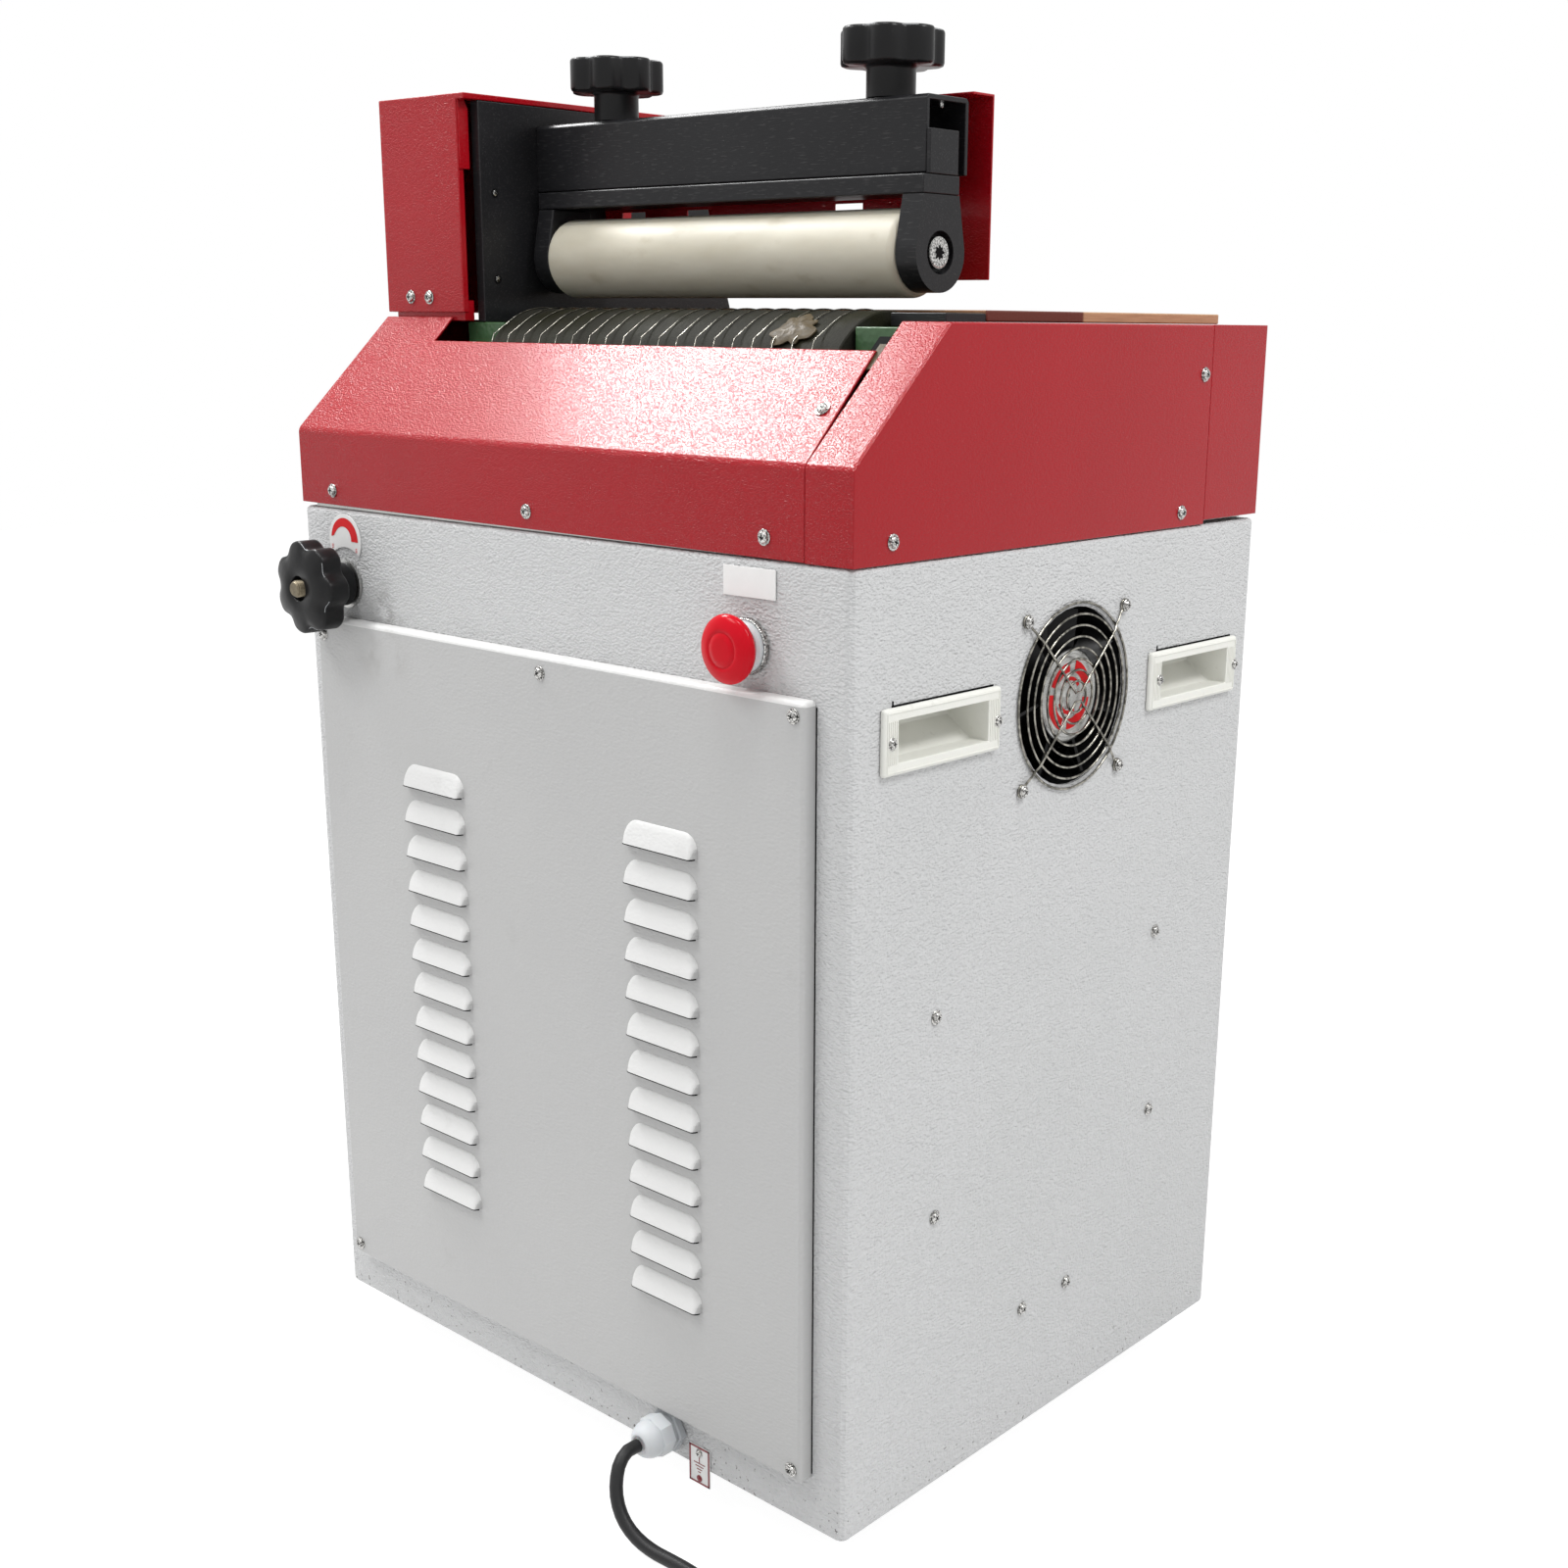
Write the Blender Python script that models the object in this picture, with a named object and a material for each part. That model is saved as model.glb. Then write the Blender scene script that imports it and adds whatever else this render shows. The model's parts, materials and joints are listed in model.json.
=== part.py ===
"""Hot melt gluing machine, bench type, 300 mm working width.

Glue is melted in a trough under a steel roller. The work goes in over the table at the back, between
the glue roller and the nylon press roller, and comes out over the sloping red cover at the front, where
fine wires lift it off the glue roller. The star knob at the front moves the doctor blade, which sets the
glue thickness, and the two knobs on the arm set the height of the press roller.

The machine is modelled in its cabinet's frame: X along the front, Y from the front face to the back,
Z up from the cabinet's underside. The empty named machine puts that frame on the floor, with the origin
at the middle of the floor area. Sizes are in metres.
"""

import math

import bmesh
import bpy
import numpy as np
from mathutils import Matrix, Vector

# Driving dimensions
CABINET_WIDTH = 0.515
CABINET_DEPTH = 0.425
CABINET_HEIGHT = 0.602
FOOT_HEIGHT = 0.030
CLEAR = 0.0003
OVERRUN = 0.004
SHEET = 0.0015
SMALL_EDGE = 0.0015

# Cabinet
CABINET_WALL = 0.002
CABINET_CORNER = 0.006
CABINET_FLANGE = 0.020
BASE_THICKNESS = 0.002
FOOT_RADIUS = 0.016
FOOT_TAPER = 0.002
FOOT_INSET_X = 0.045
FOOT_INSET_Y = 0.052

# Louvred door
DOOR_LEFT_MARGIN = 0.0227
DOOR_RIGHT_MARGIN = 0.026
DOOR_BOTTOM = 0.0359
DOOR_TOP_MARGIN = 0.0744
DOOR_DEPTH = 0.010
DOOR_EDGE_ROUND = 0.003
DOOR_LAP = 0.020
LOUVRE_COLUMN_X = 0.1117
LOUVRE_WIDTH = 0.0626
LOUVRE_HEIGHT = 0.0150
LOUVRE_PITCH = 0.0251
LOUVRE_ROWS = 13
LOUVRE_FIRST_Z = 0.1210
LOUVRE_PROUD = 0.0060
LOUVRE_SKIN = 0.0011
LOUVRE_ROOT = 0.0004
LOUVRE_ARCH_SHARES = ((-1.0, 0.0), (-0.93, 0.62), (-0.78, 1.0), (0.78, 1.0), (0.93, 0.62), (1.0, 0.0))
LOUVRE_ROW_SHARES = ((0.0, 1.0, 1.0), (1.0, 0.90, 0.10))

# Side handles
HANDLE_LENGTH = 0.108
HANDLE_HEIGHT = 0.039
HANDLE_PROUD = 0.004
HANDLE_HOLE_LENGTH = 0.0834
HANDLE_HOLE_HEIGHT = 0.0246
HANDLE_DEPTH = 0.028
HANDLE_WALL = 0.002
HANDLE_LIP_DEPTH = 0.010
HANDLE_DROP = 0.099
HANDLE_FRONT_Y = 0.078
HANDLE_REAR_Y = 0.350

# Fan
FAN_Y = 0.2118
FAN_DROP = 0.0970
FAN_SIZE = 0.119
FAN_DEPTH = 0.025
FAN_BORE_RADIUS = 0.0565
FAN_TIP_GAP = 0.0020
FAN_HUB_RADIUS = 0.030
FAN_HUB_DEPTH = 0.0155
FAN_MOTOR_DEPTH = 0.008
FAN_STRUT_WIDTH = 0.006
FAN_BLADES = 7
FAN_BLADE_THICKNESS = 0.0018
FAN_BLADE_CHORD = 0.020
FAN_BLADE_ANGLE = math.radians(38.0)
FAN_SCREW_SPACING = 0.1048
GUARD_OUTER_RADIUS = 0.059
GUARD_INNER_RADIUS = 0.010
GUARD_RINGS = 8
GUARD_WIRE = 0.0010
GUARD_PROUD = 0.0062
GUARD_RIM_PROUD = 0.0036
GUARD_EYE_RADIUS = 0.0045
GUARD_EYE_THICKNESS = 0.0024

# Push button
BUTTON_INSET = 0.0775
BUTTON_DROP = 0.0497
BUTTON_HEAD_RADIUS = 0.0200
BUTTON_HEAD_THICKNESS = 0.0105
BUTTON_FRONT = 0.0235
BUTTON_DOME_DEPTH = 0.0050
BUTTON_DOME_SHARES = ((0.0, 0.42), (0.10, 0.64), (0.30, 0.82), (0.62, 0.94), (1.0, 1.0))
BUTTON_RIM = 0.0012
BUTTON_BACK_SHARE = 0.84
BUTTON_STEM_RADIUS = 0.0075
BUTTON_STEM_DEPTH = 0.018
BUTTON_TRAVEL = 0.004
BUTTON_COLLAR_RADIUS = 0.0150
BUTTON_COLLAR_PROUD = 0.0083
BUTTON_RING_RADIUS = 0.0158
BUTTON_RING_PROUD = 0.0040
BUTTON_BARREL_RADIUS = 0.0108
BUTTON_BLOCK_WIDTH = 0.030
BUTTON_BLOCK_HEIGHT = 0.040
BUTTON_BLOCK_DEPTH = 0.036
BUTTON_BARREL_DEPTH = 0.010
LABEL_WIDTH = 0.041
LABEL_HEIGHT = 0.017
LABEL_INSET = 0.0767
LABEL_DROP = 0.0135
PLATE_THICKNESS = 0.0008

# Knobs: a hub and a head with seven lobes
KNOB_LOBES = 7
KNOB_STEPS = 5
KNOB_LOBE_DEPTH_SHARE = 0.15
KNOB_DOME_SHARES = (0.60, 0.82)
KNOB_EDGE_SHARE = 0.14
KNOB_SEAT = 0.0030

# Glue thickness knob, its spindle and its dial plate
THICKNESS_INSET = 0.0495
THICKNESS_DROP = 0.0505
THICKNESS_HEAD_RADIUS = 0.0320
THICKNESS_HEAD_HEIGHT = 0.0165
THICKNESS_DOME = 0.0038
THICKNESS_HUB_RADIUS = 0.0148
THICKNESS_HUB_HEIGHT = 0.0175
THICKNESS_RECESS_RADIUS = 0.0085
THICKNESS_RECESS_DEPTH = 0.0045
SPINDLE_RADIUS = 0.004
SPINDLE_END_Y = 0.236
DIAL_RISE = 0.0297
DIAL_RADIUS = 0.0182
DIAL_ARCH_RADIUS = 0.0250
DIAL_STEPS = 24

# Earth tag and cord gland
TAG_X = 0.1331
TAG_WIDTH = 0.019
TAG_TOP_Z = 0.0170
TAG_BOTTOM_Z = -0.0108
GLAND_X = 0.1059
GLAND_Z = 0.0203
GLAND_LOCKNUT_RADIUS = 0.0155
GLAND_LOCKNUT_DEPTH = 0.006
GLAND_HEX_RADIUS = 0.0140
GLAND_HEX_DEPTH = 0.010
GLAND_DOME_DEPTH = 0.014
GLAND_MOUTH_RADIUS = 0.0068
GLAND_BARREL_RADIUS = 0.0095
GLAND_BARREL_DEPTH = 0.016
GLAND_DOME_SHARES = ((0.0, 1.0), (0.45, 0.90), (0.80, 0.70))

# Mains cord, in the cabinet's frame: it hangs from the gland, turns right on the floor and is coiled
CORD_DIAMETER = 0.0090
CORD_FLOOR_Z = -FOOT_HEIGHT + CORD_DIAMETER / 2.0
CORD_START_Y = -(GLAND_LOCKNUT_DEPTH + GLAND_HEX_DEPTH + GLAND_DOME_DEPTH + 2.0 * CLEAR)
CORD_ROUTE = (
    (GLAND_X, CORD_START_Y, GLAND_Z),
    (GLAND_X, CORD_START_Y - CORD_DIAMETER, GLAND_Z),
    (0.1075, -0.0480, 0.0160),
    (0.1110, -0.0545, 0.0055),
    (0.1165, -0.0583, -0.0045),
    (0.1245, -0.0598, -0.0140),
    (0.1355, -0.0595, -0.0210),
    (0.1490, -0.0582, -0.0248),
    (0.1650, -0.0568, CORD_FLOOR_Z),
    (0.1820, -0.0565, CORD_FLOOR_Z),
    (0.2000, -0.0585, CORD_FLOOR_Z),
    (0.2180, -0.0640, CORD_FLOOR_Z),
    (0.2350, -0.0740, CORD_FLOOR_Z),
    (0.2500, -0.0880, CORD_FLOOR_Z),
    (0.2610, -0.1050, CORD_FLOOR_Z),
    (0.2680, -0.1230, CORD_FLOOR_Z),
    (0.2710, -0.1420, CORD_FLOOR_Z),
    (0.2715, -0.1580, CORD_FLOOR_Z),
    (0.2715, -0.1680, CORD_FLOOR_Z),
)
CORD_STEP_DIAMETERS = 2.0
COIL_TURNS_PER_LAYER = 3
COIL_MEAN_RADIUS = 0.0495
COIL_PITCH = CORD_DIAMETER + 0.0006
COIL_POINTS_PER_TURN = 24
COIL_LAYERS = 2
COIL_CLIMB_TURNS = 0.5
COIL_TAIL = 0.048
PLUG_LENGTH = 0.042
PLUG_WIDTH = 0.036
PLUG_NECK_LENGTH = 0.018
PLUG_NECK_RADIUS = 0.0075
PLUG_EDGE = 0.004
PIN_LENGTH = 0.018
PIN_WIDTH = 0.0063
PIN_THICKNESS = 0.0016
PIN_OFFSET = 0.0079
PIN_SPREAD = math.radians(30.0)
PIN_UPPER_SHARE = 0.25
PIN_LOWER_SHARE = 0.50

# Red covers
COVER_BEND_RISE = 0.053
COVER_TOP_RISE = 0.129
COVER_TOP_Y = 0.080
COVER_SEAM_INSET = 0.0355
COVER_NOTCH_INSET = 0.0745
COVER_NOTCH_RISE = 0.113
COVER_SEAM_MARGIN = 0.0685
REAR_COVER_LIFT = 0.003
FRONT_COVER_LEFT_LIFT = 0.0028
FRONT_COVER_RIGHT_LIFT = 0.0006

# Deck over the cabinet
DECK_THICKNESS = 0.003
DECK_INSET = 0.012
CHAIN_SLOT_HALF_WIDTH = 0.011
CHAIN_SLOT_MARGIN = 0.008
BLADE_SLOT_MARGIN = 0.003

# Glue roller, its frames, trough and wires
GLUE_ROLLER_RADIUS = 0.057
GLUE_ROLLER_Y = 0.125
GLUE_ROLLER_TOP_RISE = 0.135
GLUE_ROLLER_LEFT_INSET = 0.116
GLUE_ROLLER_RIGHT_INSET = 0.0823
GLUE_ROLLER_EDGE = 0.0008
JOURNAL_RADIUS = 0.015
JOURNAL_GAP = 0.0006
JOURNAL_LEFT_INSET = 0.0215
JOURNAL_RIGHT_INSET = 0.0385
FRAME_TOP_RISE = 0.1257
FRAME_FRONT_Y = 0.092
FRAME_REAR_MARGIN = 0.095
FRAME_LEFT_WIDTH = 0.0381
FRAME_RIGHT_INSET = 0.0359
FRAME_ROLLER_GAP = 0.0017
TROUGH_GAP = 0.005
TROUGH_WALL = 0.006
TROUGH_END_WALL = 0.004
TROUGH_TOP_RISE = 0.098
TROUGH_FLOOR = 0.0055
TROUGH_END_GAP = 0.0009
TROUGH_BEND_SHARE = 0.5
TROUGH_INSET_SHARE = 0.35
WIRE_RADIUS = 0.0005
WIRE_COUNT = 19
WIRE_LEFT_MARGIN = 0.003
WIRE_RIGHT_MARGIN = 0.0194
WIRE_KINK_Y = 0.0800
WIRE_KINK_RISE = 0.1179
WIRE_FOOT_Y = 0.0778
WIRE_FOOT_RISE = 0.112
WIRE_ARC_STEPS = 9
WIRE_SIDES = 3
COMB_RAIL_WIDTH = 0.008
COMB_RAIL_HEIGHT = 0.006
COMB_REAR_RAIL_Y = 0.176
COMB_REAR_RAIL_RISE = 0.114
COMB_FRONT_RAIL_Y = 0.0655

# Doctor blade and its carrier
BLADE_RISE = 0.102
BLADE_THICKNESS = 0.004
BLADE_GAP = 0.0014
BLADE_BACK_Y = 0.214
CARRIER_THICKNESS = 0.008
CARRIER_INSET = 0.0165
CARRIER_WIDTH = 0.040
CARRIER_ARM_BOTTOM_DROP = 0.028
CARRIER_ARM_TOP_DROP = 0.005
CARRIER_NUT_WIDTH = 0.022
CARRIER_NUT_LENGTH = 0.018

# Drive
MOTOR_Y = 0.150
MOTOR_DROP = 0.112
GEARBOX_SIZE = 0.080
GEARBOX_INSET = 0.0775
GEARBOX_LENGTH = 0.070
MOTOR_RADIUS = 0.036
MOTOR_LENGTH = 0.130
MOTOR_SHAFT_RADIUS = 0.007
MOTOR_SHAFT_DEPTH = 0.030
BRACKET_THICKNESS = 0.004
BRACKET_HOLE_RADIUS = 0.012
SPROCKET_WIDTH = 0.007
SPROCKET_INSET = 0.0335
CHAIN_PITCH = 0.009525
ROLLER_SPROCKET_TEETH = 18
MOTOR_SPROCKET_TEETH = 12
SPROCKET_TOOTH_DEPTH = 0.003
CHAIN_THICKNESS = 0.006
CHAIN_RUNNING_GAP = 0.0004
CHAIN_STEPS = 20

# Column, side plate and arm
SIDE_PLATE_INSET = 0.0955
SIDE_PLATE_THICKNESS = 0.008
SIDE_PLATE_FRONT_Y = 0.092
SIDE_PLATE_REAR_MARGIN = 0.095
SIDE_PLATE_TOP_GAP = 0.0041
SIDE_PLATE_CHAMFER = 0.012
COLUMN_INSET = 0.0013
COLUMN_FRONT_Y = 0.080
COLUMN_REAR_MARGIN = 0.087
COLUMN_BOTTOM_RISE = 0.132
COLUMN_TOP_RISE = 0.2735
COLUMN_FLANGE = 0.005
COLUMN_GAP_X = 0.0003
ARM_FRONT_Y = 0.1421
ARM_WIDTH = 0.0397
ARM_BOTTOM_RISE = 0.2132
ARM_TOP_RISE = 0.2565
ARM_WALL = 0.003
ARM_INSET = 0.0713
ARM_EDGE = 0.002

# Press roller carriage
BAR_FRONT_Y = 0.1365
BAR_WIDTH = 0.0340
BAR_THICKNESS = 0.0108
BAR_ARM_GAP = 0.0010
EAR_THICKNESS = 0.0157
EAR_RADIUS = 0.0230
EAR_STEPS = 28
EAR_INSET = 0.068
EAR_PLATE_GAP = 0.0069
PRESS_ROLLER_RADIUS = 0.0260
PRESS_ROLLER_GAP = 0.0006
PRESS_ROLLER_EDGE = 0.004
PRESS_AXIS_RISE = 0.1685
AXLE_RADIUS = 0.006
AXLE_HEAD_RADIUS = 0.0092
AXLE_COUNTERBORE_RADIUS = 0.0125
AXLE_HEAD_DEPTH = 0.005
AXLE_HEAD_SINK = 0.001
GUIDE_HEIGHT = 0.0250
GUIDE_SIDE_GAP = 0.0005
GUIDE_WIDTH = 0.0233

# Pressure knobs and their screws
PRESSURE_KNOB_LEFT_GAP = 0.061
PRESSURE_KNOB_RIGHT_GAP = 0.0441
PRESSURE_KNOB_NAMES = ("left", "right")
PRESSURE_HEAD_RADIUS = 0.0318
PRESSURE_HEAD_HEIGHT = 0.021
PRESSURE_HUB_RADIUS = 0.0150
PRESSURE_HUB_HEIGHT = 0.0185
PRESSURE_SCREW_RADIUS = 0.005
PRESSURE_SCREW_DEPTH = 0.036
PRESSURE_BORE_DEPTH = 0.022

# Guard behind the arm
GUARD_SHEET_Y = 0.2045
GUARD_BOTTOM_RISE = 0.154
GUARD_TOP_RISE = 0.261
GUARD_FLANGE = 0.0205
GUARD_INSET = 0.0708
GUARD_TAB_DEPTH = 0.024
GUARD_TAB_INSET = 0.014
GUARD_SLOT_SHARES = (0.085, 0.276, 0.670)
GUARD_SLOT_RISE = 0.197
GUARD_SLOT_LENGTH = 0.024
GUARD_SLOT_HEIGHT = 0.010

# Table
TABLE_LEFT_GAP = 0.0005
TABLE_FRONT_Y = 0.158
TABLE_REAR_MARGIN = 0.005
TABLE_THICKNESS = 0.0065
RAIL_INSET = 0.0775
RAIL_FRONT_Y = 0.120
RAIL_THICKNESS = 0.008

# Control panel at the back
PANEL_WIDTH = 0.300
PANEL_BOTTOM_DROP = 0.202
PANEL_TOP_DROP = 0.042
PANEL_THICKNESS = 0.003
PANEL_LAP = 0.020
PANEL_KNOB_X = 0.090
PANEL_KNOB_DROP = 0.132
PANEL_KNOB_LENGTH = 0.018
PANEL_STEM_RADIUS = 0.003
PANEL_STEM_DEPTH = 0.010
POWER_KNOB_RADIUS = 0.012
SPEED_KNOB_RADIUS = 0.015
POINTER_REACH_SHARE = 0.75
DISPLAY_SIZE = 0.048
DISPLAY_PROUD = 0.005
DISPLAY_BODY = 0.044
DISPLAY_DEPTH = 0.070
DISPLAY_DROP = 0.102

# Places worked out from the sizes above
HALF_WIDTH = CABINET_WIDTH / 2.0
DOOR_LEFT = -HALF_WIDTH + DOOR_LEFT_MARGIN
DOOR_RIGHT = HALF_WIDTH - DOOR_RIGHT_MARGIN
DOOR_TOP = CABINET_HEIGHT - DOOR_TOP_MARGIN
HANDLE_Z = CABINET_HEIGHT - HANDLE_DROP
FAN_Z = CABINET_HEIGHT - FAN_DROP
BUTTON_X = HALF_WIDTH - BUTTON_INSET
BUTTON_Z = CABINET_HEIGHT - BUTTON_DROP
LABEL_X = HALF_WIDTH - LABEL_INSET
LABEL_Z = CABINET_HEIGHT - LABEL_DROP
THICKNESS_X = -HALF_WIDTH + THICKNESS_INSET
THICKNESS_Z = CABINET_HEIGHT - THICKNESS_DROP
COVER_BEND_Z = CABINET_HEIGHT + COVER_BEND_RISE
COVER_TOP_Z = CABINET_HEIGHT + COVER_TOP_RISE
COVER_SEAM_X = HALF_WIDTH - COVER_SEAM_INSET
COVER_NOTCH_LEFT = -HALF_WIDTH + COVER_NOTCH_INSET
COVER_NOTCH_Z = CABINET_HEIGHT + COVER_NOTCH_RISE
COVER_SEAM_Y = CABINET_DEPTH - COVER_SEAM_MARGIN
GLUE_ROLLER_TOP_Z = CABINET_HEIGHT + GLUE_ROLLER_TOP_RISE
GLUE_ROLLER_LEFT = -HALF_WIDTH + GLUE_ROLLER_LEFT_INSET
GLUE_ROLLER_RIGHT = HALF_WIDTH - GLUE_ROLLER_RIGHT_INSET
JOURNAL_LEFT = -HALF_WIDTH + JOURNAL_LEFT_INSET
JOURNAL_RIGHT = HALF_WIDTH - JOURNAL_RIGHT_INSET
FRAME_TOP_Z = CABINET_HEIGHT + FRAME_TOP_RISE
FRAME_REAR_Y = CABINET_DEPTH - FRAME_REAR_MARGIN
FRAME_RIGHT_END = HALF_WIDTH - FRAME_RIGHT_INSET
TROUGH_TOP_Z = CABINET_HEIGHT + TROUGH_TOP_RISE
WIRE_KINK_Z = CABINET_HEIGHT + WIRE_KINK_RISE
WIRE_FOOT_Z = CABINET_HEIGHT + WIRE_FOOT_RISE
COMB_REAR_RAIL_Z = CABINET_HEIGHT + COMB_REAR_RAIL_RISE
BLADE_Z = CABINET_HEIGHT + BLADE_RISE
CARRIER_ARM_BOTTOM_Z = CABINET_HEIGHT - CARRIER_ARM_BOTTOM_DROP
CARRIER_ARM_TOP_Z = CABINET_HEIGHT - CARRIER_ARM_TOP_DROP
MOTOR_Z = CABINET_HEIGHT - MOTOR_DROP
GEARBOX_LEFT = -HALF_WIDTH + GEARBOX_INSET
SPROCKET_X = -HALF_WIDTH + SPROCKET_INSET
SIDE_PLATE_RIGHT = -HALF_WIDTH + SIDE_PLATE_INSET
SIDE_PLATE_REAR_Y = CABINET_DEPTH - SIDE_PLATE_REAR_MARGIN
COLUMN_LEFT = -HALF_WIDTH + COLUMN_INSET
COLUMN_REAR_Y = CABINET_DEPTH - COLUMN_REAR_MARGIN
COLUMN_BOTTOM_Z = CABINET_HEIGHT + COLUMN_BOTTOM_RISE
COLUMN_TOP_Z = CABINET_HEIGHT + COLUMN_TOP_RISE
SIDE_PLATE_TOP_Z = COLUMN_TOP_Z - SIDE_PLATE_TOP_GAP
ARM_BOTTOM_Z = CABINET_HEIGHT + ARM_BOTTOM_RISE
ARM_TOP_Z = CABINET_HEIGHT + ARM_TOP_RISE
ARM_RIGHT = HALF_WIDTH - ARM_INSET
EAR_RIGHT = HALF_WIDTH - EAR_INSET
PRESS_AXIS_Z = CABINET_HEIGHT + PRESS_AXIS_RISE
GUARD_BOTTOM_Z = CABINET_HEIGHT + GUARD_BOTTOM_RISE
GUARD_TOP_Z = CABINET_HEIGHT + GUARD_TOP_RISE
GUARD_RIGHT = HALF_WIDTH - GUARD_INSET
GUARD_SLOT_Z = CABINET_HEIGHT + GUARD_SLOT_RISE
TABLE_REAR_Y = CABINET_DEPTH - TABLE_REAR_MARGIN
RAIL_LEFT = HALF_WIDTH - RAIL_INSET
PANEL_BOTTOM_Z = CABINET_HEIGHT - PANEL_BOTTOM_DROP
PANEL_TOP_Z = CABINET_HEIGHT - PANEL_TOP_DROP
PANEL_KNOB_Z = CABINET_HEIGHT - PANEL_KNOB_DROP
DISPLAY_Z = CABINET_HEIGHT - DISPLAY_DROP
DIAL_Z = THICKNESS_Z + DIAL_RISE
WIRE_FIRST_X = GLUE_ROLLER_LEFT + WIRE_LEFT_MARGIN
WIRE_LAST_X = GLUE_ROLLER_RIGHT - WIRE_RIGHT_MARGIN
WIRE_PITCH = (WIRE_LAST_X - WIRE_FIRST_X) / (WIRE_COUNT - 1)
CARRIER_LEFT = GLUE_ROLLER_LEFT + CARRIER_INSET
CARRIER_RIGHT = CARRIER_LEFT + CARRIER_WIDTH
PRESSURE_KNOB_X = (SIDE_PLATE_RIGHT + PRESSURE_KNOB_LEFT_GAP, ARM_RIGHT - PRESSURE_KNOB_RIGHT_GAP)
GLUE_ROLLER_Z = GLUE_ROLLER_TOP_Z - GLUE_ROLLER_RADIUS
FRAME_LEFT_END = GLUE_ROLLER_LEFT - FRAME_ROLLER_GAP
FRAME_RIGHT_START = GLUE_ROLLER_RIGHT + FRAME_ROLLER_GAP
DECK_Z = CABINET_HEIGHT + CLEAR
DECK_TOP_Z = DECK_Z + DECK_THICKNESS
COVER_BOTTOM_Z = CABINET_HEIGHT + CLEAR
ARM_AXIS_Y = ARM_FRONT_Y + ARM_WIDTH / 2.0
BAR_TOP_Z = ARM_BOTTOM_Z - BAR_ARM_GAP
BAR_BOTTOM_Z = BAR_TOP_Z - BAR_THICKNESS
PRESS_AXIS_Y = BAR_FRONT_Y + BAR_WIDTH / 2.0
EAR_RIGHT_INNER = EAR_RIGHT - EAR_THICKNESS
EAR_LEFT = SIDE_PLATE_RIGHT + EAR_PLATE_GAP
EAR_LEFT_INNER = EAR_LEFT + EAR_THICKNESS
KNOB_PROUD = KNOB_SEAT + THICKNESS_HUB_HEIGHT + THICKNESS_HEAD_HEIGHT + THICKNESS_DOME
PANEL_REAR_Y = CABINET_DEPTH + CLEAR + PANEL_THICKNESS
REAR_REACH = PANEL_REAR_Y + CLEAR + PANEL_KNOB_LENGTH
MACHINE_X = -(GUARD_PROUD - HANDLE_PROUD) / 2.0
MACHINE_Y = -(REAR_REACH - KNOB_PROUD) / 2.0
MACHINE_PLACE = (MACHINE_X, MACHINE_Y, FOOT_HEIGHT)
ROUND_STEPS = 32
SMALL_ROUND_STEPS = 20
MEDIUM_ROUND_STEPS = 24
SMALL_HOLE_STEPS = 12
ROLLER_STEPS = 48
SHARP_ANGLE = math.radians(35.0)


def clear_scene():
    for old in list(bpy.data.objects):
        bpy.data.objects.remove(old, do_unlink=True)


def make_material(name, colour, roughness, metallic=0.0):
    material = bpy.data.materials.new(name)
    material.use_nodes = True
    shader = material.node_tree.nodes["Principled BSDF"]
    shader.inputs["Base Color"].default_value = (*colour, 1.0)
    shader.inputs["Roughness"].default_value = roughness
    shader.inputs["Metallic"].default_value = metallic
    return material


def add_loft(bm, loops, closed=False):
    """A closed solid through loops of as many points each. closed joins the last loop to the first."""
    rings = [[bm.verts.new(point) for point in loop] for loop in loops]
    count = len(rings[0])
    pairs = list(zip(rings, rings[1:]))
    if closed:
        pairs.append((rings[-1], rings[0]))
    for lower, upper in pairs:
        for index in range(count):
            after = (index + 1) % count
            bm.faces.new((lower[index], lower[after], upper[after], upper[index]))
    if not closed:
        bm.faces.new(list(reversed(rings[0])))
        bm.faces.new(rings[-1])


def add_box(bm, low, high):
    (x0, y0, z0), (x1, y1, z1) = low, high
    lower = [(x0, y0, z0), (x1, y0, z0), (x1, y1, z0), (x0, y1, z0)]
    upper = [(x0, y0, z1), (x1, y0, z1), (x1, y1, z1), (x0, y1, z1)]
    add_loft(bm, [lower, upper])


def on_axis(axis, along, across, up):
    """A point from its place along an axis and its two places across it."""
    if axis == "X":
        return (along, across, up)
    if axis == "Y":
        return (across, along, up)
    return (across, up, along)


def add_prism(bm, outline, axis, start, end):
    """An outline across an axis, pulled along it. X takes (y, z), Y takes (x, z) and Z takes (x, y)."""
    add_loft(bm, [[on_axis(axis, place, a, b) for a, b in outline] for place in (start, end)])


def circle(centre, radius, steps, turn=0.0):
    points = []
    for index in range(steps):
        angle = turn + 2.0 * math.pi * index / steps
        points.append((centre[0] + radius * math.cos(angle), centre[1] + radius * math.sin(angle)))
    return points


def add_turned(bm, axis, centre, profile, steps=ROUND_STEPS, turn=0.0, ring=False):
    """Rings of the profile's (place along the axis, radius). ring closes the profile round a bore."""
    loops = []
    for along, radius in profile:
        loops.append([on_axis(axis, along, a, b) for a, b in circle(centre, radius, steps, turn)])
    add_loft(bm, loops, closed=ring)


def add_ring_prism(bm, outer, inner, axis, start, end):
    """A band between two outlines of as many points each, pulled along an axis."""
    loops = []
    for outline, place in ((outer, start), (outer, end), (inner, end), (inner, start)):
        loops.append([on_axis(axis, place, a, b) for a, b in outline])
    add_loft(bm, loops, closed=True)


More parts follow.
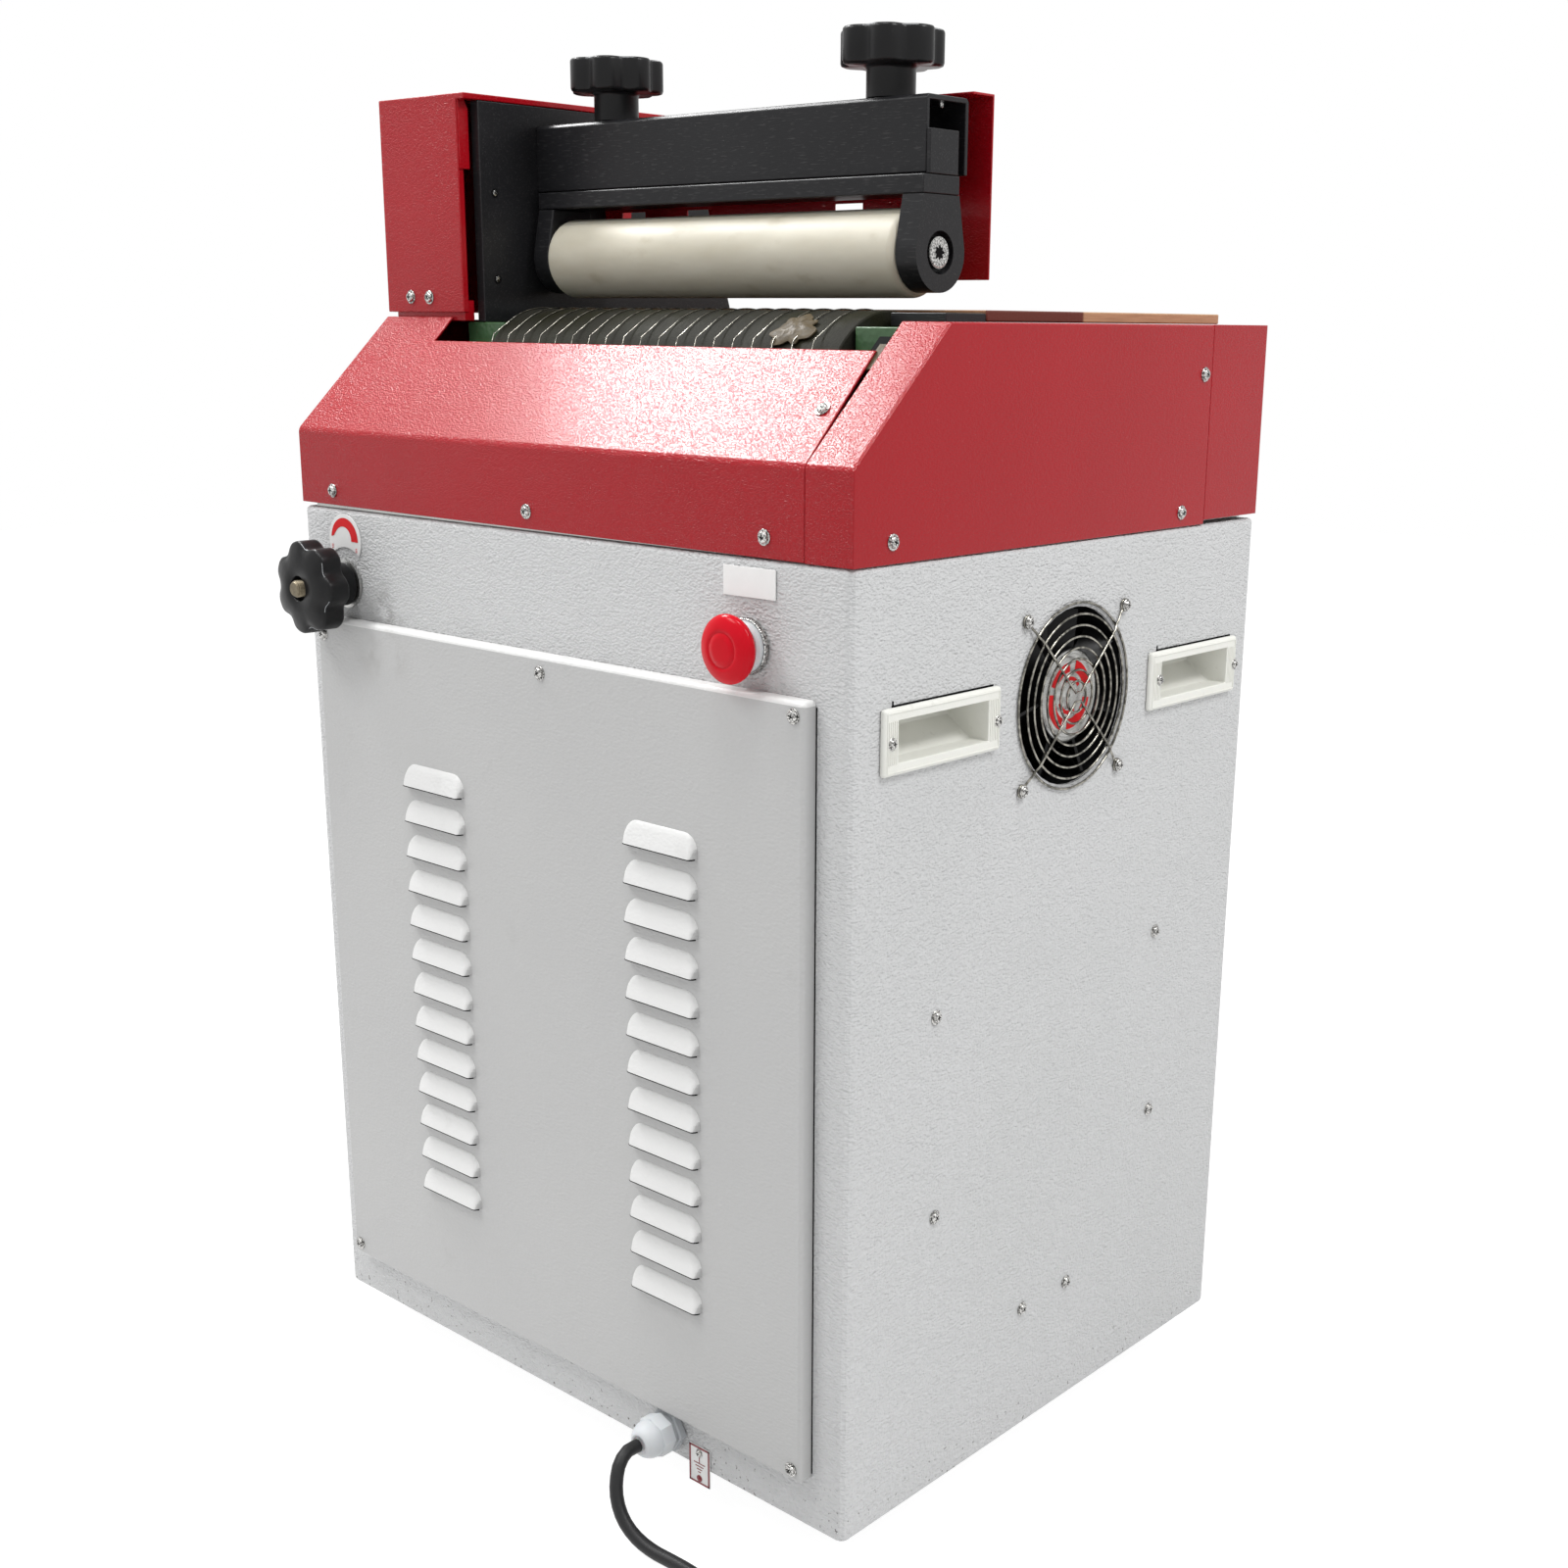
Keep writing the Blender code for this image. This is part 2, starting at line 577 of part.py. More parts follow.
def rounded_rectangle(low, high, radius, steps=3):
    points = []
    corners = (
        (high[0] - radius, high[1] - radius, 0.0),
        (low[0] + radius, high[1] - radius, 0.5),
        (low[0] + radius, low[1] + radius, 1.0),
        (high[0] - radius, low[1] + radius, 1.5),
    )
    for x, y, turns in corners:
        for index in range(steps + 1):
            angle = math.pi * (turns + 0.5 * index / steps)
            points.append((x + radius * math.cos(angle), y + radius * math.sin(angle)))
    return points


def add_tube(bm, points, radius, sides):
    """A tube along a bent line of points, each ring square to the line there."""
    path = [Vector(point) for point in points]
    side = None
    loops = []
    for index, point in enumerate(path):
        before = path[max(index - 1, 0)]
        after = path[min(index + 1, len(path) - 1)]
        ahead = (after - before).normalized()
        if side is None:
            side = ahead.orthogonal().normalized()
        side = (side - ahead * side.dot(ahead)).normalized()
        up = ahead.cross(side)
        loop = []
        for step in range(sides):
            angle = 2.0 * math.pi * step / sides
            loop.append(point + (side * math.cos(angle) + up * math.sin(angle)) * radius)
        loops.append(loop)
    add_loft(bm, loops)


def to_mesh(bm, name, origin=(0.0, 0.0, 0.0)):
    bmesh.ops.translate(bm, verts=bm.verts, vec=-Vector(origin))
    bmesh.ops.recalc_face_normals(bm, faces=bm.faces)
    mesh = bpy.data.meshes.new(name)
    bm.to_mesh(mesh)
    bm.free()
    return mesh


class Machine:
    """The empty that stands the machine on the floor, and the makers of its pieces and tools."""

    def __init__(self):
        self.root = bpy.data.objects.new("machine", None)
        self.root.location = MACHINE_PLACE
        bpy.context.scene.collection.objects.link(self.root)

    def piece(self, name, bm, material, origin=(0.0, 0.0, 0.0), smooth=False):
        """One named solid. origin is its joint's place, or zero on a piece that doesn't move."""
        mesh = to_mesh(bm, name, origin)
        mesh.materials.append(material)
        if smooth:
            mesh.shade_smooth()
            mesh.set_sharp_from_angle(angle=SHARP_ANGLE)
        made = bpy.data.objects.new(name, mesh)
        made.location = origin
        made.parent = self.root
        bpy.context.scene.collection.objects.link(made)
        return made

    def guide(self, name, bm):
        """A solid that only cuts or joins."""
        made = bpy.data.objects.new(name, to_mesh(bm, name))
        made.parent = self.root
        made.hide_render = True
        made.display_type = "WIRE"
        bpy.context.scene.collection.objects.link(made)
        return made

    def combine(self, target, operation, bm):
        """Cuts the solids in bm out of the target, or joins them to it."""
        tool = self.guide(f"{target.name}_{operation.lower()}_{len(target.modifiers)}", bm)
        boolean = target.modifiers.new(tool.name, "BOOLEAN")
        boolean.operation = operation
        boolean.solver = "EXACT"
        boolean.object = tool

    def cut(self, target, bm):
        self.combine(target, "DIFFERENCE", bm)

    def join(self, target, bm):
        self.combine(target, "UNION", bm)

    def boxes(self, name, boxes, material, origin=(0.0, 0.0, 0.0)):
        """A piece made of boxes that run into each other."""
        first = bmesh.new()
        add_box(first, *boxes[0])
        made = self.piece(name, first, material, origin)
        for low, high in boxes[1:]:
            more = bmesh.new()
            add_box(more, low, high)
            self.join(made, more)
        return made


def rod(bm, axis, centre, radius, start, end, steps=SMALL_ROUND_STEPS):
    """A plain round bar, as a piece of its own or as the tool for a hole."""
    add_turned(bm, axis, centre, [(start, radius), (end, radius)], steps)


def make_cabinet(machine, paint, rubber):
    outer = rounded_rectangle((-HALF_WIDTH, 0.0), (HALF_WIDTH, CABINET_DEPTH), CABINET_CORNER)
    shell_mesh = bmesh.new()
    add_prism(shell_mesh, outer, "Z", 0.0, CABINET_HEIGHT)
    shell = machine.piece("cabinet_shell", shell_mesh, paint)

    inside_x = HALF_WIDTH - CABINET_WALL
    inside = bmesh.new()
    inner = rounded_rectangle(
        (-inside_x, CABINET_WALL), (inside_x, CABINET_DEPTH - CABINET_WALL), CABINET_CORNER - CABINET_WALL
    )
    add_prism(inside, inner, "Z", CABINET_WALL, CABINET_HEIGHT - CABINET_WALL)
    machine.cut(shell, inside)

    mouth = bmesh.new()
    add_box(
        mouth,
        (-HALF_WIDTH + CABINET_FLANGE, CABINET_FLANGE, -OVERRUN),
        (HALF_WIDTH - CABINET_FLANGE, CABINET_DEPTH - CABINET_FLANGE, CABINET_HEIGHT + OVERRUN),
    )
    machine.cut(shell, mouth)

    front = bmesh.new()
    add_box(
        front,
        (DOOR_LEFT + DOOR_LAP, -OVERRUN, DOOR_BOTTOM + DOOR_LAP),
        (DOOR_RIGHT - DOOR_LAP, CABINET_WALL + OVERRUN, DOOR_TOP - DOOR_LAP),
    )
    past_wall = CABINET_WALL + OVERRUN
    rod(front, "Y", (THICKNESS_X, THICKNESS_Z), SPINDLE_RADIUS + JOURNAL_GAP, -OVERRUN, past_wall)
    rod(front, "Y", (BUTTON_X, BUTTON_Z), BUTTON_BARREL_RADIUS + CLEAR, -OVERRUN, past_wall)
    rod(front, "Y", (GLAND_X, GLAND_Z), GLAND_BARREL_RADIUS + CLEAR, -OVERRUN, past_wall)
    add_box(
        front,
        (-PANEL_WIDTH / 2.0 + PANEL_LAP, CABINET_DEPTH - past_wall, PANEL_BOTTOM_Z + PANEL_LAP),
        (PANEL_WIDTH / 2.0 - PANEL_LAP, CABINET_DEPTH + OVERRUN, PANEL_TOP_Z - PANEL_LAP),
    )
    machine.cut(shell, front)

    sides = bmesh.new()
    rod(sides, "X", (FAN_Y, FAN_Z), FAN_BORE_RADIUS, inside_x - OVERRUN, HALF_WIDTH + OVERRUN, ROUND_STEPS)
    half_length = HANDLE_HOLE_LENGTH / 2.0 + HANDLE_WALL + CLEAR
    half_height = HANDLE_HOLE_HEIGHT / 2.0 + HANDLE_WALL + CLEAR
    for side in (-1.0, 1.0):
        ends = sorted((side * (inside_x - OVERRUN), side * (HALF_WIDTH + OVERRUN)))
        for y in (HANDLE_FRONT_Y, HANDLE_REAR_Y):
            add_box(
                sides,
                (ends[0], y - half_length, HANDLE_Z - half_height),
                (ends[1], y + half_length, HANDLE_Z + half_height),
            )
    machine.cut(shell, sides)

    base = bmesh.new()
    add_prism(
        base,
        rounded_rectangle(
            (-inside_x + CLEAR, CABINET_WALL + CLEAR),
            (inside_x - CLEAR, CABINET_DEPTH - CABINET_WALL - CLEAR),
            CABINET_CORNER - CABINET_WALL,
        ),
        "Z",
        CABINET_WALL + CLEAR,
        CABINET_WALL + CLEAR + BASE_THICKNESS,
    )
    machine.piece("base_plate", base, paint)

    for name, x, y in (
        ("foot_front_left", -HALF_WIDTH + FOOT_INSET_X, FOOT_INSET_Y),
        ("foot_front_right", HALF_WIDTH - FOOT_INSET_X, FOOT_INSET_Y),
        ("foot_rear_left", -HALF_WIDTH + FOOT_INSET_X, CABINET_DEPTH - FOOT_INSET_Y),
        ("foot_rear_right", HALF_WIDTH - FOOT_INSET_X, CABINET_DEPTH - FOOT_INSET_Y),
    ):
        foot = bmesh.new()
        profile = [
            (-FOOT_HEIGHT, FOOT_RADIUS - FOOT_TAPER),
            (-FOOT_HEIGHT + FOOT_TAPER, FOOT_RADIUS),
            (CABINET_WALL, FOOT_RADIUS),
        ]
        add_turned(foot, "Z", (x, y), profile, SMALL_ROUND_STEPS)
        machine.piece(name, foot, rubber, smooth=True)


def louvre_loops(x, z, grow, sink):
    """A louvre's dome, full at its lower edge, where it is open. grow swells it, sink is its root's depth."""
    half = LOUVRE_WIDTH / 2.0 + grow
    top = LOUVRE_HEIGHT + grow
    proud = LOUVRE_PROUD + grow
    face = -DOOR_DEPTH
    loops = []
    for height_share, width_share, proud_share in LOUVRE_ROW_SHARES:
        level = z + grow + (top - grow) * height_share
        reach = half * width_share
        loop = []
        for across_share, out_share in LOUVRE_ARCH_SHARES:
            loop.append((x + reach * across_share, face - proud * proud_share * out_share, level))
        loop.append((x + reach, face + sink, level))
        loop.append((x - reach, face + sink, level))
        loops.append(loop)
    return loops


def make_door(machine, paint):
    back = -CLEAR
    halfway = DOOR_EDGE_ROUND * (1.0 - math.sqrt(0.5))
    pan = bmesh.new()
    loops = []
    for inset, y in (
        (0.0, back),
        (0.0, -DOOR_DEPTH + DOOR_EDGE_ROUND),
        (halfway, -DOOR_DEPTH + halfway),
        (DOOR_EDGE_ROUND, -DOOR_DEPTH),
    ):
        left, right = DOOR_LEFT + inset, DOOR_RIGHT - inset
        bottom, top = DOOR_BOTTOM + inset, DOOR_TOP - inset
        loops.append([(left, y, bottom), (right, y, bottom), (right, y, top), (left, y, top)])
    add_loft(pan, loops)
    door = machine.piece("louvre_door", pan, paint)

    hollow = bmesh.new()
    add_box(
        hollow,
        (DOOR_LEFT + SHEET, -DOOR_DEPTH + SHEET, DOOR_BOTTOM + SHEET),
        (DOOR_RIGHT - SHEET, OVERRUN, DOOR_TOP - SHEET),
    )
    machine.cut(door, hollow)

    domes = bmesh.new()
    slots = bmesh.new()
    for side in (-1.0, 1.0):
        for row in range(LOUVRE_ROWS):
            z = LOUVRE_FIRST_Z + row * LOUVRE_PITCH
            add_loft(domes, louvre_loops(side * LOUVRE_COLUMN_X, z, 0.0, SHEET - LOUVRE_ROOT))
            add_loft(slots, louvre_loops(side * LOUVRE_COLUMN_X, z, -LOUVRE_SKIN, SHEET + OVERRUN))
    machine.join(door, domes)
    machine.cut(door, slots)


def make_handles(machine, plastic):
    for side_name, side in (("left", -1.0), ("right", 1.0)):
        for place_name, y in (("front", HANDLE_FRONT_Y), ("rear", HANDLE_REAR_Y)):
            make_handle(machine, f"handle_{side_name}_{place_name}", side, y, plastic)


def make_handle(machine, name, side, y, plastic):
    """A recessed handle: a flange on the side wall and a cup through it, deeper at the top."""
    wall = HALF_WIDTH + CLEAR
    half_length = HANDLE_LENGTH / 2.0
    half_height = HANDLE_HEIGHT / 2.0
    bm = bmesh.new()
    loops = []
    proud = HANDLE_PROUD - CLEAR
    for out, inset in ((0.0, 0.0), (proud - SMALL_EDGE, 0.0), (proud, SMALL_EDGE)):
        x = side * (wall + out)
        low_y, high_y = y - half_length + inset, y + half_length - inset
        low_z, high_z = HANDLE_Z - half_height + inset, HANDLE_Z + half_height - inset
        loops.append([(x, low_y, low_z), (x, high_y, low_z), (x, high_y, high_z), (x, low_y, high_z)])
    add_loft(bm, loops)
    made = machine.piece(name, bm, plastic)

    hole_length = HANDLE_HOLE_LENGTH / 2.0
    hole_height = HANDLE_HOLE_HEIGHT / 2.0

    def profile(grow):
        bottom = HANDLE_Z - hole_height - grow
        top = HANDLE_Z + hole_height + grow
        deep = side * (HALF_WIDTH - HANDLE_DEPTH - grow)
        lip = side * (HALF_WIDTH - HANDLE_LIP_DEPTH - grow)
        return bottom, top, deep, lip

    cup = bmesh.new()
    bottom, top, deep, lip = profile(HANDLE_WALL)
    mouth = side * (wall + SMALL_EDGE)
    outline = [(mouth, bottom), (lip, bottom), (deep, HANDLE_Z), (deep, top), (mouth, top)]
    add_prism(cup, outline, "Y", y - hole_length - HANDLE_WALL, y + hole_length + HANDLE_WALL)
    machine.join(made, cup)

    pocket = bmesh.new()
    bottom, top, deep, lip = profile(0.0)
    mouth = side * (wall + HANDLE_PROUD + OVERRUN)
    outline = [(mouth, bottom), (lip, bottom), (deep, HANDLE_Z), (deep, top), (mouth, top)]
    add_prism(pocket, outline, "Y", y - hole_length, y + hole_length)
    machine.cut(made, pocket)


def make_fan(machine, black, steel):
    """The side fan: a square frame with its motor, the rotor, and the wire guard outside the wall."""
    face = HALF_WIDTH - CABINET_WALL - CLEAR
    back = face - FAN_DEPTH
    half = FAN_SIZE / 2.0
    centre = (FAN_Y, FAN_Z)
    square = bmesh.new()
    add_box(square, (back, FAN_Y - half, FAN_Z - half), (face, FAN_Y + half, FAN_Z + half))
    frame = machine.piece("fan_frame", square, black)
    bore = bmesh.new()
    rod(bore, "X", centre, FAN_BORE_RADIUS, back - OVERRUN, face + OVERRUN, ROUND_STEPS)
    machine.cut(frame, bore)
    for turn in (0.0, math.pi / 2.0):
        strut = bmesh.new()
        reach = FAN_BORE_RADIUS + OVERRUN / 2.0
        wide = FAN_STRUT_WIDTH / 2.0
        y_reach, z_reach = (reach, wide) if turn == 0.0 else (wide, reach)
        add_box(
            strut,
            (back + CLEAR, FAN_Y - y_reach, FAN_Z - z_reach),
            (back + FAN_MOTOR_DEPTH / 2.0, FAN_Y + y_reach, FAN_Z + z_reach),
        )
        machine.join(frame, strut)
    hub = bmesh.new()
    hub_end = back + FAN_MOTOR_DEPTH
    rod(hub, "X", centre, FAN_HUB_RADIUS, back + 2.0 * CLEAR, hub_end)
    machine.join(frame, hub)

    rotor_back = hub_end + JOURNAL_GAP
    rotor_middle = rotor_back + FAN_HUB_DEPTH / 2.0
    core = bmesh.new()
    rod(core, "X", centre, FAN_HUB_RADIUS, rotor_back, rotor_back + FAN_HUB_DEPTH)
    rotor = machine.piece("fan_rotor", core, black, origin=(rotor_middle, *centre), smooth=True)
    blades = bmesh.new()
    inner = FAN_HUB_RADIUS - FAN_BLADE_THICKNESS
    outer = FAN_BORE_RADIUS - FAN_TIP_GAP
    chord = FAN_BLADE_CHORD / 2.0
    thick = FAN_BLADE_THICKNESS / 2.0
    root_chord = FAN_HUB_DEPTH / 2.0
    for index in range(FAN_BLADES):
        turn = Matrix.Rotation(2.0 * math.pi * index / FAN_BLADES, 4, "X")
        pitch = Matrix.Rotation(FAN_BLADE_ANGLE, 4, "Z")
        loops = []
        for radius, half_chord in ((inner, root_chord), (outer, chord)):
            corners = [(-thick, -half_chord), (thick, -half_chord), (thick, half_chord), (-thick, half_chord)]
            loop = []
            for a, b in corners:
                tilted = pitch @ Vector((b, 0.0, 0.0)) + pitch @ Vector((0.0, a, 0.0))
                away = math.sqrt(max(radius ** 2 - tilted.y ** 2, 0.0))
                point = turn @ Vector((tilted.x, tilted.y, away))
                loop.append(point + Vector((rotor_middle, *centre)))
            loops.append(loop)
        add_loft(blades, loops)
    machine.join(rotor, blades)

    make_fan_guard(machine, centre, steel)


def make_fan_guard(machine, centre, steel):
    rings = bmesh.new()
    step = (GUARD_OUTER_RADIUS - GUARD_INNER_RADIUS) / (GUARD_RINGS - 1)
    crown = HALF_WIDTH + GUARD_PROUD - GUARD_WIRE
    rim = HALF_WIDTH + GUARD_RIM_PROUD
    radii = [GUARD_INNER_RADIUS + step * index for index in range(GUARD_RINGS)]

    def level(radius):
        """How far out the guard's rings stand: flat in the middle, lower at the rim."""
        flat = GUARD_OUTER_RADIUS - step
        if radius <= flat:
            return crown
        return crown + (rim - crown) * (radius - flat) / step

    for radius in radii:
        x = level(radius)
        square = circle((x, radius), GUARD_WIRE, 4)
        loops = []
        for index in range(SMALL_ROUND_STEPS):
            angle = 2.0 * math.pi * index / SMALL_ROUND_STEPS
            loops.append(
                [(a, centre[0] + b * math.cos(angle), centre[1] + b * math.sin(angle)) for a, b in square]
            )
        add_loft(rings, loops, closed=True)
    guard = machine.piece("fan_guard", rings, steel, smooth=True)

    wires = bmesh.new()
    eyes = bmesh.new()
    eye_radius = FAN_SCREW_SPACING / math.sqrt(2.0)
    eye_x = HALF_WIDTH + CLEAR
    for index in range(4):
        angle = math.pi / 4.0 + index * math.pi / 2.0
        path = []
        stops = (
            (radii[0] - GUARD_WIRE, level(radii[0]) - GUARD_WIRE),
            (radii[-2], level(radii[-2]) - GUARD_WIRE),
            (radii[-1], level(radii[-1]) - GUARD_WIRE),
            (eye_radius, eye_x + GUARD_WIRE + CLEAR),
        )
        for radius, x in stops:
            path.append((x, centre[0] + radius * math.cos(angle), centre[1] + radius * math.sin(angle)))
        add_tube(wires, path, GUARD_WIRE, 6)
        eye = (centre[0] + eye_radius * math.cos(angle), centre[1] + eye_radius * math.sin(angle))
        rod(eyes, "X", eye, GUARD_EYE_RADIUS, eye_x, eye_x + GUARD_EYE_THICKNESS, SMALL_HOLE_STEPS)
    machine.join(guard, wires)
    machine.join(guard, eyes)


def make_button(machine, grey, red, white):
    """The push button: collar, barrel and contact block in one node, and the mushroom head that travels."""
    centre = (BUTTON_X, BUTTON_Z)
    stem_hole = BUTTON_STEM_RADIUS + CLEAR
    head_back = -BUTTON_FRONT + BUTTON_HEAD_THICKNESS
    collar_front = -BUTTON_COLLAR_PROUD
    barrel_end = CABINET_WALL + BUTTON_BARREL_DEPTH
    body = bmesh.new()
    add_turned(
        body,
        "Y",
        centre,
        [
            (collar_front, BUTTON_COLLAR_RADIUS - SMALL_EDGE),
            (collar_front + SMALL_EDGE, BUTTON_COLLAR_RADIUS),
            (-BUTTON_RING_PROUD, BUTTON_COLLAR_RADIUS),
            (-BUTTON_RING_PROUD, BUTTON_RING_RADIUS - SMALL_EDGE),
            (-BUTTON_RING_PROUD + SMALL_EDGE, BUTTON_RING_RADIUS),
            (-CLEAR, BUTTON_RING_RADIUS),
            (-CLEAR, BUTTON_BARREL_RADIUS),
            (barrel_end, BUTTON_BARREL_RADIUS),
        ],
        ROUND_STEPS,
    )
    base = machine.piece("button_body", body, grey, smooth=True)
    block = bmesh.new()
    add_box(
        block,
        (BUTTON_X - BUTTON_BLOCK_WIDTH / 2.0, barrel_end - OVERRUN, BUTTON_Z - BUTTON_BLOCK_HEIGHT / 2.0),
        (
            BUTTON_X + BUTTON_BLOCK_WIDTH / 2.0,
            barrel_end - OVERRUN + BUTTON_BLOCK_DEPTH,
            BUTTON_Z + BUTTON_BLOCK_HEIGHT / 2.0,
        ),
    )
    machine.join(base, block)
    stem_end = head_back + BUTTON_STEM_DEPTH
    bore = bmesh.new()
    rod(bore, "Y", centre, stem_hole, collar_front - OVERRUN, stem_end + BUTTON_TRAVEL + CLEAR)
    machine.cut(base, bore)

    head = bmesh.new()
    front = -BUTTON_FRONT
    profile = []
    for depth_share, radius_share in BUTTON_DOME_SHARES:
        profile.append((front + BUTTON_DOME_DEPTH * depth_share, BUTTON_HEAD_RADIUS * radius_share))
    profile.append((front + BUTTON_DOME_DEPTH + BUTTON_RIM, BUTTON_HEAD_RADIUS))
    profile.append((head_back, BUTTON_HEAD_RADIUS * BUTTON_BACK_SHARE))
    profile.append((head_back, BUTTON_STEM_RADIUS))
    profile.append((stem_end, BUTTON_STEM_RADIUS))
    add_turned(head, "Y", centre, profile, ROUND_STEPS)
    machine.piece("button_head", head, red, origin=(BUTTON_X, front, BUTTON_Z), smooth=True)

    plate = bmesh.new()
    add_box(
        plate,
        (LABEL_X - LABEL_WIDTH / 2.0, -CLEAR - PLATE_THICKNESS, LABEL_Z - LABEL_HEIGHT / 2.0),
        (LABEL_X + LABEL_WIDTH / 2.0, -CLEAR, LABEL_Z + LABEL_HEIGHT / 2.0),
    )
    machine.piece("label_plate", plate, white)


def lobed(centre, radius, grow):
    """The outline of a knob's head: a circle with a shallow hollow between its lobes."""
    points = []
    for index in range(KNOB_LOBES * KNOB_STEPS):
        angle = 2.0 * math.pi * index / (KNOB_LOBES * KNOB_STEPS)
        hollow = (0.5 - 0.5 * math.cos(KNOB_LOBES * angle)) ** 2
        reach = radius * (1.0 - KNOB_LOBE_DEPTH_SHARE * hollow) + grow
        points.append((centre[0] + reach * math.cos(angle), centre[1] + reach * math.sin(angle)))
    return points


def make_knob(machine, name, axis, centre, seat, out, sizes, bore, black, origin):
    """A knob whose hub starts at seat and whose head ends further along out, 1 or -1, with a blind bore.

    sizes holds the hub's radius and height, the head's radius and height, how far its face is domed, and
    the recess in the face.
    bore holds the bore's radius and depth.
    """
    hub_radius, hub_height, head_radius, head_height, dome, recess_radius, recess_depth = sizes
    bore_radius, bore_depth = bore
    count = KNOB_LOBES * KNOB_STEPS
    edge = head_height * KNOB_EDGE_SHARE

    def ring(outline, height):
        return [on_axis(axis, seat + out * height, a, b) for a, b in outline]

    top = hub_height + head_height
    loops = [
        ring(circle(centre, bore_radius, count), bore_depth),
        ring(circle(centre, bore_radius, count), 0.0),
        ring(circle(centre, hub_radius, count), 0.0),
        ring(circle(centre, hub_radius, count), hub_height),
        ring(lobed(centre, head_radius, -edge), hub_height),
        ring(lobed(centre, head_radius, 0.0), hub_height + edge),
        ring(lobed(centre, head_radius, 0.0), top - edge),
        ring(lobed(centre, head_radius, -edge), top),
    ]
    if recess_depth > 0.0:
        middle_share, rise_share = KNOB_DOME_SHARES
        face = top + dome
        loops.append(ring(circle(centre, head_radius * middle_share, count), top + dome * rise_share))
        loops.append(ring(circle(centre, recess_radius, count), face))
        loops.append(ring(circle(centre, recess_radius, count), face - recess_depth))
    bm = bmesh.new()
    add_loft(bm, loops, closed=bore_depth > top + dome - recess_depth - CLEAR)
    return machine.piece(name, bm, black, origin=origin, smooth=True)


def make_thickness_setting(machine, black, steel, white):
    centre = (THICKNESS_X, THICKNESS_Z)
    front = -KNOB_PROUD
    sizes = (
        THICKNESS_HUB_RADIUS,
        THICKNESS_HUB_HEIGHT,
        THICKNESS_HEAD_RADIUS,
        THICKNESS_HEAD_HEIGHT,
        THICKNESS_DOME,
        THICKNESS_RECESS_RADIUS,
        THICKNESS_RECESS_DEPTH,
    )
    through = KNOB_PROUD - KNOB_SEAT - THICKNESS_RECESS_DEPTH
    origin = (THICKNESS_X, front, THICKNESS_Z)
    make_knob(
        machine,
        "thickness_knob",
        "Y",
        centre,
        -KNOB_SEAT,
        -1.0,
        sizes,
        (SPINDLE_RADIUS + CLEAR, through),
        black,
        origin,
    )
    spindle = bmesh.new()
    add_turned(
        spindle,
        "Y",
        centre,
        [
            (front + CLEAR, SPINDLE_RADIUS),
            (-KNOB_SEAT + CLEAR, SPINDLE_RADIUS),
            (-KNOB_SEAT + CLEAR, THICKNESS_HUB_RADIUS),
            (-CLEAR - PLATE_THICKNESS, THICKNESS_HUB_RADIUS),
            (-CLEAR - PLATE_THICKNESS, SPINDLE_RADIUS),
            (SPINDLE_END_Y, SPINDLE_RADIUS),
        ],
        SMALL_ROUND_STEPS,
    )
    machine.piece("thickness_spindle", spindle, steel, origin=origin, smooth=True)

    dial = bmesh.new()
    tip_rise = (DIAL_ARCH_RADIUS ** 2 - DIAL_RADIUS ** 2 + DIAL_RISE ** 2) / (2.0 * DIAL_RISE)
    dip = math.asin((DIAL_RISE - tip_rise) / DIAL_RADIUS)
    lift = math.asin(tip_rise / DIAL_ARCH_RADIUS)
    outline = []
    for index in range(DIAL_STEPS + 1):
        angle = -dip + (math.pi + 2.0 * dip) * index / DIAL_STEPS
        outline.append((THICKNESS_X + DIAL_RADIUS * math.cos(angle), DIAL_Z + DIAL_RADIUS * math.sin(angle)))
    for index in range(1, DIAL_STEPS):
        angle = math.pi - lift - (math.pi - 2.0 * lift) * index / DIAL_STEPS
        x = THICKNESS_X + DIAL_ARCH_RADIUS * math.cos(angle)
        outline.append((x, THICKNESS_Z + DIAL_ARCH_RADIUS * math.sin(angle)))
    add_prism(dial, outline, "Y", -CLEAR - PLATE_THICKNESS, -CLEAR)
    machine.piece("dial_plate", dial, white)


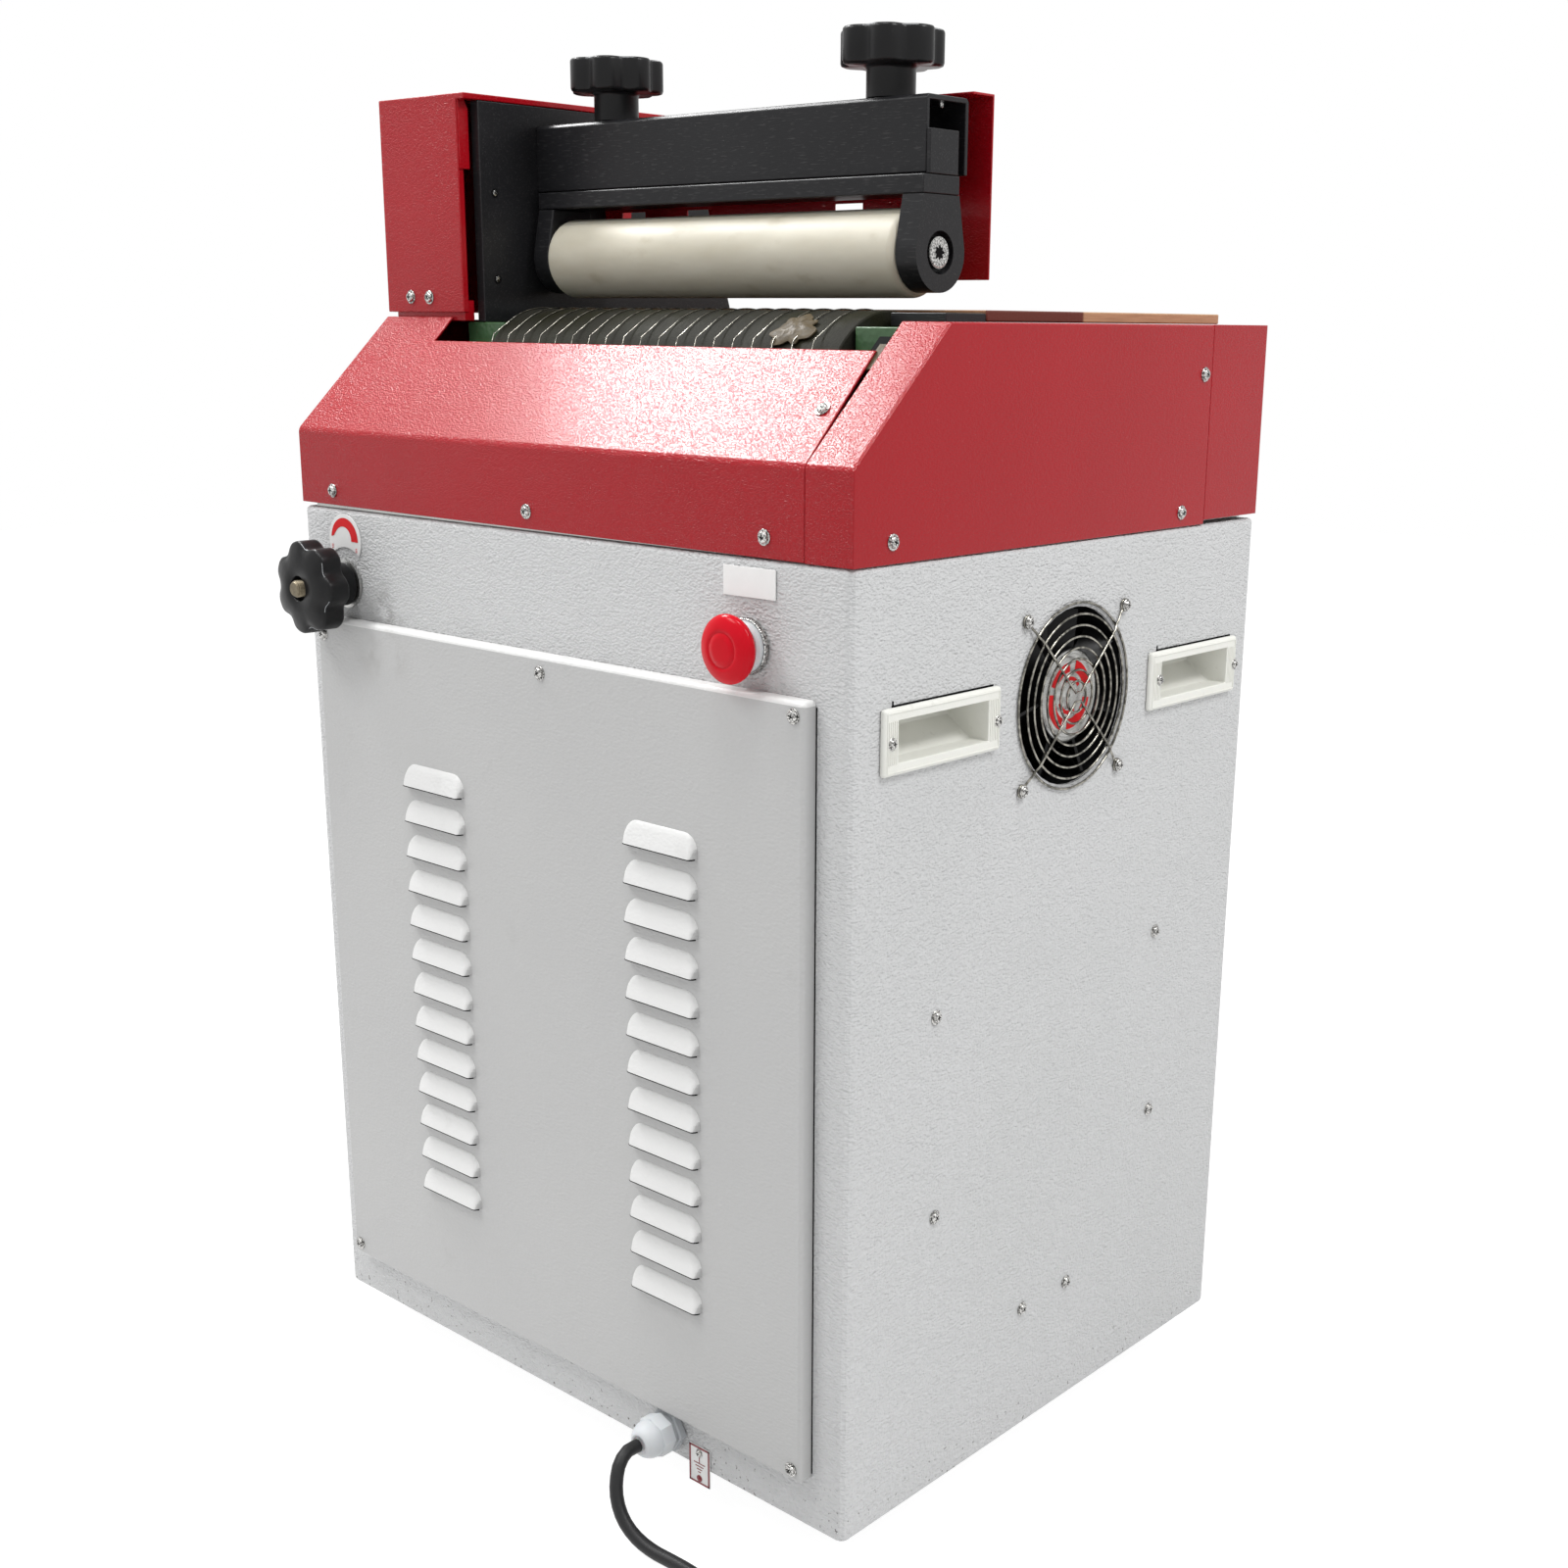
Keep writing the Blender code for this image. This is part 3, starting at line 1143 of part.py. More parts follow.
def make_tag_and_gland(machine, white, plastic):
    tag = bmesh.new()
    add_box(
        tag,
        (TAG_X - TAG_WIDTH / 2.0, -CLEAR - PLATE_THICKNESS, TAG_BOTTOM_Z),
        (TAG_X + TAG_WIDTH / 2.0, -CLEAR, TAG_TOP_Z),
    )
    machine.piece("earth_tag", tag, white)

    centre = (GLAND_X, GLAND_Z)
    nut_start = -CLEAR - GLAND_LOCKNUT_DEPTH
    hex_start = nut_start - GLAND_HEX_DEPTH
    dome_end = hex_start - GLAND_DOME_DEPTH
    across_flats = GLAND_HEX_RADIUS * math.cos(math.pi / 6.0)
    locknut = bmesh.new()
    add_turned(locknut, "Y", centre, [(nut_start, GLAND_LOCKNUT_RADIUS), (-CLEAR, GLAND_LOCKNUT_RADIUS)], 6)
    gland = machine.piece("cord_gland", locknut, plastic, smooth=True)
    body = bmesh.new()
    profile = [(GLAND_BARREL_DEPTH, GLAND_BARREL_RADIUS), (-OVERRUN, GLAND_BARREL_RADIUS)]
    profile.append((-OVERRUN, across_flats))
    for along_share, radius_share in GLAND_DOME_SHARES:
        profile.append((hex_start - GLAND_DOME_DEPTH * along_share, across_flats * radius_share))
    profile.append((dome_end, GLAND_MOUTH_RADIUS))
    add_turned(body, "Y", centre, profile, MEDIUM_ROUND_STEPS)
    machine.join(gland, body)
    nut = bmesh.new()
    profile = [(hex_start, GLAND_HEX_RADIUS), (nut_start + OVERRUN / 2.0, GLAND_HEX_RADIUS)]
    add_turned(nut, "Y", centre, profile, 6, math.pi / 6.0)
    machine.join(gland, nut)


def smooth_route(points, step):
    """Points about a step apart on a smooth curve through the route's own points."""
    ends = [2.0 * np.array(points[0]) - np.array(points[1])]
    ends += [np.array(point) for point in points]
    ends.append(2.0 * ends[-1] - ends[-2])
    fine = []
    for a, b, c, d in zip(ends, ends[1:], ends[2:], ends[3:]):
        for share in np.linspace(0.0, 1.0, 12, endpoint=False):
            fine.append(
                0.5
                * (
                    2.0 * b
                    + (c - a) * share
                    + (2.0 * a - 5.0 * b + 4.0 * c - d) * share ** 2
                    + (3.0 * b - a - 3.0 * c + d) * share ** 3
                )
            )
    fine.append(ends[-2])
    fine = np.array(fine)
    along = np.concatenate(([0.0], np.cumsum(np.linalg.norm(np.diff(fine, axis=0), axis=1))))
    count = max(2, round(along[-1] / step))
    wanted = np.linspace(0.0, along[-1], count + 1)
    return np.array([np.interp(wanted, along, fine[:, axis]) for axis in range(3)]).T


def cord_curve(machine, name, points, resolution, material):
    curve = bpy.data.curves.new(name, "CURVE")
    curve.dimensions = "3D"
    curve.bevel_depth = CORD_DIAMETER / 2.0
    curve.bevel_resolution = resolution
    curve.use_fill_caps = True
    spline = curve.splines.new("POLY")
    spline.points.add(len(points) - 1)
    for target, point in zip(spline.points, points):
        target.co = (*point, 1.0)
    curve.materials.append(material)
    made = bpy.data.objects.new(name, curve)
    made.parent = machine.root
    bpy.context.scene.collection.objects.link(made)
    return made


def coil_points():
    """The coil: it spirals in on the floor, climbs where the spiral turns back, and spirals out on top."""
    end = Vector(CORD_ROUTE[-1])
    swing = COIL_PITCH * COIL_TURNS_PER_LAYER
    outer = COIL_MEAN_RADIUS + swing / 2.0
    centre = Vector((end.x - outer, end.y - CORD_DIAMETER, end.z))
    points = [(end.x, end.y - CLEAR, end.z)]
    turns = COIL_TURNS_PER_LAYER * COIL_LAYERS
    halfway = COIL_TURNS_PER_LAYER
    climb_start = halfway - COIL_CLIMB_TURNS / 2.0
    for index in range(turns * COIL_POINTS_PER_TURN + 1):
        turned = index / COIL_POINTS_PER_TURN
        radius = outer - swing + COIL_PITCH * abs(turned - halfway)
        share = min(max((turned - climb_start) / COIL_CLIMB_TURNS, 0.0), 1.0)
        lift = COIL_PITCH * (0.5 - 0.5 * math.cos(math.pi * share))
        angle = -2.0 * math.pi * turned
        points.append(
            (centre.x + radius * math.cos(angle), centre.y + radius * math.sin(angle), centre.z + lift)
        )
    return points


def least_gap(points):
    """The least clear distance between turns that aren't neighbours along the tube."""
    path = np.array(points)
    skip = round(COIL_POINTS_PER_TURN / 2)
    least = math.inf
    for index in range(len(path) - skip):
        away = np.linalg.norm(path[index + skip:] - path[index], axis=1)
        least = min(least, float(away.min()))
    return least - CORD_DIAMETER


def make_cord(machine, rubber):
    hanging = smooth_route(CORD_ROUTE[1:], CORD_STEP_DIAMETERS * CORD_DIAMETER)
    cord_curve(machine, "mains_cord", np.vstack((CORD_ROUTE[0], hanging)), 2, rubber)
    points = coil_points()
    ahead = Vector((0.0, -1.0, 0.0))
    tail = Vector(points[-1]) + ahead * COIL_TAIL
    points.append(tuple(tail))
    print(f"coil: least gap between turns {least_gap(points) * 1000.0:.2f} mm")
    cord_curve(machine, "cord_coil", points, 1, rubber)

    turn = Matrix.Rotation(math.atan2(ahead.y, ahead.x), 4, "Z")
    start = tail + ahead * CLEAR
    half_height = start.z + FOOT_HEIGHT
    half_width = PLUG_WIDTH / 2.0
    body = bmesh.new()
    loops = []
    outline = (
        (0.0, PLUG_NECK_RADIUS, PLUG_NECK_RADIUS),
        (PLUG_NECK_LENGTH, PLUG_NECK_RADIUS, PLUG_NECK_RADIUS),
        (PLUG_NECK_LENGTH, half_width - PLUG_EDGE, half_height - PLUG_EDGE),
        (PLUG_NECK_LENGTH + PLUG_EDGE, half_width, half_height),
        (PLUG_NECK_LENGTH + PLUG_LENGTH, half_width, half_height),
    )
    for along, wide, high in outline:
        corner = min(wide, high) / 2.0
        loop = []
        for a, b in rounded_rectangle((-wide, -high), (wide, high), corner):
            loop.append(turn @ Vector((along, a, b)) + start)
        loops.append(loop)
    add_loft(body, loops)
    plug = machine.piece("mains_plug", body, rubber, smooth=True)
    pins = bmesh.new()
    face = PLUG_NECK_LENGTH + PLUG_LENGTH
    for offset, lean, up_share in (
        (-PIN_OFFSET, PIN_SPREAD, PIN_UPPER_SHARE),
        (PIN_OFFSET, -PIN_SPREAD, PIN_UPPER_SHARE),
        (0.0, 0.0, -PIN_LOWER_SHARE),
    ):
        spin = Matrix.Rotation(lean, 4, "X")
        middle = Vector((0.0, offset, half_height * up_share))
        loops = []
        for along in (face - OVERRUN, face + PIN_LENGTH):
            loop = []
            for a, b in ((-1.0, -1.0), (1.0, -1.0), (1.0, 1.0), (-1.0, 1.0)):
                corner = spin @ Vector((0.0, a * PIN_THICKNESS / 2.0, b * PIN_WIDTH / 2.0))
                loop.append(turn @ (corner + middle + Vector((along, 0.0, 0.0))) + start)
            loops.append(loop)
        add_loft(pins, loops)
    machine.join(plug, pins)


def slope_outline(inset, top_y, rear_y, bottom_z):
    """The end view (y, z) of the covers, from the upright to the back, at inset inside the outer face."""
    slope = math.atan2(COVER_TOP_Z - COVER_BEND_Z, COVER_TOP_Y)
    bend_z = COVER_BEND_Z - inset * (1.0 - math.sin(slope)) / math.cos(slope)
    top_start = COVER_TOP_Y + inset * (1.0 - math.cos(slope)) / math.sin(slope)
    return [
        (inset, bottom_z),
        (inset, bend_z),
        (max(top_start, top_y), COVER_TOP_Z - inset),
        (rear_y, COVER_TOP_Z - inset),
        (rear_y, bottom_z),
    ]


def make_side_cover(machine, name, side, front_gap, bottom_z, inner_x, red):
    """A red end cover: side wall, slope and a strip of top, open below, behind and to the middle."""
    rear = COVER_SEAM_Y - CLEAR
    body = bmesh.new()
    outer = slope_outline(front_gap, 0.0, rear, bottom_z)
    ends = sorted((side * inner_x, side * HALF_WIDTH))
    add_prism(body, outer, "X", *ends)
    cover = machine.piece(name, body, red)
    hollow = bmesh.new()
    inner = slope_outline(front_gap + SHEET, 0.0, rear + OVERRUN, bottom_z - OVERRUN)
    ends = sorted((side * (inner_x - OVERRUN), side * (HALF_WIDTH - SHEET)))
    add_prism(hollow, inner, "X", *ends)
    machine.cut(cover, hollow)


def make_covers(machine, red):
    """The bent sheets round the roller: front, both ends and back."""
    outer = slope_outline(0.0, 0.0, COVER_TOP_Y, COVER_BOTTOM_Z)[:3]
    inner = slope_outline(SHEET, 0.0, COVER_TOP_Y, COVER_BOTTOM_Z)[:3]
    lip = (COVER_TOP_Y, COVER_TOP_Z)
    slope = Vector((COVER_TOP_Y, COVER_TOP_Z - COVER_BEND_Z)).normalized()
    normal = Vector((slope.y, -slope.x)) * SHEET
    sheet = outer[:2] + [lip, (lip[0] + normal.x, lip[1] + normal.y)] + list(reversed(inner[:2]))
    body = bmesh.new()
    add_prism(body, sheet, "X", -HALF_WIDTH, COVER_SEAM_X - CLEAR)
    front = machine.piece("front_cover", body, red)
    notch = bmesh.new()
    add_box(
        notch,
        (COVER_NOTCH_LEFT, 0.0, COVER_NOTCH_Z),
        (COVER_SEAM_X + OVERRUN, COVER_TOP_Y + OVERRUN, COVER_TOP_Z + OVERRUN),
    )
    machine.cut(front, notch)
    wedge = bmesh.new()
    low = COVER_BOTTOM_Z - OVERRUN
    edge = [
        (-HALF_WIDTH - OVERRUN, low),
        (COVER_SEAM_X + OVERRUN, low),
        (COVER_SEAM_X + OVERRUN, CABINET_HEIGHT + FRONT_COVER_RIGHT_LIFT),
        (-HALF_WIDTH - OVERRUN, CABINET_HEIGHT + FRONT_COVER_LEFT_LIFT),
    ]
    add_prism(wedge, edge, "Y", -OVERRUN, SHEET + OVERRUN)
    machine.cut(front, wedge)

    left_bottom = CABINET_HEIGHT + REAR_COVER_LIFT
    make_side_cover(machine, "right_cover", 1.0, 0.0, COVER_BOTTOM_Z, COVER_SEAM_X, red)
    make_side_cover(machine, "left_cover", -1.0, SHEET + CLEAR, left_bottom, COVER_SEAM_X, red)

    back = bmesh.new()
    bottom = CABINET_HEIGHT + REAR_COVER_LIFT
    add_box(back, (-HALF_WIDTH, COVER_SEAM_Y, bottom), (HALF_WIDTH, CABINET_DEPTH, COVER_TOP_Z))
    rear = machine.piece("rear_cover", back, red)
    hollow = bmesh.new()
    add_box(
        hollow,
        (-HALF_WIDTH + SHEET, COVER_SEAM_Y - OVERRUN, bottom - OVERRUN),
        (HALF_WIDTH - SHEET, CABINET_DEPTH - SHEET, COVER_TOP_Z - SHEET),
    )
    machine.cut(rear, hollow)


def make_deck(machine, steel):
    """The plate on the cabinet that carries the frames and the trough, slotted for chain and carrier."""
    gap = SHEET + CLEAR
    body = bmesh.new()
    add_box(
        body,
        (-HALF_WIDTH + DECK_INSET, 2.0 * gap, DECK_Z),
        (HALF_WIDTH - DECK_INSET, CABINET_DEPTH - gap, DECK_TOP_Z),
    )
    deck = machine.piece("deck_plate", body, steel)
    slots = bmesh.new()
    reach = chain_radius(ROLLER_SPROCKET_TEETH) + CHAIN_THICKNESS + CHAIN_SLOT_MARGIN
    add_box(
        slots,
        (SPROCKET_X - CHAIN_SLOT_HALF_WIDTH, GLUE_ROLLER_Y - reach, DECK_Z - OVERRUN),
        (SPROCKET_X + CHAIN_SLOT_HALF_WIDTH, MOTOR_Y + reach, DECK_TOP_Z + OVERRUN),
    )
    carrier_front = BLADE_BACK_Y - CARRIER_THICKNESS
    add_box(
        slots,
        (CARRIER_LEFT - BLADE_SLOT_MARGIN, carrier_front - BLADE_SLOT_MARGIN, DECK_Z - OVERRUN),
        (CARRIER_RIGHT + BLADE_SLOT_MARGIN, BLADE_BACK_Y + BLADE_SLOT_MARGIN, DECK_TOP_Z + OVERRUN),
    )
    machine.cut(deck, slots)


def upright_slot(radius):
    """The end view of a slot round the glue roller's axis, open at the trough's top."""
    outline = circle((GLUE_ROLLER_Y, GLUE_ROLLER_Z), radius, ROUND_STEPS, math.pi)[:ROUND_STEPS // 2 + 1]
    outline.append((GLUE_ROLLER_Y + radius, TROUGH_TOP_Z + OVERRUN))
    outline.append((GLUE_ROLLER_Y - radius, TROUGH_TOP_Z + OVERRUN))
    return outline


def make_frames_and_trough(machine, green, dark):
    centre = (GLUE_ROLLER_Y, GLUE_ROLLER_Z)
    for name, left, right in (
        ("side_frame_left", FRAME_LEFT_END - FRAME_LEFT_WIDTH, FRAME_LEFT_END),
        ("side_frame_right", FRAME_RIGHT_START, FRAME_RIGHT_END),
    ):
        block = bmesh.new()
        add_box(
            block, (left, FRAME_FRONT_Y, DECK_TOP_Z + CLEAR), (right, FRAME_REAR_Y, FRAME_TOP_Z)
        )
        frame = machine.piece(name, block, green)
        bore = bmesh.new()
        rod(bore, "X", centre, JOURNAL_RADIUS + JOURNAL_GAP, left - OVERRUN, right + OVERRUN)
        machine.cut(frame, bore)

    left = FRAME_LEFT_END + CLEAR
    right = FRAME_RIGHT_START - CLEAR
    inner_radius = GLUE_ROLLER_RADIUS + TROUGH_GAP
    outer_y = inner_radius + TROUGH_WALL
    floor = GLUE_ROLLER_Z - inner_radius - TROUGH_FLOOR
    body = bmesh.new()
    outline = [(GLUE_ROLLER_Y - outer_y, TROUGH_TOP_Z), (GLUE_ROLLER_Y + outer_y, TROUGH_TOP_Z)]
    lower = GLUE_ROLLER_Z - inner_radius * TROUGH_BEND_SHARE
    inset = inner_radius * TROUGH_INSET_SHARE
    outline += [
        (GLUE_ROLLER_Y + outer_y, lower),
        (GLUE_ROLLER_Y + outer_y - inset, floor),
        (GLUE_ROLLER_Y - outer_y + inset, floor),
        (GLUE_ROLLER_Y - outer_y, lower),
    ]
    add_prism(body, outline, "X", left, right)
    trough = machine.piece("glue_trough", body, dark)

    hollow = bmesh.new()
    wall_left = GLUE_ROLLER_LEFT - TROUGH_END_GAP
    wall_right = GLUE_ROLLER_RIGHT + TROUGH_END_GAP
    add_prism(hollow, upright_slot(inner_radius), "X", wall_left, wall_right)
    machine.cut(trough, hollow)
    notches = bmesh.new()
    add_prism(notches, upright_slot(JOURNAL_RADIUS + JOURNAL_GAP), "X", left - OVERRUN, right + OVERRUN)
    machine.cut(trough, notches)
    feet = bmesh.new()
    foot_bottom = DECK_TOP_Z + CLEAR
    for x in (left + TROUGH_WALL, right - TROUGH_WALL - TROUGH_END_WALL):
        add_box(
            feet,
            (x, GLUE_ROLLER_Y - inner_radius * TROUGH_BEND_SHARE, foot_bottom),
            (x + TROUGH_END_WALL, GLUE_ROLLER_Y + inner_radius * TROUGH_BEND_SHARE, floor + OVERRUN / 2.0),
        )
    machine.join(trough, feet)


def make_glue_roller(machine, steel):
    profile = [
        (JOURNAL_LEFT, JOURNAL_RADIUS),
        (GLUE_ROLLER_LEFT, JOURNAL_RADIUS),
        (GLUE_ROLLER_LEFT, GLUE_ROLLER_RADIUS - GLUE_ROLLER_EDGE),
        (GLUE_ROLLER_LEFT + GLUE_ROLLER_EDGE, GLUE_ROLLER_RADIUS),
        (GLUE_ROLLER_RIGHT - GLUE_ROLLER_EDGE, GLUE_ROLLER_RADIUS),
        (GLUE_ROLLER_RIGHT, GLUE_ROLLER_RADIUS - GLUE_ROLLER_EDGE),
        (GLUE_ROLLER_RIGHT, JOURNAL_RADIUS),
        (JOURNAL_RIGHT, JOURNAL_RADIUS),
    ]
    body = bmesh.new()
    add_turned(body, "X", (GLUE_ROLLER_Y, GLUE_ROLLER_Z), profile, ROLLER_STEPS)
    origin = (GLUE_ROLLER_LEFT, GLUE_ROLLER_Y, GLUE_ROLLER_Z)
    machine.piece("glue_roller", body, steel, origin=origin, smooth=True)


def wire_path(x):
    """One wire: up from the front rail, over the roller a hair above it, and down to the rear rail."""
    ride = GLUE_ROLLER_RADIUS / math.cos(math.pi / ROLLER_STEPS) + CLEAR + WIRE_RADIUS
    dy = GLUE_ROLLER_Y - WIRE_KINK_Y
    dz = GLUE_ROLLER_Z - WIRE_KINK_Z
    reach = math.hypot(dy, dz)
    front_angle = math.atan2(dz, dy) + math.asin(ride / reach)
    ry = COMB_REAR_RAIL_Y - GLUE_ROLLER_Y
    rz = COMB_REAR_RAIL_Z - GLUE_ROLLER_Z
    rear_angle = math.atan2(ry, rz) - math.acos(ride / math.hypot(ry, rz))
    points = [
        (x, COMB_FRONT_RAIL_Y, TROUGH_TOP_Z + CLEAR + COMB_RAIL_HEIGHT / 2.0),
        (x, WIRE_FOOT_Y, WIRE_FOOT_Z),
        (x, WIRE_KINK_Y, WIRE_KINK_Z),
    ]
    for index in range(WIRE_ARC_STEPS + 1):
        angle = -front_angle + (front_angle + rear_angle) * index / WIRE_ARC_STEPS
        points.append((x, GLUE_ROLLER_Y + ride * math.sin(angle), GLUE_ROLLER_Z + ride * math.cos(angle)))
    points.append((x, COMB_REAR_RAIL_Y, COMB_REAR_RAIL_Z))
    return points


def make_wire_comb(machine, steel):
    left = FRAME_LEFT_END + CLEAR
    right = FRAME_RIGHT_START - CLEAR
    half = COMB_RAIL_WIDTH / 2.0
    tall = COMB_RAIL_HEIGHT / 2.0
    rails = bmesh.new()
    front_z = TROUGH_TOP_Z + CLEAR + tall
    for y, z, wide in ((COMB_FRONT_RAIL_Y, front_z, half / 2.0), (COMB_REAR_RAIL_Y, COMB_REAR_RAIL_Z, half)):
        add_box(rails, (left, y - wide, z - tall), (right, y + wide, z + tall))
    comb = machine.piece("wire_comb", rails, steel)
    wires = bmesh.new()
    for index in range(WIRE_COUNT):
        add_tube(wires, wire_path(WIRE_FIRST_X + index * WIRE_PITCH), WIRE_RADIUS, WIRE_SIDES)
    machine.join(comb, wires)


def make_doctor_blade(machine, steel):
    """The blade behind the roller, and its carrier, which goes down through the deck to the nut."""
    reach = GLUE_ROLLER_RADIUS + BLADE_GAP
    drop = BLADE_Z - BLADE_THICKNESS / 2.0 - GLUE_ROLLER_Z
    tip = GLUE_ROLLER_Y + math.sqrt(reach ** 2 - drop ** 2)
    carrier_front = BLADE_BACK_Y - CARRIER_THICKNESS
    half = BLADE_THICKNESS / 2.0
    nut_left = THICKNESS_X - CARRIER_NUT_WIDTH / 2.0
    nut_right = THICKNESS_X + CARRIER_NUT_WIDTH / 2.0
    nut_bottom = THICKNESS_Z - CARRIER_NUT_WIDTH / 2.0
    boxes = [
        (
            (GLUE_ROLLER_LEFT + CLEAR, tip, BLADE_Z - half),
            (GLUE_ROLLER_RIGHT - CLEAR, BLADE_BACK_Y, BLADE_Z + half),
        ),
        ((CARRIER_LEFT, carrier_front, CARRIER_ARM_BOTTOM_Z), (CARRIER_RIGHT, BLADE_BACK_Y, BLADE_Z)),
        (
            (nut_left, carrier_front, CARRIER_ARM_BOTTOM_Z),
            (CARRIER_LEFT + CARRIER_THICKNESS, BLADE_BACK_Y, CARRIER_ARM_TOP_Z),
        ),
        (
            (nut_left, carrier_front, nut_bottom),
            (nut_right, carrier_front + CARRIER_NUT_LENGTH, CARRIER_ARM_TOP_Z),
        ),
    ]
    blade = machine.boxes("doctor_blade", boxes, steel, origin=(0.0, tip, BLADE_Z))
    bore = bmesh.new()
    rod(
        bore,
        "Y",
        (THICKNESS_X, THICKNESS_Z),
        SPINDLE_RADIUS + CLEAR,
        carrier_front - OVERRUN,
        carrier_front + CARRIER_NUT_LENGTH + OVERRUN,
    )
    machine.cut(blade, bore)


def chain_radius(teeth):
    """Where the chain's inner side runs on a sprocket."""
    return CHAIN_PITCH / (2.0 * math.sin(math.pi / teeth))


def sprocket_outline(centre, teeth):
    points = []
    tip = chain_radius(teeth) - CHAIN_RUNNING_GAP
    root = tip - SPROCKET_TOOTH_DEPTH
    for index in range(teeth):
        for share, radius in ((-0.32, root), (-0.14, tip), (0.14, tip), (0.32, root)):
            angle = 2.0 * math.pi * (index + share) / teeth
            points.append((centre[0] + radius * math.cos(angle), centre[1] + radius * math.sin(angle)))
    return points


def belt_outline(grow):
    """The line of the chain round both sprockets, seen from the end."""
    upper = Vector((GLUE_ROLLER_Y, GLUE_ROLLER_Z))
    lower = Vector((MOTOR_Y, MOTOR_Z))
    upper_radius = chain_radius(ROLLER_SPROCKET_TEETH) + grow
    lower_radius = chain_radius(MOTOR_SPROCKET_TEETH) + grow
    along = upper - lower
    heading = math.atan2(along.y, along.x)
    lean = math.acos((upper_radius - lower_radius) / along.length)
    points = []
    turned = math.pi - lean
    for index in range(CHAIN_STEPS + 1):
        angle = heading - turned + 2.0 * turned * index / CHAIN_STEPS
        points.append((upper.x + upper_radius * math.cos(angle), upper.y + upper_radius * math.sin(angle)))
    for index in range(CHAIN_STEPS + 1):
        angle = heading + turned + 2.0 * lean * index / CHAIN_STEPS
        points.append((lower.x + lower_radius * math.cos(angle), lower.y + lower_radius * math.sin(angle)))
    return points


def make_drive(machine, grey, steel, dark):
    half = SPROCKET_WIDTH / 2.0
    start = SPROCKET_X - half
    end = SPROCKET_X + half
    roller_axis = (GLUE_ROLLER_Y, GLUE_ROLLER_Z)
    motor_axis = (MOTOR_Y, MOTOR_Z)

    upper = bmesh.new()
    add_prism(upper, sprocket_outline(roller_axis, ROLLER_SPROCKET_TEETH), "X", start, end)
    wheel = machine.piece("roller_sprocket", upper, steel, origin=(SPROCKET_X, *roller_axis))
    bore = bmesh.new()
    rod(bore, "X", roller_axis, JOURNAL_RADIUS + CLEAR, start - OVERRUN, end + OVERRUN, ROUND_STEPS)
    machine.cut(wheel, bore)

    lower = bmesh.new()
    add_prism(lower, sprocket_outline(motor_axis, MOTOR_SPROCKET_TEETH), "X", start, end)
    pinion = machine.piece("motor_sprocket", lower, steel, origin=(SPROCKET_X, *motor_axis))
    shaft = bmesh.new()
    rod(shaft, "X", motor_axis, MOTOR_SHAFT_RADIUS, start - CLEAR, GEARBOX_LEFT + MOTOR_SHAFT_DEPTH)
    machine.join(pinion, shaft)

    band = bmesh.new()
    add_ring_prism(band, belt_outline(CHAIN_THICKNESS), belt_outline(0.0), "X", start, end)
    machine.piece("drive_chain", band, dark)

    size = GEARBOX_SIZE / 2.0
    gearbox_right = GEARBOX_LEFT + GEARBOX_LENGTH
    case = bmesh.new()
    low = (GEARBOX_LEFT, MOTOR_Y - size, MOTOR_Z - size)
    high = (gearbox_right, MOTOR_Y + size, MOTOR_Z + size)
    add_box(case, low, high)
    motor = machine.piece("gear_motor", case, grey)
    can = bmesh.new()
    can_end = gearbox_right + MOTOR_LENGTH
    rod(can, "X", motor_axis, MOTOR_RADIUS, gearbox_right - OVERRUN, can_end, ROUND_STEPS)
    machine.join(motor, can)
    socket = bmesh.new()
    rod(
        socket,
        "X",
        motor_axis,
        MOTOR_SHAFT_RADIUS + JOURNAL_GAP,
        GEARBOX_LEFT - OVERRUN,
        GEARBOX_LEFT + MOTOR_SHAFT_DEPTH + JOURNAL_GAP,
    )
    machine.cut(motor, socket)

    top = CABINET_HEIGHT
    plate_right = GEARBOX_LEFT - CLEAR
    plate_left = plate_right - BRACKET_THICKNESS
    boxes = [
        ((plate_left, MOTOR_Y - size, MOTOR_Z - size), (plate_right, MOTOR_Y + size, top)),
        ((plate_left, MOTOR_Y - size, top - BRACKET_THICKNESS), (gearbox_right, MOTOR_Y + size, top)),
    ]
    bracket = machine.boxes("motor_bracket", boxes, steel)
    way = bmesh.new()
    rod(way, "X", motor_axis, BRACKET_HOLE_RADIUS, plate_left - OVERRUN, plate_right + OVERRUN)
    machine.cut(bracket, way)


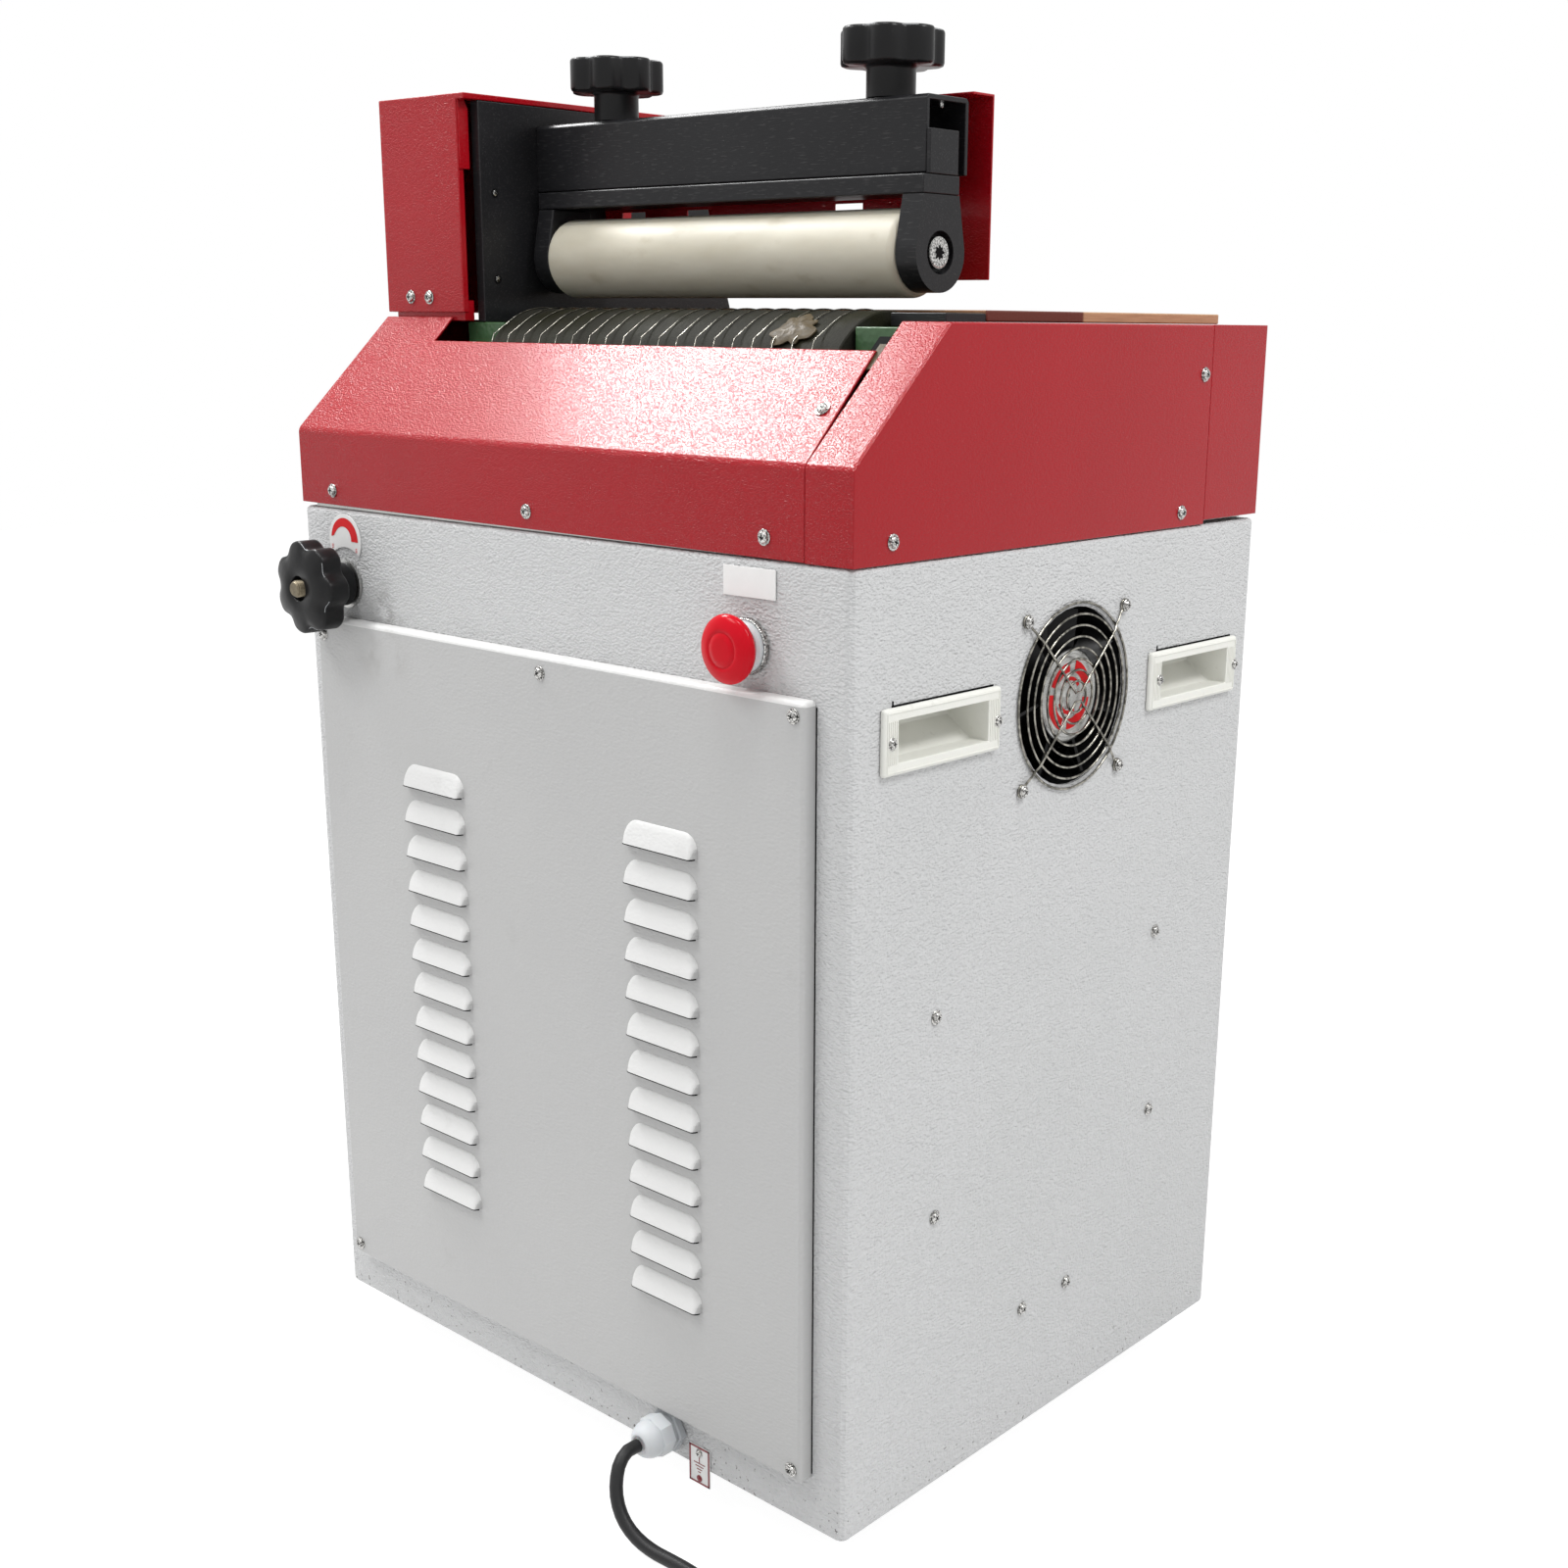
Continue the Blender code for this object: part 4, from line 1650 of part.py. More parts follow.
def make_column(machine, red, black):
    """The black side plate on the left frame, and the red cover over what is left of it."""
    plate = bmesh.new()
    bottom = FRAME_TOP_Z + CLEAR
    outline = [
        (SIDE_PLATE_FRONT_Y, bottom),
        (SIDE_PLATE_REAR_Y - SIDE_PLATE_CHAMFER, bottom),
        (SIDE_PLATE_REAR_Y, bottom + SIDE_PLATE_CHAMFER),
        (SIDE_PLATE_REAR_Y, SIDE_PLATE_TOP_Z),
        (SIDE_PLATE_FRONT_Y, SIDE_PLATE_TOP_Z),
    ]
    left = SIDE_PLATE_RIGHT - SIDE_PLATE_THICKNESS
    add_prism(plate, outline, "X", left, SIDE_PLATE_RIGHT)
    machine.piece("side_plate", plate, black)

    cover_right = left - COLUMN_GAP_X
    body = bmesh.new()
    add_box(body, (COLUMN_LEFT, COLUMN_FRONT_Y, COLUMN_BOTTOM_Z), (cover_right, COLUMN_REAR_Y, COLUMN_TOP_Z))
    cover = machine.piece("column_cover", body, red)
    hollow = bmesh.new()
    add_box(
        hollow,
        (COLUMN_LEFT + SHEET, COLUMN_FRONT_Y + SHEET, COLUMN_BOTTOM_Z - OVERRUN),
        (cover_right - SHEET, COLUMN_REAR_Y - SHEET, COLUMN_TOP_Z - SHEET),
    )
    machine.cut(cover, hollow)
    side = bmesh.new()
    add_box(
        side,
        (cover_right - SHEET - OVERRUN, COLUMN_FRONT_Y + COLUMN_FLANGE, COLUMN_BOTTOM_Z - OVERRUN),
        (cover_right + OVERRUN, COLUMN_REAR_Y - COLUMN_FLANGE, COLUMN_TOP_Z - SHEET),
    )
    machine.cut(cover, side)
    lip = bmesh.new()
    add_box(
        lip,
        (cover_right - SHEET, COLUMN_FRONT_Y, SIDE_PLATE_TOP_Z + CLEAR),
        (SIDE_PLATE_RIGHT, COLUMN_REAR_Y, COLUMN_TOP_Z),
    )
    machine.join(cover, lip)


def make_arm(machine, black):
    """The channel arm, open downward, on the side plate."""
    rear = ARM_FRONT_Y + ARM_WIDTH
    left = SIDE_PLATE_RIGHT + CLEAR
    outline = [
        (ARM_FRONT_Y, ARM_BOTTOM_Z),
        (ARM_FRONT_Y + ARM_WALL, ARM_BOTTOM_Z),
        (ARM_FRONT_Y + ARM_WALL, ARM_TOP_Z - ARM_WALL),
        (rear - ARM_WALL, ARM_TOP_Z - ARM_WALL),
        (rear - ARM_WALL, ARM_BOTTOM_Z),
        (rear, ARM_BOTTOM_Z),
        (rear, ARM_TOP_Z - ARM_EDGE),
        (rear - ARM_EDGE, ARM_TOP_Z),
        (ARM_FRONT_Y + ARM_EDGE, ARM_TOP_Z),
        (ARM_FRONT_Y, ARM_TOP_Z - ARM_EDGE),
    ]
    body = bmesh.new()
    add_prism(body, outline, "X", left, ARM_RIGHT)
    arm = machine.piece("arm_channel", body, black)
    holes = bmesh.new()
    for x in PRESSURE_KNOB_X:
        rod(
            holes,
            "Z",
            (x, ARM_AXIS_Y),
            PRESSURE_SCREW_RADIUS + JOURNAL_GAP,
            ARM_TOP_Z - ARM_WALL - OVERRUN,
            ARM_TOP_Z + OVERRUN,
        )
    machine.cut(arm, holes)


def make_carriage(machine, black, steel, nylon):
    """The guide in the arm with its end plate, the bar under it, the ears, the fixed axle and the roller."""
    origin = (0.0, PRESS_AXIS_Y, BAR_TOP_Z)
    guide = bmesh.new()
    inside_front = ARM_FRONT_Y + ARM_WALL + GUIDE_SIDE_GAP
    guide_rear = inside_front + GUIDE_WIDTH
    guide_bottom = BAR_TOP_Z + CLEAR
    guide_top = guide_bottom + GUIDE_HEIGHT
    add_box(guide, (EAR_LEFT, inside_front, guide_bottom), (EAR_RIGHT, guide_rear, guide_top))
    block = machine.piece("guide_block", guide, black, origin=origin)
    end_plate = bmesh.new()
    add_box(end_plate, (ARM_RIGHT + CLEAR, ARM_FRONT_Y, guide_bottom), (EAR_RIGHT, guide_rear, guide_top))
    machine.join(block, end_plate)
    holes = bmesh.new()
    screw_end = ARM_TOP_Z + CLEAR - PRESSURE_SCREW_DEPTH
    for x in PRESSURE_KNOB_X:
        rod(
            holes,
            "Z",
            (x, ARM_AXIS_Y),
            PRESSURE_SCREW_RADIUS + CLEAR,
            screw_end - CLEAR,
            guide_top + OVERRUN,
        )
    machine.cut(block, holes)

    bar = bmesh.new()
    bar_rear = BAR_FRONT_Y + BAR_WIDTH
    add_box(bar, (EAR_LEFT, BAR_FRONT_Y, BAR_BOTTOM_Z), (EAR_RIGHT, bar_rear, BAR_TOP_Z))
    machine.piece("pressure_bar", bar, black, origin=origin)

    centre = (PRESS_AXIS_Y, PRESS_AXIS_Z)
    ear_top = BAR_BOTTOM_Z - CLEAR
    half = BAR_WIDTH / 2.0
    rise = ear_top - PRESS_AXIS_Z
    touch = math.atan2(rise, -half) + math.acos(EAR_RADIUS / math.hypot(half, rise))
    sweep = 3.0 * math.pi - 2.0 * touch
    outline = [(PRESS_AXIS_Y - half, ear_top)]
    for index in range(EAR_STEPS + 1):
        angle = touch + sweep * index / EAR_STEPS
        across = EAR_RADIUS * math.cos(angle)
        outline.append((PRESS_AXIS_Y + across, PRESS_AXIS_Z + EAR_RADIUS * math.sin(angle)))
    outline.append((PRESS_AXIS_Y + half, ear_top))
    sunk = AXLE_HEAD_SINK + AXLE_HEAD_DEPTH + CLEAR
    for name, left, right, outer_face, inward in (
        ("ear_left", EAR_LEFT, EAR_LEFT_INNER, EAR_LEFT, 1.0),
        ("ear_right", EAR_RIGHT_INNER, EAR_RIGHT, EAR_RIGHT, -1.0),
    ):
        body = bmesh.new()
        add_prism(body, outline, "X", left, right)
        ear = machine.piece(name, body, black, origin=(left, *centre), smooth=True)
        bore = bmesh.new()
        rod(bore, "X", centre, AXLE_RADIUS + CLEAR, left - OVERRUN, right + OVERRUN)
        machine.cut(ear, bore)
        sink = bmesh.new()
        mouth = outer_face - inward * OVERRUN
        seat = outer_face + inward * sunk
        rod(sink, "X", centre, AXLE_COUNTERBORE_RADIUS, mouth, seat, MEDIUM_ROUND_STEPS)
        machine.cut(ear, sink)

    axle = bmesh.new()
    left_face = EAR_LEFT + AXLE_HEAD_SINK
    right_face = EAR_RIGHT - AXLE_HEAD_SINK
    profile = [
        (left_face, AXLE_HEAD_RADIUS),
        (left_face + AXLE_HEAD_DEPTH, AXLE_HEAD_RADIUS),
        (left_face + AXLE_HEAD_DEPTH, AXLE_RADIUS),
        (right_face - AXLE_HEAD_DEPTH, AXLE_RADIUS),
        (right_face - AXLE_HEAD_DEPTH, AXLE_HEAD_RADIUS),
        (right_face, AXLE_HEAD_RADIUS),
    ]
    add_turned(axle, "X", centre, profile, SMALL_ROUND_STEPS)
    machine.piece("press_axle", axle, steel, origin=(left_face, *centre), smooth=True)

    left = EAR_LEFT_INNER + PRESS_ROLLER_GAP
    right = EAR_RIGHT_INNER - PRESS_ROLLER_GAP
    roller = bmesh.new()
    profile = [
        (left, AXLE_RADIUS + CLEAR),
        (left, PRESS_ROLLER_RADIUS - PRESS_ROLLER_EDGE),
        (left + PRESS_ROLLER_EDGE, PRESS_ROLLER_RADIUS),
        (right - PRESS_ROLLER_EDGE, PRESS_ROLLER_RADIUS),
        (right, PRESS_ROLLER_RADIUS - PRESS_ROLLER_EDGE),
        (right, AXLE_RADIUS + CLEAR),
    ]
    add_turned(roller, "X", centre, profile, 40, ring=True)
    machine.piece("press_roller", roller, nylon, origin=(left, *centre), smooth=True)


def make_pressure_knobs(machine, black, steel):
    seat = ARM_TOP_Z + CLEAR
    head = (PRESSURE_HEAD_RADIUS, PRESSURE_HEAD_HEIGHT)
    sizes = (PRESSURE_HUB_RADIUS, PRESSURE_HUB_HEIGHT, *head, 0.0, 0.0, 0.0)
    bore = (PRESSURE_SCREW_RADIUS + CLEAR, PRESSURE_BORE_DEPTH)
    for side, x in zip(PRESSURE_KNOB_NAMES, PRESSURE_KNOB_X):
        centre = (x, ARM_AXIS_Y)
        origin = (x, ARM_AXIS_Y, seat)
        make_knob(machine, f"pressure_knob_{side}", "Z", centre, seat, 1.0, sizes, bore, black, origin)
        screw = bmesh.new()
        rod(
            screw,
            "Z",
            centre,
            PRESSURE_SCREW_RADIUS,
            seat - PRESSURE_SCREW_DEPTH,
            seat + PRESSURE_BORE_DEPTH - CLEAR,
        )
        machine.piece(f"pressure_screw_{side}", screw, steel, origin=origin, smooth=True)


def make_rear_guard(machine, red):
    """The red sheet behind the arm, with its top bent forward, three slots and a tab on the side plate."""
    left = SIDE_PLATE_RIGHT + CLEAR
    rear = GUARD_SHEET_Y + SHEET
    body = bmesh.new()
    outline = [
        (GUARD_SHEET_Y, GUARD_BOTTOM_Z),
        (rear, GUARD_BOTTOM_Z),
        (rear, GUARD_TOP_Z),
        (rear - GUARD_FLANGE, GUARD_TOP_Z),
        (rear - GUARD_FLANGE, GUARD_TOP_Z - SHEET),
        (GUARD_SHEET_Y, GUARD_TOP_Z - SHEET),
    ]
    add_prism(body, outline, "X", left, GUARD_RIGHT)
    guard = machine.piece("rear_guard", body, red)
    tab = bmesh.new()
    add_box(
        tab,
        (left, GUARD_SHEET_Y, GUARD_BOTTOM_Z + GUARD_TAB_INSET),
        (left + SHEET, GUARD_SHEET_Y + GUARD_TAB_DEPTH, GUARD_TOP_Z - GUARD_TAB_INSET),
    )
    machine.join(guard, tab)
    slots = bmesh.new()
    for share in GUARD_SLOT_SHARES:
        x = left + share * (GUARD_RIGHT - left)
        add_box(
            slots,
            (x - GUARD_SLOT_LENGTH / 2.0, GUARD_SHEET_Y - OVERRUN, GUARD_SLOT_Z - GUARD_SLOT_HEIGHT / 2.0),
            (x + GUARD_SLOT_LENGTH / 2.0, rear + OVERRUN, GUARD_SLOT_Z + GUARD_SLOT_HEIGHT / 2.0),
        )
    machine.cut(guard, slots)


def make_table(machine, board, black):
    bottom = COVER_TOP_Z + CLEAR
    top = bmesh.new()
    add_box(
        top,
        (SIDE_PLATE_RIGHT + TABLE_LEFT_GAP, TABLE_FRONT_Y, bottom),
        (COVER_SEAM_X, TABLE_REAR_Y, bottom + TABLE_THICKNESS),
    )
    machine.piece("table_board", top, board)
    rail = bmesh.new()
    rail_bottom = FRAME_TOP_Z + CLEAR
    add_box(
        rail,
        (RAIL_LEFT, RAIL_FRONT_Y, rail_bottom),
        (FRAME_RIGHT_END, TABLE_FRONT_Y - CLEAR, rail_bottom + RAIL_THICKNESS),
    )
    machine.piece("side_rail", rail, black)


def make_control_panel(machine, grey, black):
    front = CABINET_DEPTH + CLEAR
    half = PANEL_WIDTH / 2.0
    size = DISPLAY_SIZE / 2.0
    inner = DISPLAY_BODY / 2.0
    boxes = [
        ((-half, front, PANEL_BOTTOM_Z), (half, PANEL_REAR_Y, PANEL_TOP_Z)),
        (
            (-size, front + CLEAR, DISPLAY_Z - size),
            (size, PANEL_REAR_Y + DISPLAY_PROUD, DISPLAY_Z + size),
        ),
        (
            (-inner, front - DISPLAY_DEPTH, DISPLAY_Z - inner),
            (inner, PANEL_REAR_Y - CLEAR, DISPLAY_Z + inner),
        ),
    ]
    panel = machine.boxes("control_panel", boxes, grey)
    holes = bmesh.new()
    for side in (-1.0, 1.0):
        rod(
            holes,
            "Y",
            (side * PANEL_KNOB_X, PANEL_KNOB_Z),
            PANEL_STEM_RADIUS + CLEAR,
            front - OVERRUN,
            PANEL_REAR_Y + OVERRUN,
            SMALL_HOLE_STEPS,
        )
    machine.cut(panel, holes)
    start = PANEL_REAR_Y + CLEAR
    for name, side, radius in (
        ("power_switch", -1.0, POWER_KNOB_RADIUS),
        ("speed_knob", 1.0, SPEED_KNOB_RADIUS),
    ):
        centre = (side * PANEL_KNOB_X, PANEL_KNOB_Z)
        knob = bmesh.new()
        profile = [
            (start - PANEL_STEM_DEPTH, PANEL_STEM_RADIUS),
            (start, PANEL_STEM_RADIUS),
            (start, radius),
            (start + PANEL_KNOB_LENGTH - SMALL_EDGE, radius),
            (start + PANEL_KNOB_LENGTH, radius - SMALL_EDGE),
        ]
        add_turned(knob, "Y", centre, profile, MEDIUM_ROUND_STEPS)
        made = machine.piece(name, knob, black, origin=(centre[0], start, centre[1]), smooth=True)
        pointer = bmesh.new()
        reach = radius * POINTER_REACH_SHARE
        add_box(
            pointer,
            (centre[0] - SMALL_EDGE, start + PANEL_KNOB_LENGTH - SMALL_EDGE / 2.0, centre[1] + reach / 2.0),
            (centre[0] + SMALL_EDGE, start + PANEL_KNOB_LENGTH + OVERRUN, centre[1] + reach),
        )
        machine.cut(made, pointer)


def build():
    clear_scene()
    machine = Machine()
    cabinet_paint = make_material("cabinet_paint", (0.70, 0.71, 0.71), 0.45)
    door_paint = make_material("door_paint", (0.56, 0.56, 0.55), 0.50)
    red_paint = make_material("red_paint", (0.45, 0.015, 0.025), 0.40)
    arm_paint = make_material("arm_paint", (0.013, 0.013, 0.015), 0.40)
    green_paint = make_material("green_paint", (0.045, 0.105, 0.045), 0.45)
    black_plastic = make_material("black_plastic", (0.012, 0.012, 0.013), 0.30)
    grey_plastic = make_material("grey_plastic", (0.55, 0.57, 0.59), 0.40)
    ivory_plastic = make_material("ivory_plastic", (0.80, 0.79, 0.73), 0.35)
    white_plate = make_material("white_plate", (0.80, 0.80, 0.80), 0.50)
    red_plastic = make_material("red_plastic", (0.72, 0.006, 0.03), 0.12)
    nylon = make_material("nylon", (0.62, 0.58, 0.50), 0.35)
    steel = make_material("steel", (0.62, 0.62, 0.60), 0.28, 1.0)
    dark_steel = make_material("dark_steel", (0.10, 0.10, 0.10), 0.45, 1.0)
    brown_board = make_material("brown_board", (0.38, 0.21, 0.12), 0.55)
    cord_rubber = make_material("cord_rubber", (0.012, 0.012, 0.012), 0.45)

    make_cabinet(machine, cabinet_paint, cord_rubber)
    make_door(machine, door_paint)
    make_handles(machine, ivory_plastic)
    make_fan(machine, black_plastic, steel)
    make_button(machine, grey_plastic, red_plastic, white_plate)
    make_thickness_setting(machine, black_plastic, steel, white_plate)
    make_tag_and_gland(machine, white_plate, grey_plastic)
    make_cord(machine, cord_rubber)
    make_covers(machine, red_paint)
    make_deck(machine, steel)
    make_frames_and_trough(machine, green_paint, dark_steel)
    make_glue_roller(machine, dark_steel)
    make_wire_comb(machine, steel)
    make_doctor_blade(machine, steel)
    make_drive(machine, grey_plastic, steel, dark_steel)
    make_column(machine, red_paint, arm_paint)
    make_arm(machine, arm_paint)
    make_carriage(machine, arm_paint, steel, nylon)
    make_pressure_knobs(machine, black_plastic, steel)
    make_rear_guard(machine, red_paint)
    make_table(machine, brown_board, arm_paint)
    make_control_panel(machine, grey_plastic, black_plastic)


build()
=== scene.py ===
"""Looks of a bench machine that coats sheets with hot melt glue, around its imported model.

Lengths are in metres. Shapes are drawn in the cabinet's own frame: X runs across the cabinet from its
middle, Y runs back from its front face and Z runs up from its underside. PLACE moves them into the model's
frame.
"""

import json
from math import acos, asin, atan2, cos, hypot, pi, radians, sin, tan

import bmesh
import bpy
from mathutils import Matrix, Vector

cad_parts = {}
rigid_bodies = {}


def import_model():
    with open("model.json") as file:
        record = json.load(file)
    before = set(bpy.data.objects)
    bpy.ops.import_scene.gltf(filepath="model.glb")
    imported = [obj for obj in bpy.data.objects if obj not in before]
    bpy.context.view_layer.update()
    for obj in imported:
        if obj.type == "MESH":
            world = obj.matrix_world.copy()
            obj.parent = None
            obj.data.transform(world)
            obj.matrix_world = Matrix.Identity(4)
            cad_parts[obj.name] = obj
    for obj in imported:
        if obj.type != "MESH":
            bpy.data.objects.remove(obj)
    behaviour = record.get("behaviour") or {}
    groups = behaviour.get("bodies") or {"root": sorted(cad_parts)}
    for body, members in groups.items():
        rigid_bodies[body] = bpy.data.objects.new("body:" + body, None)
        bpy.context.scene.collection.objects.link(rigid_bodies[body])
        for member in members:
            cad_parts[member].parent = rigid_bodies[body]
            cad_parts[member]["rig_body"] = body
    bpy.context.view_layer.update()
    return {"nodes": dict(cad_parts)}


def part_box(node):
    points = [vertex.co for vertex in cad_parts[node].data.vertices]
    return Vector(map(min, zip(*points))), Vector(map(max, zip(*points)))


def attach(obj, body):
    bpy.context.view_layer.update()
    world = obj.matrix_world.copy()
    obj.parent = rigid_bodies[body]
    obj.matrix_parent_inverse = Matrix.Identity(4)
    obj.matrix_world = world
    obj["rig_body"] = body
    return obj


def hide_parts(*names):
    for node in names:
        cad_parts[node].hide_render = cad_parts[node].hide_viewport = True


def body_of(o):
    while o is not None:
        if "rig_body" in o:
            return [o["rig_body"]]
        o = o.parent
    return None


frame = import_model()

PLACE = Vector((-0.0011, -0.2029, 0.030))

# Camera, in the model's frame: at the photograph's angle
CAMERA_PLACE = (0.9403, -0.9881, 0.7602)
CAMERA_TURN = (74.565, -0.578, 41.420)
CAMERA_LENS = 44.443
CAMERA_SHIFT = (-0.03776, 0.04628)

# Cabinet and door
HALF_WIDTH = 0.2575
CABINET_DEPTH = 0.425
CABINET_HEIGHT = 0.602
RIM_RADIUS = 0.0032
RIM_SIDE = 0.2505
RIM_BAND = 0.0063
DOOR_LEFT = -0.2348
DOOR_RIGHT = 0.2315
DOOR_BOTTOM = 0.0359
DOOR_TOP = 0.5276
DOOR_FRONT = -0.0100
DOOR_BACK = -0.0003
DOOR_EDGE_RADIUS = 0.0030
LOUVRE_COLUMNS = (-0.1065, 0.1150)
LOUVRE_WIDTH = 0.0624
LOUVRE_HEIGHT = 0.0150
LOUVRE_PITCH = 0.0249
LOUVRE_COUNT = 13
LOUVRE_FIRST = 0.1230
LOUVRE_PROUD = 0.0055
LOUVRE_TOP_PROUD = 0.0014
LOUVRE_SHEET = 0.0011
LOUVRE_CORNER = 0.0108
# Radius of the black rod of painted shadow under each louvre's lip.
LOUVRE_LIP_SHADOW_RADIUS = 0.00048
LOUVRE_LEVELS = ((0.0, 0.0), (0.0004, 0.36), (0.0011, 0.66), (0.0020, 0.88), (0.0031, 0.98), (0.0042, 1.0))

# Covers
BEND_HEIGHT = 0.655
COVER_TOP = 0.731
SEAM_X = 0.222
COVER_GAP = 0.0062
COLUMN_FACE = -0.1703

# Rollers and wires
GLUE_AXIS = (0.125, 0.680)
GLUE_RADIUS = 0.057
GLUE_ENDS = (-0.1415, 0.1752)
GLUE_JOURNAL_ENDS = (-0.236, 0.219)
GLUE_JOURNAL_RADIUS = 0.015
PRESS_AXIS = (0.1535, 0.7705)
PRESS_RADIUS = 0.0260
PRESS_BORE_RADIUS = 0.0063
PRESS_EDGE = 0.0050
PRESS_ENDS = (-0.1388, 0.1732)
WIRE_COUNT = 19
WIRE_FIRST = -0.1385
WIRE_PITCH = 0.01635
WIRE_RADIUS = 0.00038
WIRE_FOOT = (0.0778, 0.7140)
WIRE_KINK = (0.0800, 0.7199)
WIRE_FRONT_RAIL = (0.0655, 0.7033)
WIRE_REAR_RAIL = (0.176, 0.716)
WIRE_CLEAR = 0.0003
LUMP_PLACE = (0.1320, 38.0)
LUMP_SIZE = (0.0190, 17.0)
LUMP_THICK = 0.0022
LUMP_UNDER = 0.9860

# Cord
CORD_RADIUS = 0.0045
CORD_ROUTE = (
    (0.1059, -0.0306, 0.0203),
    (0.1059, -0.0396, 0.0203),
    (0.1075, -0.0480, 0.0160),
    (0.1110, -0.0545, 0.0055),
    (0.1165, -0.0583, -0.0045),
    (0.1245, -0.0598, -0.0140),
    (0.1355, -0.0595, -0.0210),
    (0.1490, -0.0582, -0.0248),
    (0.1650, -0.0568, -0.0255),
    (0.1820, -0.0565, -0.0255),
    (0.2000, -0.0585, -0.0255),
    (0.2180, -0.0640, -0.0255),
    (0.2350, -0.0740, -0.0255),
    (0.2500, -0.0880, -0.0255),
    (0.2610, -0.1050, -0.0255),
    (0.2680, -0.1230, -0.0255),
    (0.2710, -0.1420, -0.0255),
    (0.2715, -0.1580, -0.0255),
    (0.2715, -0.1680, -0.0255),
)
COIL_PITCH = 0.0096
COIL_OUTER = 0.0495
COIL_TURNS = 6
COIL_STEPS = 24


# Shader values


class Tone:
    """A socket of a material. Arithmetic on it adds Math nodes to that material."""

    def __init__(self, tree, socket):
        self.tree = tree
        self.socket = socket

    def node(self, kind, sockets, output=0, stops=None, **settings):
        """Adds any other node: its settings first, then the values or links of its sockets."""
        node = self.tree.nodes.new(kind)
        for name, value in settings.items():
            setattr(node, name, value)
        if stops:
            ramp = node.color_ramp
            while len(ramp.elements) < len(stops):
                ramp.elements.new(0.5)
            for element, (place, colour) in zip(ramp.elements, stops):
                element.position = place
                element.color = colour
        for name, value in sockets.items():
            if isinstance(value, Tone):
                self.tree.links.new(value.socket, node.inputs[name])
            else:
                node.inputs[name].default_value = value
        return Tone(self.tree, node.outputs[output])

    def math(self, operation, first, second=0.0):
        return self.node("ShaderNodeMath", {0: first, 1: second}, operation=operation)

    def __add__(self, other):
        return self.math("ADD", self, other)

    __radd__ = __add__

    def __sub__(self, other):
        return self.math("SUBTRACT", self, other)

    def __rsub__(self, other):
        return self.math("SUBTRACT", other, self)

    def __mul__(self, other):
        return self.math("MULTIPLY", self, other)

    __rmul__ = __mul__

    def __abs__(self):
        return self.math("ABSOLUTE", self)


def srgb(red, green, blue):
    """A colour as a screen shows it, 0 to 255, made linear for a shader."""
    linear = [((c / 255 + 0.055) / 1.055) ** 2.4 if c > 10 else c / 3294.6 for c in (red, green, blue)]
    return (*linear, 1.0)


def new_finish(name, **fixed):
    """A material, its shader and the place on the surface. Underscores in fixed stand for spaces."""
    material = bpy.data.materials.new(name)
    material.use_nodes = True
    tree = material.node_tree
    shader = tree.nodes["Principled BSDF"]
    for socket, value in fixed.items():
        shader.inputs[socket.replace("_", " ")].default_value = value
    start = Tone(tree, None)
    return material, shader, start.node("ShaderNodeTexCoord", {}, output="Object")


def feed(shader, **tones):
    for socket, tone in tones.items():
        shader.id_data.links.new(tone.socket, shader.inputs[socket.replace("_", " ")])


def scaled(point, factors):
    return point.node("ShaderNodeVectorMath", {0: point, 1: factors}, operation="MULTIPLY")


def part_of(point, axis):
    return point.node("ShaderNodeSeparateXYZ", {0: point}, output=axis)


def noise(point, scale, detail=2.0, roughness=0.5, distortion=0.0):
    sockets = {
        "Vector": point,
        "Scale": scale,
        "Detail": detail,
        "Roughness": roughness,
        "Distortion": distortion,
    }
    return point.node("ShaderNodeTexNoise", sockets, output=0)


def cells(point, scale, smoothness=0.5):
    sockets = {"Vector": point, "Scale": scale, "Smoothness": smoothness}
    return point.node("ShaderNodeTexVoronoi", sockets, output="Distance", feature="SMOOTH_F1")


def rise(value, low, high):
    """0 below low and 1 above high, with a soft step between; falls where low is above high."""
    sockets = {"Value": value, "From Min": low, "From Max": high}
    return value.node("ShaderNodeMapRange", sockets, interpolation_type="SMOOTHSTEP")


def mixed(share, first, second):
    return share.node("ShaderNodeMix", {0: share, 6: first, 7: second}, output=2, data_type="RGBA")


def bumped(height, distance):
    return height.node("ShaderNodeBump", {"Height": height, "Distance": distance, "Strength": 1.0})


def near(point, centre, inner, outer):
    """1 within inner of a place in the cabinet's frame, 0 beyond outer."""
    place = tuple(Vector(centre) + PLACE)
    away = point.node("ShaderNodeVectorMath", {0: point, 1: place}, output="Value", operation="DISTANCE")
    return rise(away, outer, inner)


# Finishes


def leather_grain(point, scale):
    """Height of a wrinkled powder coat: low pebbles, longer across than up, with creases between them."""
    spread = scaled(point, (0.8, 0.8, 1.3))
    wander = noise(spread, scale * 0.7, 2.0, 0.5, 0.4)
    return wander * 1.2 - cells(spread, scale, 0.6)


